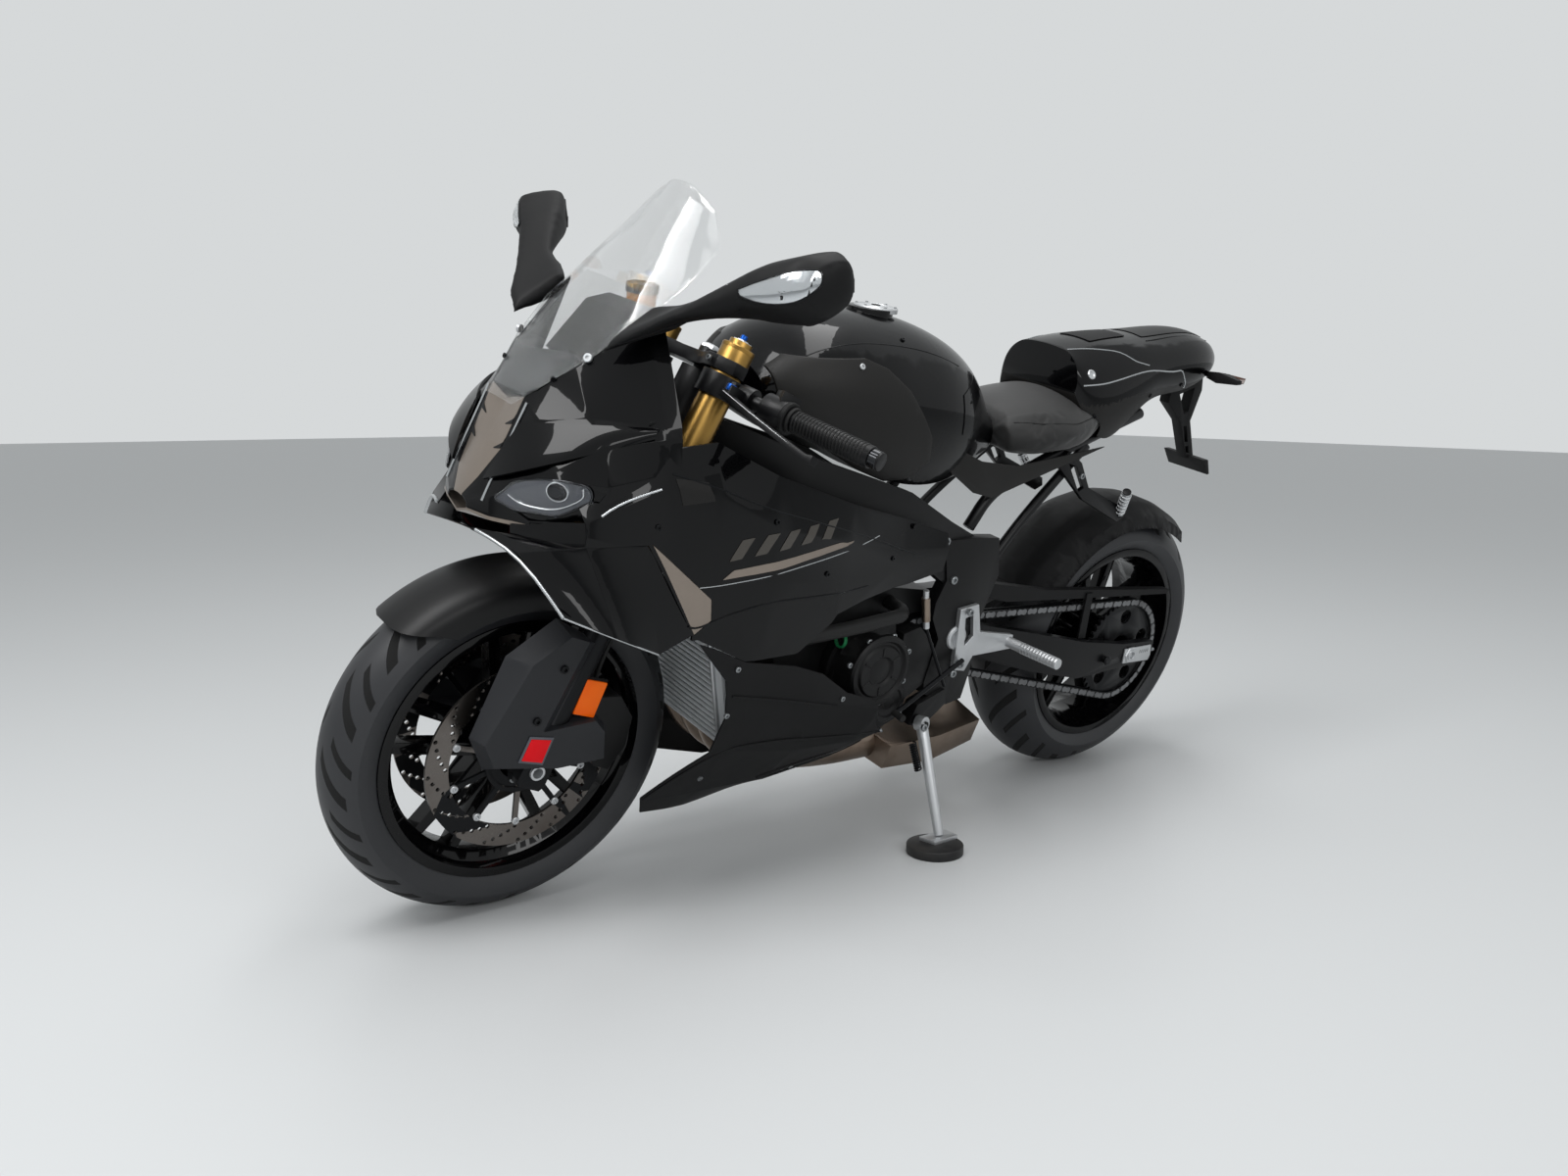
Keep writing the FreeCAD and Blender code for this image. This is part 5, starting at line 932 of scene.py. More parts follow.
# %% Bright edge lines
nose_skin = SKIN["nose_cowl"]
wing_skin = SKIN["winglets"]
for sign, side in SIDES:
    wing_edge = [(838, 62 * sign, 694), (806, 152 * sign, 683), (776, 246 * sign, 616)]
    skin_line(wing_edge, 2.8, "winglet_front_line_" + side, "chassis", silver_edge, wing_skin, 1.0, 3)
    skin_line([(776, 246 * sign, 616), (700, 272 * sign, 585), (614, 253 * sign, 542)], 1.6,
              "winglet_low_line_" + side, "chassis", silver_edge, wing_skin, 0.6, 3)
    skin_line([(766, 52 * sign, 880), (800, 50 * sign, 800), (826, 52 * sign, 732)], 2.2,
              "nose_strip_" + side, "chassis", silver_edge, nose_skin, 1.0, 3)
    skin_line([(716, 222 * sign, 762), (690, 228 * sign, 786), (640, 236 * sign, 800)], 2.0,
              "scoop_line_" + side, "chassis", silver_edge, SKIN["side_fairing_" + side], 1.0, 3)
    chin_web = [(796, 96 * sign, 722), (772, 138 * sign, 724), (736, 218 * sign, 744), (716, 226 * sign, 740),
                (730, 230 * sign, 704), (766, 180 * sign, 694), (800, 110 * sign, 690)]
    plate(chin_web, (-4, -3 * sign, 0), "chin_web_" + side, "chassis", gloss_black, 0.8)
print("edge lines drawn")

# %% [markdown]
# The nose's broad upper facet is one smooth crowned panel between two edge lines, and it is what mirrors
# the room's window. Each edge is a curve through three points, and a grid is stretched between the two
# with a crown of a few millimetres, so that the reflection runs over it unbroken.

# %% Crowned facet panels
def curve_at(points, share):
    """A point on the parabola through three points, reached at shares 0, a half and 1."""
    first, middle, last = (Vector(point) for point in points)
    return (first * (1 - share) * (1 - 2 * share) + middle * 4 * share * (1 - share)
            + last * share * (2 * share - 1))


for sign, side in SIDES:
    top_edge = [(776, 74 * sign, 851), (716, 158 * sign, 868), (632, 214 * sign, 876)]
    low_edge = [(819, 52 * sign, 762), (764, 158 * sign, 813), (640, 219 * sign, 862)]
    out_way = Vector((0.67, 0.45 * sign, 0.59))
    deselect()
    bpy.ops.mesh.primitive_grid_add(x_subdivisions=28, y_subdivisions=10, size=2)
    panel = bpy.context.object
    for vertex in panel.data.vertices:
        u, v = (vertex.co.x + 1) / 2, (vertex.co.y + 1) / 2
        crown = 5 + 14 * v * (1 - v)
        vertex.co = curve_at(low_edge, u).lerp(curve_at(top_edge, u), v) + out_way * crown
    panel.data.update()
    if panel.data.polygons[0].normal.dot(out_way) < 0:
        panel.data.flip_normals()
    wall = panel.modifiers.new("wall", "SOLIDIFY")
    wall.thickness = 5
    wall.offset = -1
    settle(panel, "nose_facet_" + side, "chassis", gloss_black, degrees=30)
print("nose facets laid")

# %% [markdown]
# A lamp is a dark grey housing behind a clear cover that follows the nose. The cover's outline is a slim
# hexagon with a chrome line round its lower side, and a round projector lens sits in its outer half. The
# housing is a film on the skin, the projector a bezel with a domed lens, and the cover a clear film above.

# %% Lamps
for sign, side in SIDES:
    lamp_skin = nose_skin + [piece for name, piece in DRESSED.items() if name.startswith("headlamps_" + side)]
    upper = [(816, 76 * sign, 744), (798, 96 * sign, 776), (772, 150 * sign, 794), (732, 204 * sign, 790)]
    lower = [(814, 80 * sign, 738), (794, 110 * sign, 730), (758, 164 * sign, 732), (728, 206 * sign, 766)]
    skin_band(upper, lower, "lamp_housing_" + side, "chassis", lamp_inside, lamp_skin, 20, 8, 1.4, 0.6)
    skin_line(upper + lower[::-1] + upper[:1], 1.8, "lamp_seal_" + side, "chassis", black_chrome, lamp_skin,
              2.0, 5)
    inner = [(738, 196 * sign, 778), (734, 196 * sign, 768), (758, 162 * sign, 741), (790, 112 * sign, 739),
             (802, 96 * sign, 748)]
    skin_line(inner, 1.5, "lamp_line_" + side, "chassis", lamp_chrome, lamp_skin, 3.0, 4)
    middle, way = on_skin(lamp_skin, 762, 168 * sign, 770, 1.0)
    turned = Matrix.Translation(middle) @ turned_to(way).to_4x4()
    deselect()
    bpy.ops.mesh.primitive_torus_add(major_segments=40, minor_segments=10, major_radius=15,
                                     minor_radius=1.6)
    settle(bpy.context.object, "projector_ring_" + side, "chassis", lamp_chrome, STANDING @ turned)
    deselect()
    bpy.ops.mesh.primitive_uv_sphere_add(segments=32, ring_count=16, radius=15)
    lens = bpy.context.object
    lens.data.transform(Matrix.Diagonal((1, 1, 0.36, 1)))
    settle(lens, "projector_lens_" + side, "chassis", black_chrome, STANDING @ turned, 60)
    skin_band(upper, lower, "lamp_cover_" + side, "chassis", lens_clear, lamp_skin, 20, 8, 5.5, 0.8)
print("lamps fitted")

# %% [markdown]
# The taupe centre panel has two claw-shaped slots on each side. Each is a thin black film laid on the
# panel as painted shade for the slot's dark inside, with the curved point that gives the slot its look.

# %% Gill slots and screen screws
accent_skin = [piece for name, piece in DRESSED.items() if name.startswith("accent_panels")]
for sign, side in SIDES:
    for number, (x, z) in enumerate(((778, 850), (793, 815))):
        upper = [(x - 4, 50 * sign, z + 10), (x, 38 * sign, z + 4), (x + 3, 24 * sign, z - 8)]
        lower = [(x + 2, 50 * sign, z - 4), (x + 3, 38 * sign, z - 5), (x + 4, 24 * sign, z - 9)]
        # Each slot is a blackened film: painted shade for the opening's inside.
        skin_band(upper, lower, "gill_%s_%d" % (side, number + 1), "chassis", dark_steel,
                  accent_skin, 10, 4, 0.6, 0.6)
screws([(707, 112, 962), (707, -112, 962)], 6.5, "screen_screws", "chassis", bright_alloy, [screen], 0.0)
screws([(745, 96, 908), (745, -96, 908)], 4.0, "screen_low_screws", "chassis", dark_steel, [screen], 0.0)
print("nose trimmed")

# %% [markdown]
# ## Sides
#
# The side panels carry films in dark grey and taupe: plain slanted bars in a row, one long pinstripe and
# one tapering band. They are flat films on a curved panel, so each is a small grid laid on the skin, with
# a wall of half a millimetre. The panels' creases get a slim dark line: painted shade along each crease,
# which keeps it sharp.

# %% Stripes on the side panels
for sign, side in SIDES:
    skin = SKIN["side_fairing_" + side]
    y = 252 * sign
    skin_band([(500, y, 668), (380, y, 680), (240, y, 698)], [(520, y, 652), (400, y, 662), (262, y, 684)],
              "taper_band_" + side, "chassis", bronze_taupe, skin, 40, 4, 0.6, 0.5)
    for number in range(5):
        x, rise = 478 - number * 46, number * 5
        skin_band([(x + 14, y, 716 + rise), (x - 10, y, 719 + rise)],
                  [(x + 34, y, 682 + rise), (x + 10, y, 685 + rise)],
                  "slant_bar_%s_%d" % (side, number + 1), "chassis", stripe_grey, skin, 6, 10, 0.6, 0.5)
    skin_line([(560, y, 640), (440, y, 650), (300, y, 668), (170, 215 * sign, 690)], 1.0,
              "pinstripe_" + side, "chassis", silver_edge, skin, 0.1, 6)
    # Dark lines on the side panel's creases: painted shade along each crease.
    skin_line([(590, y, 566), (500, y, 590), (420, y, 606), (300, 240 * sign, 600), (180, 215 * sign, 598)],
              1.6, "lower_crease_shade_" + side, "chassis", dark_steel, skin, 0.2, 6)
    skin_line([(620, 236 * sign, 822), (540, 246 * sign, 800), (440, 250 * sign, 762), (300, 238 * sign, 722),
               (150, 212 * sign, 676), (60, 198 * sign, 640)], 1.4, "upper_crease_shade_" + side, "chassis",
              dark_steel, skin, 0.2, 6)
    skin_band([(618, 240 * sign, 818), (560, 248 * sign, 812)],
              [(604, 246 * sign, 772), (548, 250 * sign, 778)], "facet_shield_" + side, "chassis",
              soft_grey_black, skin, 8, 6, 0.5, 0.8)
    screws([(640, 246 * sign, 742), (430, 250 * sign, 742), (300, 240 * sign, 640), (120, 205 * sign, 640)],
           4.5, "fairing_screws_" + side, "chassis", dark_steel, skin)
print("side panels trimmed")

# %% [markdown]
# The lower fairing is matt plastic with raised ribs along its creases, screws at its corners, and a long
# air slot low down. The ribs follow the skin, and the slot is a dark film with a raised rim: the film is
# painted shade for the slot's dark inside.

# %% Lower fairing: ribs, slot and screws
for sign, side in SIDES:
    body_index = 0 if upright_middle(SKIN["belly_pan"][0]).y * sign > 0 else 1
    belly_skin = [SKIN["belly_pan"][body_index]]
    skin_line([(560, 176 * sign, 240), (430, 214 * sign, 330), (300, 205 * sign, 320), (150, 190 * sign, 290),
               (0, 160 * sign, 262)], 2.4, "belly_rib_" + side, "chassis", matt_black, belly_skin, 0.5, 6)
    skin_line([(455, 240 * sign, 440), (330, 232 * sign, 410), (210, 222 * sign, 376)], 2.0,
              "belly_upper_rib_" + side, "chassis", matt_black, belly_skin, 0.5, 6)
    rim = [(296, 130 * sign, 214), (250, 128 * sign, 206), (120, 122 * sign, 212), (40, 118 * sign, 240),
           (60, 126 * sign, 250), (140, 134 * sign, 232), (250, 140 * sign, 224)]
    skin_line(rim + rim[:1], 2.2, "belly_slot_rim_" + side, "chassis", matt_black, belly_skin, 0.5, 4)
    # The slot's dark film is painted shade for the opening's inside; the rim round it is raised.
    skin_band([(286, 134 * sign, 220), (140, 132 * sign, 230), (58, 124 * sign, 247)],
              [(280, 130 * sign, 211), (130, 124 * sign, 215), (50, 120 * sign, 242)],
              "belly_slot_" + side, "chassis", dark_steel, belly_skin, 18, 3, 0.3, 0.6)
    screws([(456, 243 * sign, 492), (450, 180 * sign, 256), (220, 140 * sign, 214), (455, 240 * sign, 400),
            (200, 222 * sign, 392), (-10, 180 * sign, 300)], 5, "belly_screws_" + side, "chassis",
           zinc_steel, belly_skin)
print("lower fairing trimmed")

# %% [markdown]
# The radiator's core is seen through the opening ahead of the lower fairing: a stack of fins between two
# tanks. The fins are bare metal, painted whiter and less metallic than it, a painted brightness that stands
# for light falling on them. They are modelled as slim bars at the true spacing of the visible louvres, about
# 11 mm. The core leans back by a quarter of its height.

# %% Radiator louvres
LOUVRES, LOWEST, SPACING = 17, 312, 11
for number in range(LOUVRES):
    rise = number * SPACING
    x, z = 401 + rise * 0.25, LOWEST + rise
    drawn_line([(x, -150, z), (x, 150, z)], 3.9, "radiator_slat_%02d" % (number + 1), "chassis", fins_painted_lit)
for sign, side in SIDES:
    drawn_line([(399, 154 * sign, 304), (450, 154 * sign, 506)], 5, "radiator_edge_" + side, "chassis",
               bright_alloy)
print(LOUVRES, "louvres")

# %% [markdown]
# ## Engine
#
# The round cover is cast, with a machined ring, a raised middle and a circle of small screws. The ribs and
# bosses round it break up the plain casting. All of it is bare or black-coated metal.

# %% Turned pieces
def turned_disc(profile, name, body, paint, middle, way, place=STANDING, steps=48):
    """A turned piece: a profile of (radius, height) points spun round an axis."""
    points = [(radius, 0, height) for radius, height in profile]
    mesh = bpy.data.meshes.new(name)
    mesh.from_pydata(points, [(i, i + 1) for i in range(len(points) - 1)], [])
    turned = new_piece(name, mesh)
    bpy.ops.object.mode_set(mode="EDIT")
    bpy.ops.mesh.select_all(action="SELECT")
    bpy.ops.mesh.spin(steps=steps, angle=2 * math.pi, center=(0, 0, 0), axis=(0, 0, 1))
    bpy.ops.mesh.select_all(action="SELECT")
    bpy.ops.mesh.remove_doubles(threshold=0.001)
    bpy.ops.mesh.normals_make_consistent(inside=False)
    bpy.ops.object.mode_set(mode="OBJECT")
    turn = turned_to(Vector(way)).to_4x4()
    return settle(turned, name, body, paint, place @ Matrix.Translation(Vector(middle)) @ turn, 30)


# %% Round cover, pump and casting
COVER = Vector((82, 183, 411))
turned_disc([(0, 5), (20, 5), (24, 3), (26, 3), (30, 7), (48, 7), (52, 3), (56, 3), (60, 8), (66, 8), (70, 4),
             (71, -2), (0, -2)], "clutch_cover_ring", "chassis", cast_black, COVER, (0, 1, 0))
screws([(COVER.x + 76 * math.cos(turn), 180.5, COVER.z + 68 * math.sin(turn), 0, 1, 0)
        for turn in (0.3, 1.1, 1.9, 2.7, 3.6, 4.5, 5.4)], 5.5, "cover_screws", "chassis", zinc_steel)
for number in range(6):
    turn = math.pi * (0.15 + number / 3)
    drawn_line([(COVER.x + 31 * math.cos(turn), 189.6, COVER.z + 31 * math.sin(turn)),
                (COVER.x + 47 * math.cos(turn), 189.6, COVER.z + 47 * math.sin(turn))], 2.2,
               "cover_rib_%d" % (number + 1), "chassis", cast_black)
turned_disc([(0, 4), (12, 4), (15, 2), (28, 2), (31, 5), (38, 5), (41, 2), (42, -2), (0, -2)],
            "water_pump_cover", "chassis", cast_black, (40, 178, 340), (0, 1, 0))
screws([(40 + 46 * math.cos(turn), 177.5, 340 + 46 * math.sin(turn), 0, 1, 0)
        for turn in (0.6, 2.2, 3.8, 5.3)], 4.5, "pump_screws", "chassis", zinc_steel)
casting = [(110, 142, 566), (130, 142, 626), (232, 142, 634), (240, 142, 570)]
for number, place in enumerate(casting):
    turned_disc([(0, 4), (6, 4), (9, 2), (11, -1), (0, -1)], "head_boss_%d" % (number + 1), "chassis",
                cast_silver, place, (0, 1, 0), steps=20)
for number in range(5):
    x = 128 + number * 25
    drawn_line([(x, 142.5, 576), (x + 12, 142.5, 622)], 3, "head_rib_%d" % (number + 1), "chassis",
               cast_silver)
print("engine side detailed")

# %% [markdown]
# Hose clamps are bands of zinc-plated steel, and one end carries a green mark ring as on the real hose.
# They are short rings about the hose's own line.

# %% Hose rings
def ring_on(middle, way, radius, width, name, paint):
    """A band round the hose, its edges a little lower than its middle."""
    return turned_disc([(radius - 2, -width / 2), (radius, -width / 2), (radius + 1.2, -width / 4),
                        (radius + 1.2, width / 4), (radius, width / 2), (radius - 2, width / 2),
                        (radius - 2, -width / 2)], name, "chassis", paint, middle, way, steps=32)


hose_green = finish("green mark ring", "#1f7a4a", 0.45, 2, 0.02, dust="#14462c", dust_share=0.2)
ring_on((150, 142, 464), (1, 0, 0.12), 14, 7, "hose_mark_ring", hose_green)
ring_on((300, 142, 480), (1, 0, 0.12), 14, 9, "hose_clamp_front", zinc_steel)
print("rings on the hose")

# %% [markdown]
# The gear linkage is a thin rod with a quick-shift sensor on it, from the arm at the gearbox up the frame
# plate. The sensor is a small bronze cylinder with silver ends.

# %% Gear linkage and frame caps
drawn_line([(-4, 180, 556), (-24, 180, 480), (-103, 180, 352)], 3.4, "shift_rod", "chassis", dark_steel)
drawn_line([(-7, 180, 543), (-19, 180, 497)], 8, "shift_sensor", "chassis", heat_bronze)
drawn_line([(-19, 180, 497), (-23, 180, 482)], 6, "shift_sensor_end", "chassis", bright_alloy)
drawn_line([(-4, 180, 558), (-7, 180, 543)], 5.5, "shift_sensor_top", "chassis", bright_alloy)
for sign, side in SIDES:
    turned_disc([(0, 1), (9, 1), (13, 4), (19, 6), (23, 5), (25, 2), (25, -2), (0, -2)], "pivot_cap_" + side,
                "chassis", bright_alloy, (-139, 152.5 * sign, 438), (0, sign, 0))
    screws([(-60, 152.3 * sign, 640, 0, sign, 0), (-100, 152.3 * sign, 560, 0, sign, 0),
            (-150, 152.3 * sign, 360, 0, sign, 0)], 8, "frame_screws_" + side, "chassis", zinc_steel)
print("linkage and caps fitted")

# %% [markdown]
# ## Tyres and mudguard
#
# A tyre is a true turned form, so a copy of its solid's triangles would only spoil the long highlights. Its
# section is drawn once, from the bead over a slightly bulged side wall to one arc for the tread, and spun
# round the hub in 160 steps.

# %% Turned tyres
SEAT_RADIUS, LIP_RADIUS = 217.6, 227.6
STEP_OUT, BULGE = 3.6, 1.8


def tyre_profile(crown, arc, half, bead):
    """A closed tyre section as (radius, side) points."""
    shoulder = crown - arc + math.sqrt(arc * arc - half * half)
    wall = [(SEAT_RADIUS, bead), (LIP_RADIUS, bead)]
    for share in (0.0, 0.25, 0.5, 0.75, 0.92):
        wall.append((LIP_RADIUS + (shoulder - LIP_RADIUS) * share,
                     bead + STEP_OUT + (half - bead - STEP_OUT) * share + BULGE * math.sin(math.pi * share)))
    reach = math.asin(half / arc)
    tread = [(crown - arc + arc * math.cos(reach * step / 12), arc * math.sin(reach * step / 12))
             for step in range(12, -13, -1)]
    other = [(radius, -side) for radius, side in reversed(wall)]
    return wall + tread + other + wall[:1]


for node, hub, paint, sizes in (("front_tyre", FRONT_HUB, front_tyre_rubber, (299.6, 65, 59.8, 44.4)),
                                ("rear_tyre", REAR_HUB, rear_tyre_rubber, (319.6, 100, 94.8, 75.9))):
    tyre = turned_disc(tyre_profile(*sizes), node + "_turned", BODY_OF[node], paint, hub, (0, 1, 0),
                       steps=160)
    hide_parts(node)
    print(node, len(tyre.data.polygons), "faces")

# %% [markdown]
# The mudguard is a thin shell round the tyre. Its section is a smooth curve from the skirt to the crown,
# and it is cut along the bottom by a line that rises towards the front. Each column of a grid is one
# section, and the column ends where its own curve meets that line.

# %% Mudguard shell
SKIRT_LINE = [(-400, 150), (-90, 150), (-60, 205), (66, 205), (100, 215), (155, 232), (400, 232)]
GUARD_SECTION = [(315, 0), (313, 26), (305, 55.5), (288, 74), (255, 79)]
GUARD_TIP, GUARD_TAIL = math.radians(47.8), math.radians(122)


def section_at(share):
    """The guard's (radius, side) at a share of the way from its crown to its full skirt.

    The curve passes smoothly through the section's points, with one more point at each end to lead it.
    """
    rows = [(313, -26)] + GUARD_SECTION + [(222, 80)]
    along = min(share, 0.9999) * (len(GUARD_SECTION) - 1)
    first = int(along)
    t = along - first
    a, b, c, e = (Vector(row) for row in rows[first:first + 4])
    return ((2 * b) + (c - a) * t + (2 * a - 5 * b + 4 * c - e) * t * t
            + (3 * b - a - 3 * c + e) * t * t * t) / 2


def skirt_share(turn):
    """How far the section reaches down at an angle round the axle."""
    for step in range(81):
        radius = section_at(step / 80).x
        x, z = radius * math.cos(turn), radius * math.sin(turn)
        for (x0, z0), (x1, z1) in zip(SKIRT_LINE, SKIRT_LINE[1:]):
            if x0 <= x <= x1 and z < z0 + (z1 - z0) * (x - x0) / (x1 - x0):
                return step / 80
    return 1.0


deselect()
bpy.ops.mesh.primitive_grid_add(x_subdivisions=72, y_subdivisions=28, size=2)
mudguard = bpy.context.object
for vertex in mudguard.data.vertices:
    turn = GUARD_TIP + (GUARD_TAIL - GUARD_TIP) * (vertex.co.x + 1) / 2
    radius, side = section_at(max(skirt_share(turn), 0.04) * abs(vertex.co.y))
    vertex.co = FRONT_HUB + Vector((radius * math.cos(turn), math.copysign(side, vertex.co.y),
                                    radius * math.sin(turn)))
mudguard.data.update()
if mudguard.data.polygons[len(mudguard.data.polygons) // 2].normal.z < 0:
    mudguard.data.flip_normals()
wall = mudguard.modifiers.new("wall", "SOLIDIFY")
wall.thickness = 3
wall.offset = -1
settle(mudguard, "front_mudguard_shell", BODY_OF["front_mudguard"], satin_black, degrees=60)
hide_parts("front_mudguard")
for sign, side in SIDES:
    drawn_line([FRONT_HUB + Vector((-100, 74 * sign, 246)), FRONT_HUB + Vector((-100, 88 * sign, 246))], 7,
               "mudguard_bracket_" + side, BODY_OF["front_mudguard"], satin_black)
print("mudguard:", len(mudguard.data.polygons), "faces")

# %% [markdown]
# ## Chain
#
# The chain is one closed run round two sprockets: two straight runs and two arcs. Links are one pitch
# long, 15.9 mm, so the run's length gives their number. One link's pair of plates is modelled and copied
# along the run, wide and narrow ones in turn, as on a real roller chain.

# %% The chain's run
CHAIN_FRONT = Vector((-62, 0, 425))
CHAIN_REAR = REAR_HUB.copy()
PITCH = 15.875
SMALL = PITCH / (2 * math.sin(math.pi / 17))
LARGE = PITCH / (2 * math.sin(math.pi / 45))
span = CHAIN_FRONT - CHAIN_REAR
reach = math.hypot(span.x, span.z)
heading = math.atan2(span.z, span.x)
swing = math.acos((LARGE - SMALL) / reach)
straight = math.sqrt(reach ** 2 - (LARGE - SMALL) ** 2)
run_parts = [straight, SMALL * 2 * swing, straight, LARGE * (2 * math.pi - 2 * swing)]
run_length = sum(run_parts)


def chain_spot(along):
    """The place and heading on the run, after so many millimetres."""
    along %= run_length
    up_turn, down_turn = heading + swing, heading - swing
    if along < run_parts[0]:
        start = CHAIN_REAR + Vector((math.cos(up_turn), 0, math.sin(up_turn))) * LARGE
        way = Vector((math.sin(up_turn), 0, -math.cos(up_turn)))
        return start + way * along, way
    along -= run_parts[0]
    if along < run_parts[1]:
        turn = up_turn - along / SMALL
        way = Vector((math.sin(turn), 0, -math.cos(turn)))
        return CHAIN_FRONT + Vector((math.cos(turn), 0, math.sin(turn))) * SMALL, way
    along -= run_parts[1]
    if along < run_parts[2]:
        start = CHAIN_FRONT + Vector((math.cos(down_turn), 0, math.sin(down_turn))) * SMALL
        way = Vector((math.sin(down_turn), 0, -math.cos(down_turn)))
        return start + way * along, way
    along -= run_parts[2]
    turn = down_turn - along / LARGE
    way = Vector((math.sin(turn), 0, -math.cos(turn)))
    return CHAIN_REAR + Vector((math.cos(turn), 0, math.sin(turn))) * LARGE, way


links = 2 * round(run_length / PITCH / 2)
print("chain of", links, "links on", round(run_length), "mm")

# %% Chain links
CHAIN_SIDE, PLATE_WALL = 112, 1.9
PLATE_END, PLATE_WAIST = 6.6, 4.4
link_outline = []
for end in (1, -1):
    for step in range(5):
        turn = math.pi / 2 - end * math.pi / 2 + math.pi * (step / 4 - 0.5)
        link_outline.append((end * PITCH / 2 + PLATE_END * math.cos(turn), PLATE_END * math.sin(turn)))
    link_outline.append((0, PLATE_WAIST * end))
size = len(link_outline)
link_points = []
link_faces = []
for number in range(links):
    first, way = chain_spot((number + 0.5) * run_length / links)
    over = Vector((-way.z, 0, way.x))
    near = 6.9 if number % 2 else 5.2
    for sign in (1, -1):
        base = len(link_points)
        for y in (CHAIN_SIDE + sign * near, CHAIN_SIDE + sign * (near + PLATE_WALL)):
            for along, across in link_outline:
                place = first + way * along + over * across
                link_points.append((place.x, y, place.z))
        link_faces.append([base + i for i in range(size)])
        link_faces.append([base + size + i for i in reversed(range(size))])
        for i in range(size):
            j = (i + 1) % size
            link_faces.append([base + j, base + i, base + size + i, base + size + j])
link_mesh = bpy.data.meshes.new("chain_links")
link_mesh.from_pydata(link_points, [], link_faces)
chain_links = new_piece("chain_links", link_mesh)
face_outward(chain_links)
settle(chain_links, "chain_links", "chassis", chain_steel)
for piece in SKIN["drive_chain"]:
    piece.data.materials[0] = dark_steel
print("chain linked")

# %% [markdown]
# ## Rear end
#
# The axle sits in a machined block that slides in the arm and is set by a screw from behind. Its scale
# marks are plain lines. The block is bright alloy on the black arm, so it stands out from afar.

# %% Axle blocks and stand bobbins
for sign, side in SIDES:
    y = 146.3 * sign
    plate([(-706, y, 338), (-708, y, 303), (-800, y, 300), (-806, y, 312), (-800, y, 338)], (0, 4 * sign, 0),
          "axle_block_" + side, "chassis", bright_alloy, 1.2)
    turned_disc([(9, 4), (18, 4), (20, 2), (20, -1), (9, -1), (9, 4)], "axle_nut_" + side, "chassis",
                bright_alloy, (REAR_HUB.x, 150 * sign, REAR_HUB.z), (0, sign, 0), steps=6)
    drawn_line([(-800, 140 * sign, 320), (-826, 140 * sign, 320)], 4, "axle_screw_" + side, "chassis",
               zinc_steel)
    for number in range(5):
        x = -762 - number * 7
        drawn_line([(x, 150.4 * sign, 330), (x, 150.4 * sign, 322)], 0.5, "axle_mark_%s_%d" % (side, number),
                   "chassis", dark_steel)
    turned_disc([(0, 14), (8, 14), (11, 11), (8, 6), (8, 0), (0, 0)], "stand_bobbin_" + side, "chassis",
                dark_steel, (-640, 146 * sign, 322), (0, sign, 0), steps=24)
print("axle blocks fitted")

# %% [markdown]
# Footpegs are knurled so that a boot does not slip. The knurl is a ring of small ridges, repeated along
# the peg; the ridges are coarser than the real 1.5 mm so that they show.

# %% Footpegs, pillion pegs and pedals
for sign, side in SIDES:
    start, end = Vector((-287, 200 * sign, 415)), Vector((-290, 284 * sign, 418))
    for number in range(12):
        middle = start.lerp(end, number / 11)
        turned_disc([(9, -2.6), (11.6, -1.6), (11.6, 1.6), (9, 2.6)],
                    "peg_ridge_%s_%02d" % (side, number + 1), "chassis", bright_alloy, middle, end - start,
                    steps=14)
    drawn_line([(-604, 121 * sign, 655), (-589, 135 * sign, 681), (-573, 149 * sign, 710)], 9.8,
               "pillion_peg_" + side, "chassis", bright_alloy)
    for number in range(6):
        middle = Vector((-600, 124 * sign, 661)).lerp(Vector((-577, 146 * sign, 703)), number / 5)
        turned_disc([(9.5, -1.5), (11.4, -0.8), (11.4, 0.8), (9.5, 1.5)],
                    "pillion_ridge_%s_%d" % (side, number + 1), "chassis", bright_alloy, middle,
                    (23, 22 * sign, 42), steps=14)
    screws([(-150, 166.5 * sign, 494, 0, sign, 0), (-152, 166.5 * sign, 384, 0, sign, 0)], 7,
           "hanger_screws_" + side, "chassis", zinc_steel)
    screws([(-396, 122.5 * sign, 786, 0, sign, 0), (-448, 122.5 * sign, 742, 0, sign, 0)], 6,
           "bracket_screws_" + side, "chassis", zinc_steel)
drawn_line([(-150, 172, 396), (-70, 184, 366), (10, 192, 330), (34, 196, 324)], 5, "gear_pedal", "chassis",
           dark_steel)
drawn_line([(34, 194, 324), (36, 222, 324)], 7, "gear_toe_peg", "chassis", grip_rubber)
drawn_line([(-150, -172, 396), (-60, -190, 352), (24, -198, 330)], 5, "brake_pedal", "chassis", dark_steel)
drawn_line([(22, -196, 330), (24, -224, 330)], 8, "brake_toe_peg", "chassis", bright_alloy)
print("pegs and pedals fitted")

# %% [markdown]
# The side stand folds on a coil spring beside its leg, with the rod of a small switch next to it, both
# black against the bright cast leg.

# %% Stand spring and switch rod
def coil(start, end, radius, wire, turns, name, body, paint):
    """A coil spring between two upright points."""
    start, end = Vector(start), Vector(end)
    turned = turned_to(end - start)
    points = []
    for step in range(turns * 10 + 1):
        share = step / (turns * 10)
        turn = 2 * math.pi * turns * share
        ring = turned @ Vector((radius * math.cos(turn), radius * math.sin(turn), 0))
        points.append(start.lerp(end, share) + ring)
    return drawn_line(points, wire, name, body, paint)


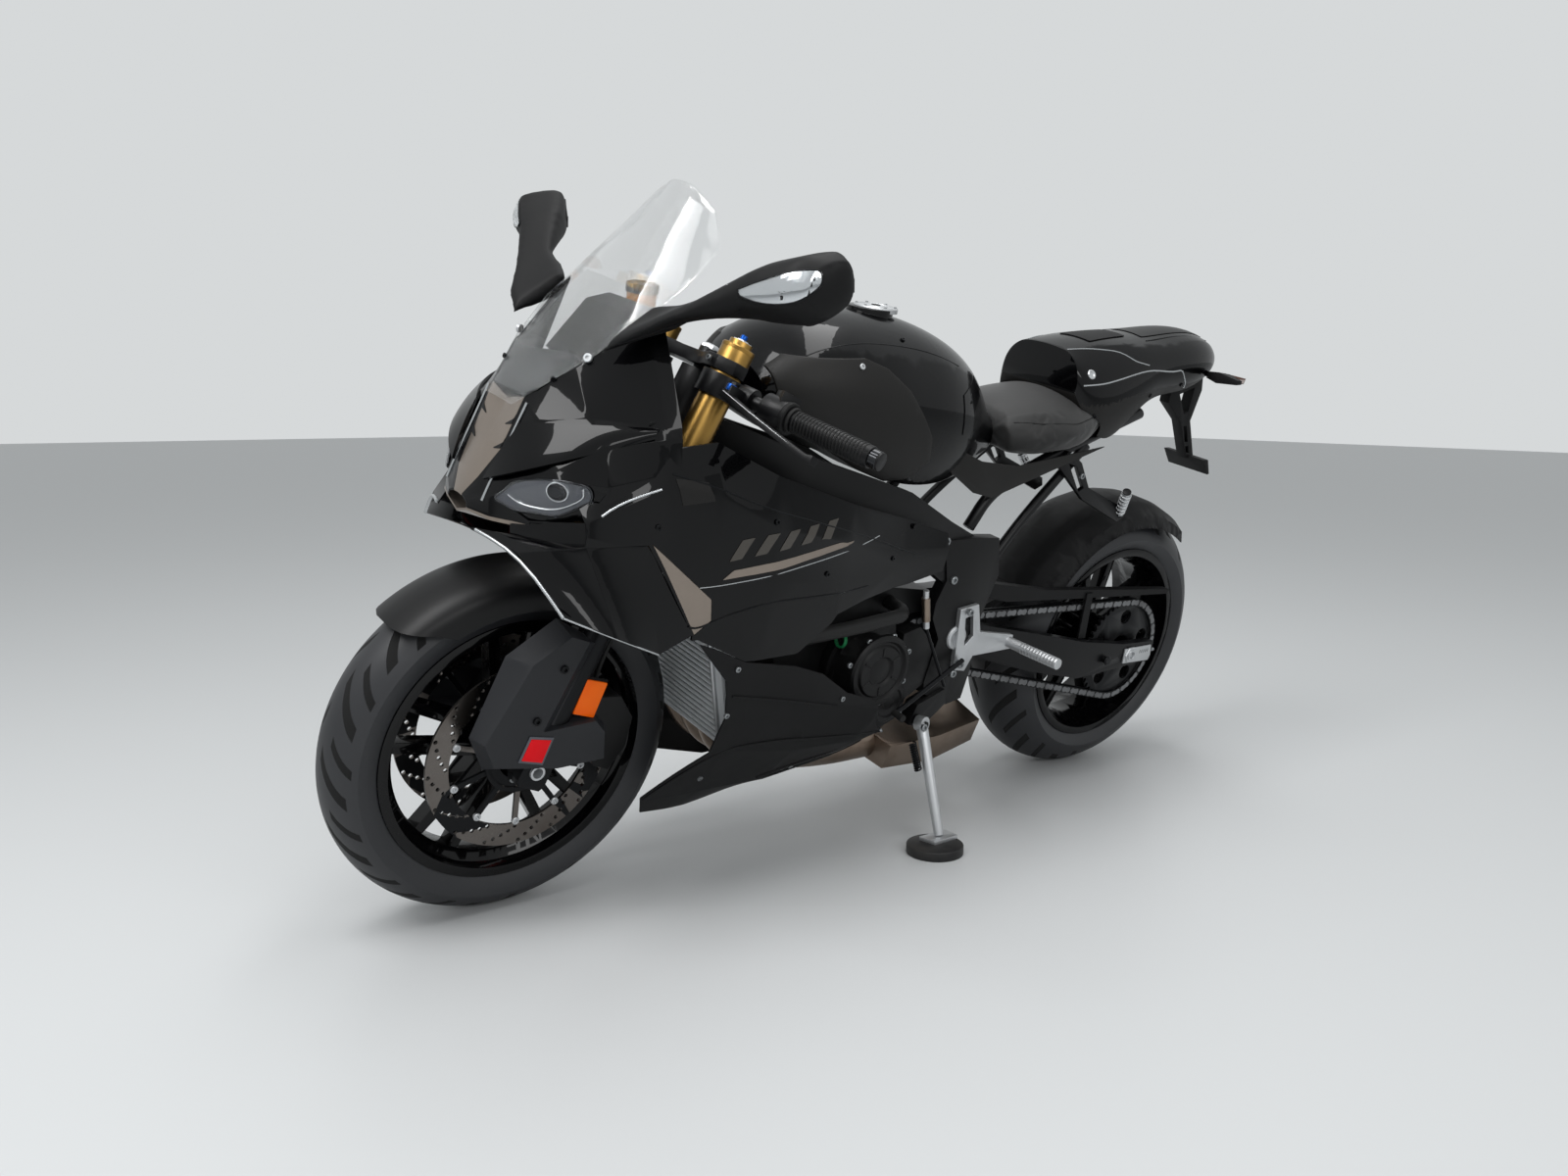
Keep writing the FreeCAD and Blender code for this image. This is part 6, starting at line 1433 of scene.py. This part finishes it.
coil((-30, 196, 250), (-44, 212, 196), 6.5, 1.6, 12, "stand_spring", "side_stand", dark_steel)
drawn_line([(-66, 206, 232), (-74, 226, 182)], 5, "stand_switch_rod", "side_stand", dark_steel)
screws([(-57, 192, 276, 0, 1, 0.25)], 7, "stand_pin_head", "side_stand", zinc_steel)
print("stand sprung")

# %% [markdown]
# ## Tail
#
# The tail's clear-coated top has bright edges, a dark middle block and a small round lock. The lamp is a
# strip of red lens across the rear. Each is a trim let into the moulding, so it follows the skin.

# %% Tail trims and lamp
tail_skin = [tail]
for sign, side in SIDES:
    skin_line([(-404, 104 * sign, 926), (-470, 112 * sign, 934), (-606, 104 * sign, 962),
               (-720, 90 * sign, 952), (-765, 84 * sign, 932), (-788, 80 * sign, 902)], 1.7,
              "tail_side_line_" + side, "chassis", silver_edge, tail_skin, 0.2, 6)
    skin_line([(-402, 52 * sign, 982), (-470, 74 * sign, 984), (-560, 90 * sign, 978),
               (-610, 96 * sign, 970)], 1.3, "tail_top_line_" + side, "chassis", silver_edge, tail_skin,
              0.2, 6)
    skin_line([(-640, 60 * sign, 1008), (-740, 52 * sign, 1018), (-880, 44 * sign, 1012)], 1.2,
              "tail_rear_line_" + side, "chassis", dark_steel, tail_skin, 0.2, 6)
    screws([(-440, 112 * sign, 860), (-640, 100 * sign, 900), (-760, 84 * sign, 918)], 4.5,
           "tail_screws_" + side, "chassis", dark_steel, tail_skin)
skin_band([(-478, 42, 1000), (-478, -42, 1000)], [(-600, 34, 1014), (-600, -34, 1014)], "tail_top_block",
          "chassis", matt_black, tail_skin, 12, 12, 1.2, 1.6)
skin_band([(-640, 44, 1016), (-640, -44, 1016)], [(-880, 30, 1016), (-880, -30, 1016)], "tail_rear_shield",
          "chassis", satin_black, tail_skin, 12, 12, 0.9, 1.2)
skin_band([(-930, 40, 1002), (-938, 0, 1004), (-930, -40, 1002)],
          [(-920, 36, 976), (-928, 0, 976), (-920, -36, 976)], "tail_lamp", "chassis", red_lens, tail_skin,
          16, 4, 0.6, 1.2)
lock_place, lock_way = on_skin(tail_skin, -430, 101, 952, 0.0)
turned_disc([(0, 1), (5, 1), (6, 2.5), (9, 2.5), (10, 1), (10, -3), (0, -3)], "seat_lock", "chassis",
            bright_alloy, lock_place, lock_way, steps=32)
for sign, side in SIDES:
    plate([(-893, 96 * sign, 953), (-893, 150 * sign, 953), (-886, 152 * sign, 941), (-886, 94 * sign, 940)],
          (-2, 0, 0), "indicator_lens_" + side, "chassis", smoked_lens, 0.6)
print("tail trimmed")

# %% [markdown]
# ## Cockpit
#
# Each mirror shell has a clear lens for its lamp on the front and a glass on the rider's side. Both lie in
# the shell's own surface, so they are films laid on it, a little proud, with a dark seal round the glass.

# %% Mirror lenses, glasses and seams
for sign, side in SIDES:
    front_skin = [bpy.data.objects["mirror_shell_" + side]]
    upper = [(624, 310 * sign, 1098), (606, 350 * sign, 1120), (566, 396 * sign, 1138),
             (550, 404 * sign, 1136)]
    lower = [(620, 314 * sign, 1084), (604, 352 * sign, 1078), (582, 396 * sign, 1088),
             (550, 408 * sign, 1118)]
    skin_band(upper, lower, "mirror_lamp_back_" + side, "chassis", lamp_chrome, front_skin, 16, 6, 0.5, 0.4)
    skin_band(upper, lower, "mirror_lamp_lens_" + side, "chassis", lens_clear, front_skin, 16, 6, 1.6, 0.8)
    skin_line(upper + lower[::-1] + upper[:1], 1.3, "mirror_lamp_rim_" + side, "chassis", dark_steel,
              front_skin, 0.8, 5)
    glass = [(516, 330 * sign, 1112), (496, 386 * sign, 1140), (494, 416 * sign, 1132),
             (492, 418 * sign, 1112), (486, 384 * sign, 1104), (508, 332 * sign, 1088)]
    seats = [on_skin(front_skin, p[0] - 16, p[1], p[2], 0.8, 0)[0] for p in grown(glass, 0.94)]
    plate(seats, (-1.2, 0, 0), "mirror_glass_" + side, "chassis", mirror_glass, 0.3)
    drawn_line(seats, 1.4, "mirror_seal_" + side, "chassis", grip_rubber, closed=True)
    skin_line([(690, 160 * sign, 978), (650, 190 * sign, 1010), (606, 230 * sign, 1046),
               (590, 300 * sign, 1080)], 1.0, "mirror_seam_" + side, "chassis", dark_steel, front_skin,
              0.1, 6)
print("mirrors fitted")

# %% [markdown]
# The instruments are one flat glass display in a thin frame. It is off, so it is dark glass with a plain
# arc of scale marks. A woven-look panel lies ahead of it under the screen.

# %% Instrument display and woven panel
panel_low, panel_high = Vector((587.4, 0, 952)), Vector((554.4, 0, 1006))
panel_way = Vector((-0.852, 0, -0.523))
half_across = Vector((0, 78, 0))
display = [panel_low + half_across, panel_high + half_across, panel_high - half_across,
           panel_low - half_across]
plate([p + panel_way * 0.2 for p in display], panel_way * 3, "display_frame", "chassis", matt_black, 1.2)
plate([p + panel_way * 3.0 for p in grown(display, 0.9)], panel_way * 0.8, "display_glass", "chassis",
      black_chrome, 0.4)
along = (panel_high - panel_low).normalized()
arc_middle = (panel_low + panel_high) / 2 + panel_way * 4.0 - along * 12
for number in range(13):
    turn = math.pi * (0.1 + 0.8 * number / 12)
    mark_way = Vector((0, 1, 0)) * math.cos(turn) + along * math.sin(turn)
    drawn_line([arc_middle + mark_way * 26, arc_middle + mark_way * 32], 0.7,
               "scale_mark_%02d" % (number + 1), "chassis", lamp_chrome)
skin_band([(716, 84, 968), (716, 40, 990), (716, -40, 990), (716, -84, 968)],
          [(765, 62, 906), (768, 30, 912), (768, -30, 912), (765, -62, 906)], "woven_panel", "chassis",
          woven_black, SKIN["nose_cowl"] + SKIN["instrument_panel"], 20, 10, 1.0, 1.2)
print("instruments fitted")

# %% [markdown]
# Grips are rubber with fine rings moulded round them; a row of slim rings on the grip gives that. The bar
# end is a polished weight behind a gap. Switch blocks carry a few small keys, and each lever ends in a
# ball so that it can't stab. All of it is placed in the fork's own frame, where the bar is clamped 22 mm
# under the upper clamp plate, and that plate is 21 mm thick with its middle at 700 mm.

# %% Grips, keys and lever ends
CLIP = 700 - 21 / 2 - 22
BAR_ROOT = Vector((-2, 135, CLIP))
BAR_TIP = Vector((-97, 400, CLIP - 1))
bar_way = (BAR_TIP - BAR_ROOT).normalized()


def on_bar(reach, sign):
    """The bar's middle at a distance from the machine's middle, in the fork's frame."""
    place = BAR_ROOT + bar_way * ((reach - BAR_ROOT.y) / bar_way.y)
    return Vector((place.x, place.y * sign, place.z))


for sign, side in SIDES:
    way = Vector((bar_way.x, bar_way.y * sign, bar_way.z))
    for number in range(22):
        turned_disc([(16.6, -1.7), (18.1, -1.1), (18.1, 1.1), (16.6, 1.7)],
                    "grip_ring_%s_%02d" % (side, number + 1), "steering", grip_rubber,
                    on_bar(256 + number * 5.6, sign), way, ON_FORK, 20)
    turned_disc([(16, -3), (19.5, -3), (20.5, -1), (20.5, 1), (19.5, 3), (16, 3)], "grip_flange_" + side,
                "steering", grip_rubber, on_bar(248, sign), way, ON_FORK, 32)
    turned_disc([(0, 9.2), (11, 9.2), (14.6, 6), (14.6, -7), (0, -7)], "bar_weight_" + side, "steering",
                black_chrome, on_bar(390.5, sign), way, ON_FORK, 32)
    turned_disc([(14, -5), (24, -5), (26, -3), (26, 3), (24, 5), (14, 5)], "dial_ring_" + side, "steering",
                matt_black, on_bar(240, sign), way, ON_FORK, 18)
    for number, (x, y, z) in enumerate(((-46, 214, 22), (-46, 214, 6), (-40, 226, 30))):
        turned_disc([(0, 3), (4.5, 3), (6, 1.6), (6, -4), (0, -4)], "key_%s_%d" % (side, number + 1),
                    "steering", soft_grey_black if number else caliper_red, (x, y * sign, CLIP + z),
                    (-0.6, 0, 0.8), ON_FORK, 20)
    deselect()
    bpy.ops.mesh.primitive_uv_sphere_add(segments=20, ring_count=12, radius=7.5,
                                         location=(-23, 344 * sign, CLIP - 43))
    ball = bpy.context.object
    ball.data.transform(Matrix.Diagonal((1.25, 1, 0.8, 1)))
    settle(ball, "lever_ball_" + side, "steering", dark_steel, ON_FORK, 60)
    drawn_line([(45, 176 * sign, CLIP - 7), (37.5, 245 * sign, CLIP - 21), (-10, 334 * sign, CLIP - 42)], 0.9,
               "lever_edge_" + side, "steering", bright_alloy, place=ON_FORK)
    turned_disc([(0, 5), (7, 5), (8, 3), (8, -5), (0, -5)], "lever_adjuster_" + side, "steering",
                blue_anodised, (38, 182 * sign, CLIP + 2), (0, 0, 1), ON_FORK, 16)
print("bars finished")

# %% [markdown]
# The fork's caps are silver with a hexagon and a small blue adjuster, in a gold collar above the clamp.
# The fluid cup is see-through amber with a black knurled lid.

# %% Fork caps, clamp screws and fluid cup
for sign, side in SIDES:
    top = Vector((0, 105 * sign, 745))
    turned_disc([(0, 3), (10, 3), (11, 1), (17, 1), (18.5, -1), (18.5, -4), (0, -4)], "fork_cap_" + side,
                "steering", bright_alloy, top, (0, 0, 1), ON_FORK, 6)
    turned_disc([(0, 10), (5, 10), (6, 8), (6, 0), (0, 0)], "fork_adjuster_" + side, "steering",
                blue_anodised, top + Vector((0, 0, 1)), (0, 0, 1), ON_FORK, 20)
    turned_disc([(19, 0.5), (26, 0.5), (27.4, -1), (27.4, -6), (26, -7)], "fork_collar_" + side, "steering",
                gold_anodised, top + Vector((0, 0, -9)), (0, 0, 1), ON_FORK, 48)
    screws([(36.5, 96 * sign, 700, 1, 0, 0), (-31, 100 * sign, 668, -1, 0, 0)], 5, "clamp_screws_" + side,
           "steering", zinc_steel)
    bpy.data.objects["clamp_screws_" + side].data.transform(ON_FORK @ back_up)
turned_disc([(0, 6), (10, 6), (16, 4), (19, 2), (20, 0), (20, -3), (0, -3)], "stem_nut", "steering",
            bright_alloy, (-28.6, 0, 724), (0, 0, 1), ON_FORK, 6)
cup_way = Vector((math.sin(RAKE), 0, math.cos(RAKE)))
cup_top = Vector((-8, -196, CLIP + 52)) + cup_way * 60
turned_disc([(0, 9), (20, 9), (24, 7), (27.4, 6), (27.4, -10), (24, -11), (0, -11)], "cup_lid", "steering",
            matt_black, cup_top, cup_way, ON_FORK, 24)
turned = turned_to(cup_way)
for number in range(24):
    turn = 2 * math.pi * number / 24
    rim_spot = cup_top + turned @ Vector((27.2 * math.cos(turn), 27.2 * math.sin(turn), 0))
    drawn_line([rim_spot - cup_way * 9, rim_spot + cup_way * 5], 1.3, "lid_ridge_%02d" % (number + 1),
               "steering", matt_black, place=ON_FORK)
print("fork tops and cup finished")

# %% [markdown]
# The filler cap is a ring of small screws round a flap with a keyhole. The tank's matt side cover is held
# by bright screws.

# %% Filler cap and tank screws
cap_place, cap_way = on_skin(SKIN["fuel_tank"], 72, 0, 1060, 0.0, 0)
turned_disc([(0, 3.5), (20, 3.5), (22, 2), (30, 2), (31, 3.2), (38, 3.2), (40, 1), (40, -6), (0, -6)],
            "filler_flap", "chassis", bright_alloy, cap_place, cap_way, steps=64)
turn_cap = turned_to(cap_way)
screws([tuple(cap_place + turn_cap @ Vector((34.5 * math.cos(t), 34.5 * math.sin(t), 3.2))) + tuple(cap_way)
        for t in (0.3, 1.35, 2.4, 3.45, 4.5, 5.55)], 2.6, "filler_screws", "chassis", zinc_steel)
turned_disc([(0, 5), (7, 5), (8.5, 4), (8.5, 2), (0, 2)], "filler_lock", "chassis", dark_steel, cap_place,
            cap_way, steps=24)
for sign, side in SIDES:
    screws([(225, 158 * sign, 968), (92, 150 * sign, 870), (330, 150 * sign, 850)], 5, "cover_bolts_" + side,
           "chassis", bright_alloy, SKIN["tank_covers"])
    screws([(94, 96 * sign, 1004)], 4.5, "tank_bolt_" + side, "chassis", dark_steel, SKIN["fuel_tank"])
    skin_line([(377, 120 * sign, 985), (300, 120 * sign, 1000), (200, 118 * sign, 1008),
               (60, 112 * sign, 994), (-40, 96 * sign, 952)], 1.2, "tank_crease_" + side, "chassis",
              gloss_black, SKIN["fuel_tank"], 0.2, 6)
    skin_band([(-108, 64 * sign, 930), (-124, 120 * sign, 850)],
              [(-30, 112 * sign, 905), (-34, 124 * sign, 842)], "tank_shield_" + side, "chassis", gloss_black,
              SKIN["fuel_tank"], 10, 8, 0.8, 1.6)
print("tank finished")

# %% [markdown]
# ## Seat
#
# The rider's seat is foam under grained vinyl: crowned in the middle, pulled in along its seam. A cloth
# simulation gives that honestly. The solid is remeshed at 6 mm and drawn in by a few hundredths, and then
# blown up a little from inside with gravity off. No point may travel more than 5 mm, so that the pad
# stays in the space of its solid.

# %% Padded seat by cloth simulation
CLOTH_FRAMES, FARTHEST = 20, 0.005
seat = welded("rider_seat")[0]
even = seat.modifiers.new("even", "REMESH")
even.mode = "VOXEL"
even.voxel_size = 0.006
relax = seat.modifiers.new("relax", "SMOOTH")
relax.factor = 0.5
relax.iterations = 10
apply_all(seat)
centre = sum((v.co for v in seat.data.vertices), Vector()) / len(seat.data.vertices)
drawn_in = Matrix.Diagonal((0.99, 0.985, 0.95, 1))
seat.data.transform(Matrix.Translation(centre) @ drawn_in @ Matrix.Translation(-centre))
start_places = [v.co.copy() for v in seat.data.vertices]
cloth = seat.modifiers.new("pad", "CLOTH")
cloth.settings.use_pressure = True
cloth.settings.uniform_pressure_force = 4
cloth.settings.effector_weights.gravity = 0
cloth.settings.quality = 4
cloth.collision_settings.use_collision = False
for step in range(1, CLOTH_FRAMES + 1):
    bpy.context.scene.frame_set(step)
puffed = bpy.data.meshes.new_from_object(seat.evaluated_get(bpy.context.evaluated_depsgraph_get()))
for vertex, start, end in zip(seat.data.vertices, start_places, puffed.vertices):
    travel = end.co - start
    if travel.length > FARTHEST:
        travel = travel.normalized() * FARTHEST
    vertex.co = start + travel
seat.modifiers.remove(cloth)
bpy.data.meshes.remove(puffed)
bpy.context.scene.frame_set(1)
finer = seat.modifiers.new("finer", "SUBSURF")
finer.levels = finer.render_levels = 1
dress("rider_seat", seat, "rider_seat_pad", seat_vinyl, 60, 0)
apply_all(seat)
for sign, side in SIDES:
    seam = [(-236, 92 * sign, 866), (-300, 112 * sign, 856), (-380, 128 * sign, 856),
            (-450, 118 * sign, 872), (-498, 84 * sign, 884)]
    skin_line(seam, 0.9, "seat_seam_" + side, "chassis", grip_rubber, [seat], 0.1, 8)
print("seat padded:", len(seat.data.polygons), "faces")

# %% [markdown]
# ## Studio
#
# A pale floor, three broad soft lamps and a plain pale world. Gloss black shows its form only by what it
# mirrors, so the lamps are large: a strip over the machine, one along the left wall, and a tall one ahead
# where the room's window lies.

# %% Floor and lamps
deselect()
bpy.ops.mesh.primitive_plane_add(size=40, location=(0, 0, 0))
floor = bpy.context.object
floor.name = "studio_floor"
floor_paint = bpy.data.materials.new("studio floor")
floor_paint.use_nodes = True
shader_of(floor_paint).inputs["Base Color"].default_value = linear("#c9cbcc")
shader_of(floor_paint).inputs["Roughness"].default_value = 0.45
floor.data.materials.append(floor_paint)


def soft_lamp(name, place, size, power):
    """A broad area lamp that faces the machine's middle."""
    data = bpy.data.lights.new(name, "AREA")
    data.shape = "RECTANGLE"
    data.size, data.size_y = size
    data.energy = power
    lamp = new_piece(name, data)
    lamp.location = place
    lamp.rotation_euler = (Vector((0, 0, 0.5)) - Vector(place)).to_track_quat("-Z", "Y").to_euler()


soft_lamp("ceiling lamp", (-0.4, 0.3, 4.2), (4.2, 0.9), 60)
soft_lamp("left wall lamp", (1.0, 4.6, 2.6), (4.6, 0.8), 60)
soft_lamp("window lamp", (2.5, 0.35, 3.7), (1.5, 2.6), 105)
print("three lamps hung")

# %% [markdown]
# The world lights the machine at one strength, and shows itself at a higher one to the camera, in mirrors
# and through clear plastic, so that the backdrop is bright while the black panels stay deep.

# %% World
world = bpy.data.worlds.new("pale room")
bpy.context.scene.world = world
world.use_nodes = True
background = world.node_tree.nodes["Background"]
background.inputs["Color"].default_value = linear("#e6e9ea")
light_path = add_node(world, "ShaderNodeLightPath")
seen_or_mirrored = add_node(world, "ShaderNodeMath", {"operation": "MAXIMUM"}, {
    0: light_path.outputs["Is Camera Ray"], 1: light_path.outputs["Is Glossy Ray"]})
shown = add_node(world, "ShaderNodeMath", {"operation": "MAXIMUM"}, {
    0: seen_or_mirrored.outputs["Value"], 1: light_path.outputs["Is Transmission Ray"]})
level = add_node(world, "ShaderNodeMapRange", {"To Min": 0.55, "To Max": 0.85},
                 {"Value": shown.outputs["Value"]})
world.node_tree.links.new(level.outputs["Result"], background.inputs["Strength"])

print("world lit")

# %% [markdown]
# The camera stands ahead of the machine to its left, at the height of the tank. Its place is in upright
# millimetres but on the level floor, and its way, pitch and roll were solved from the two wheels.

# %% Camera
CAMERA_AT = (1607.8, 1941.6, 862.6)
PITCH = math.radians(8.87)
ROLL = math.radians(0.44)
look = Vector((-0.6157 * math.cos(PITCH), -0.7880 * math.cos(PITCH), -math.sin(PITCH)))
side = look.cross(Vector((0, 0, 1))).normalized()
over = side.cross(look).normalized()
camera_right = side * math.cos(ROLL) + over * math.sin(ROLL)
camera_up = over * math.cos(ROLL) - side * math.sin(ROLL)
camera_data = bpy.data.cameras.new("camera")
camera_data.lens = 29.09
camera_data.sensor_width = 36
camera = bpy.data.objects.new("camera", camera_data)
bpy.context.scene.collection.objects.link(camera)
turn = Matrix((camera_right, camera_up, -look)).transposed().to_4x4()
camera.matrix_world = Matrix.Translation(moved @ (Vector(CAMERA_AT) / 1000)) @ turn
bpy.context.scene.camera = camera
bpy.context.scene.view_settings.view_transform = "Standard"

# %% Finish
bpy.data.objects.remove(screw_model)
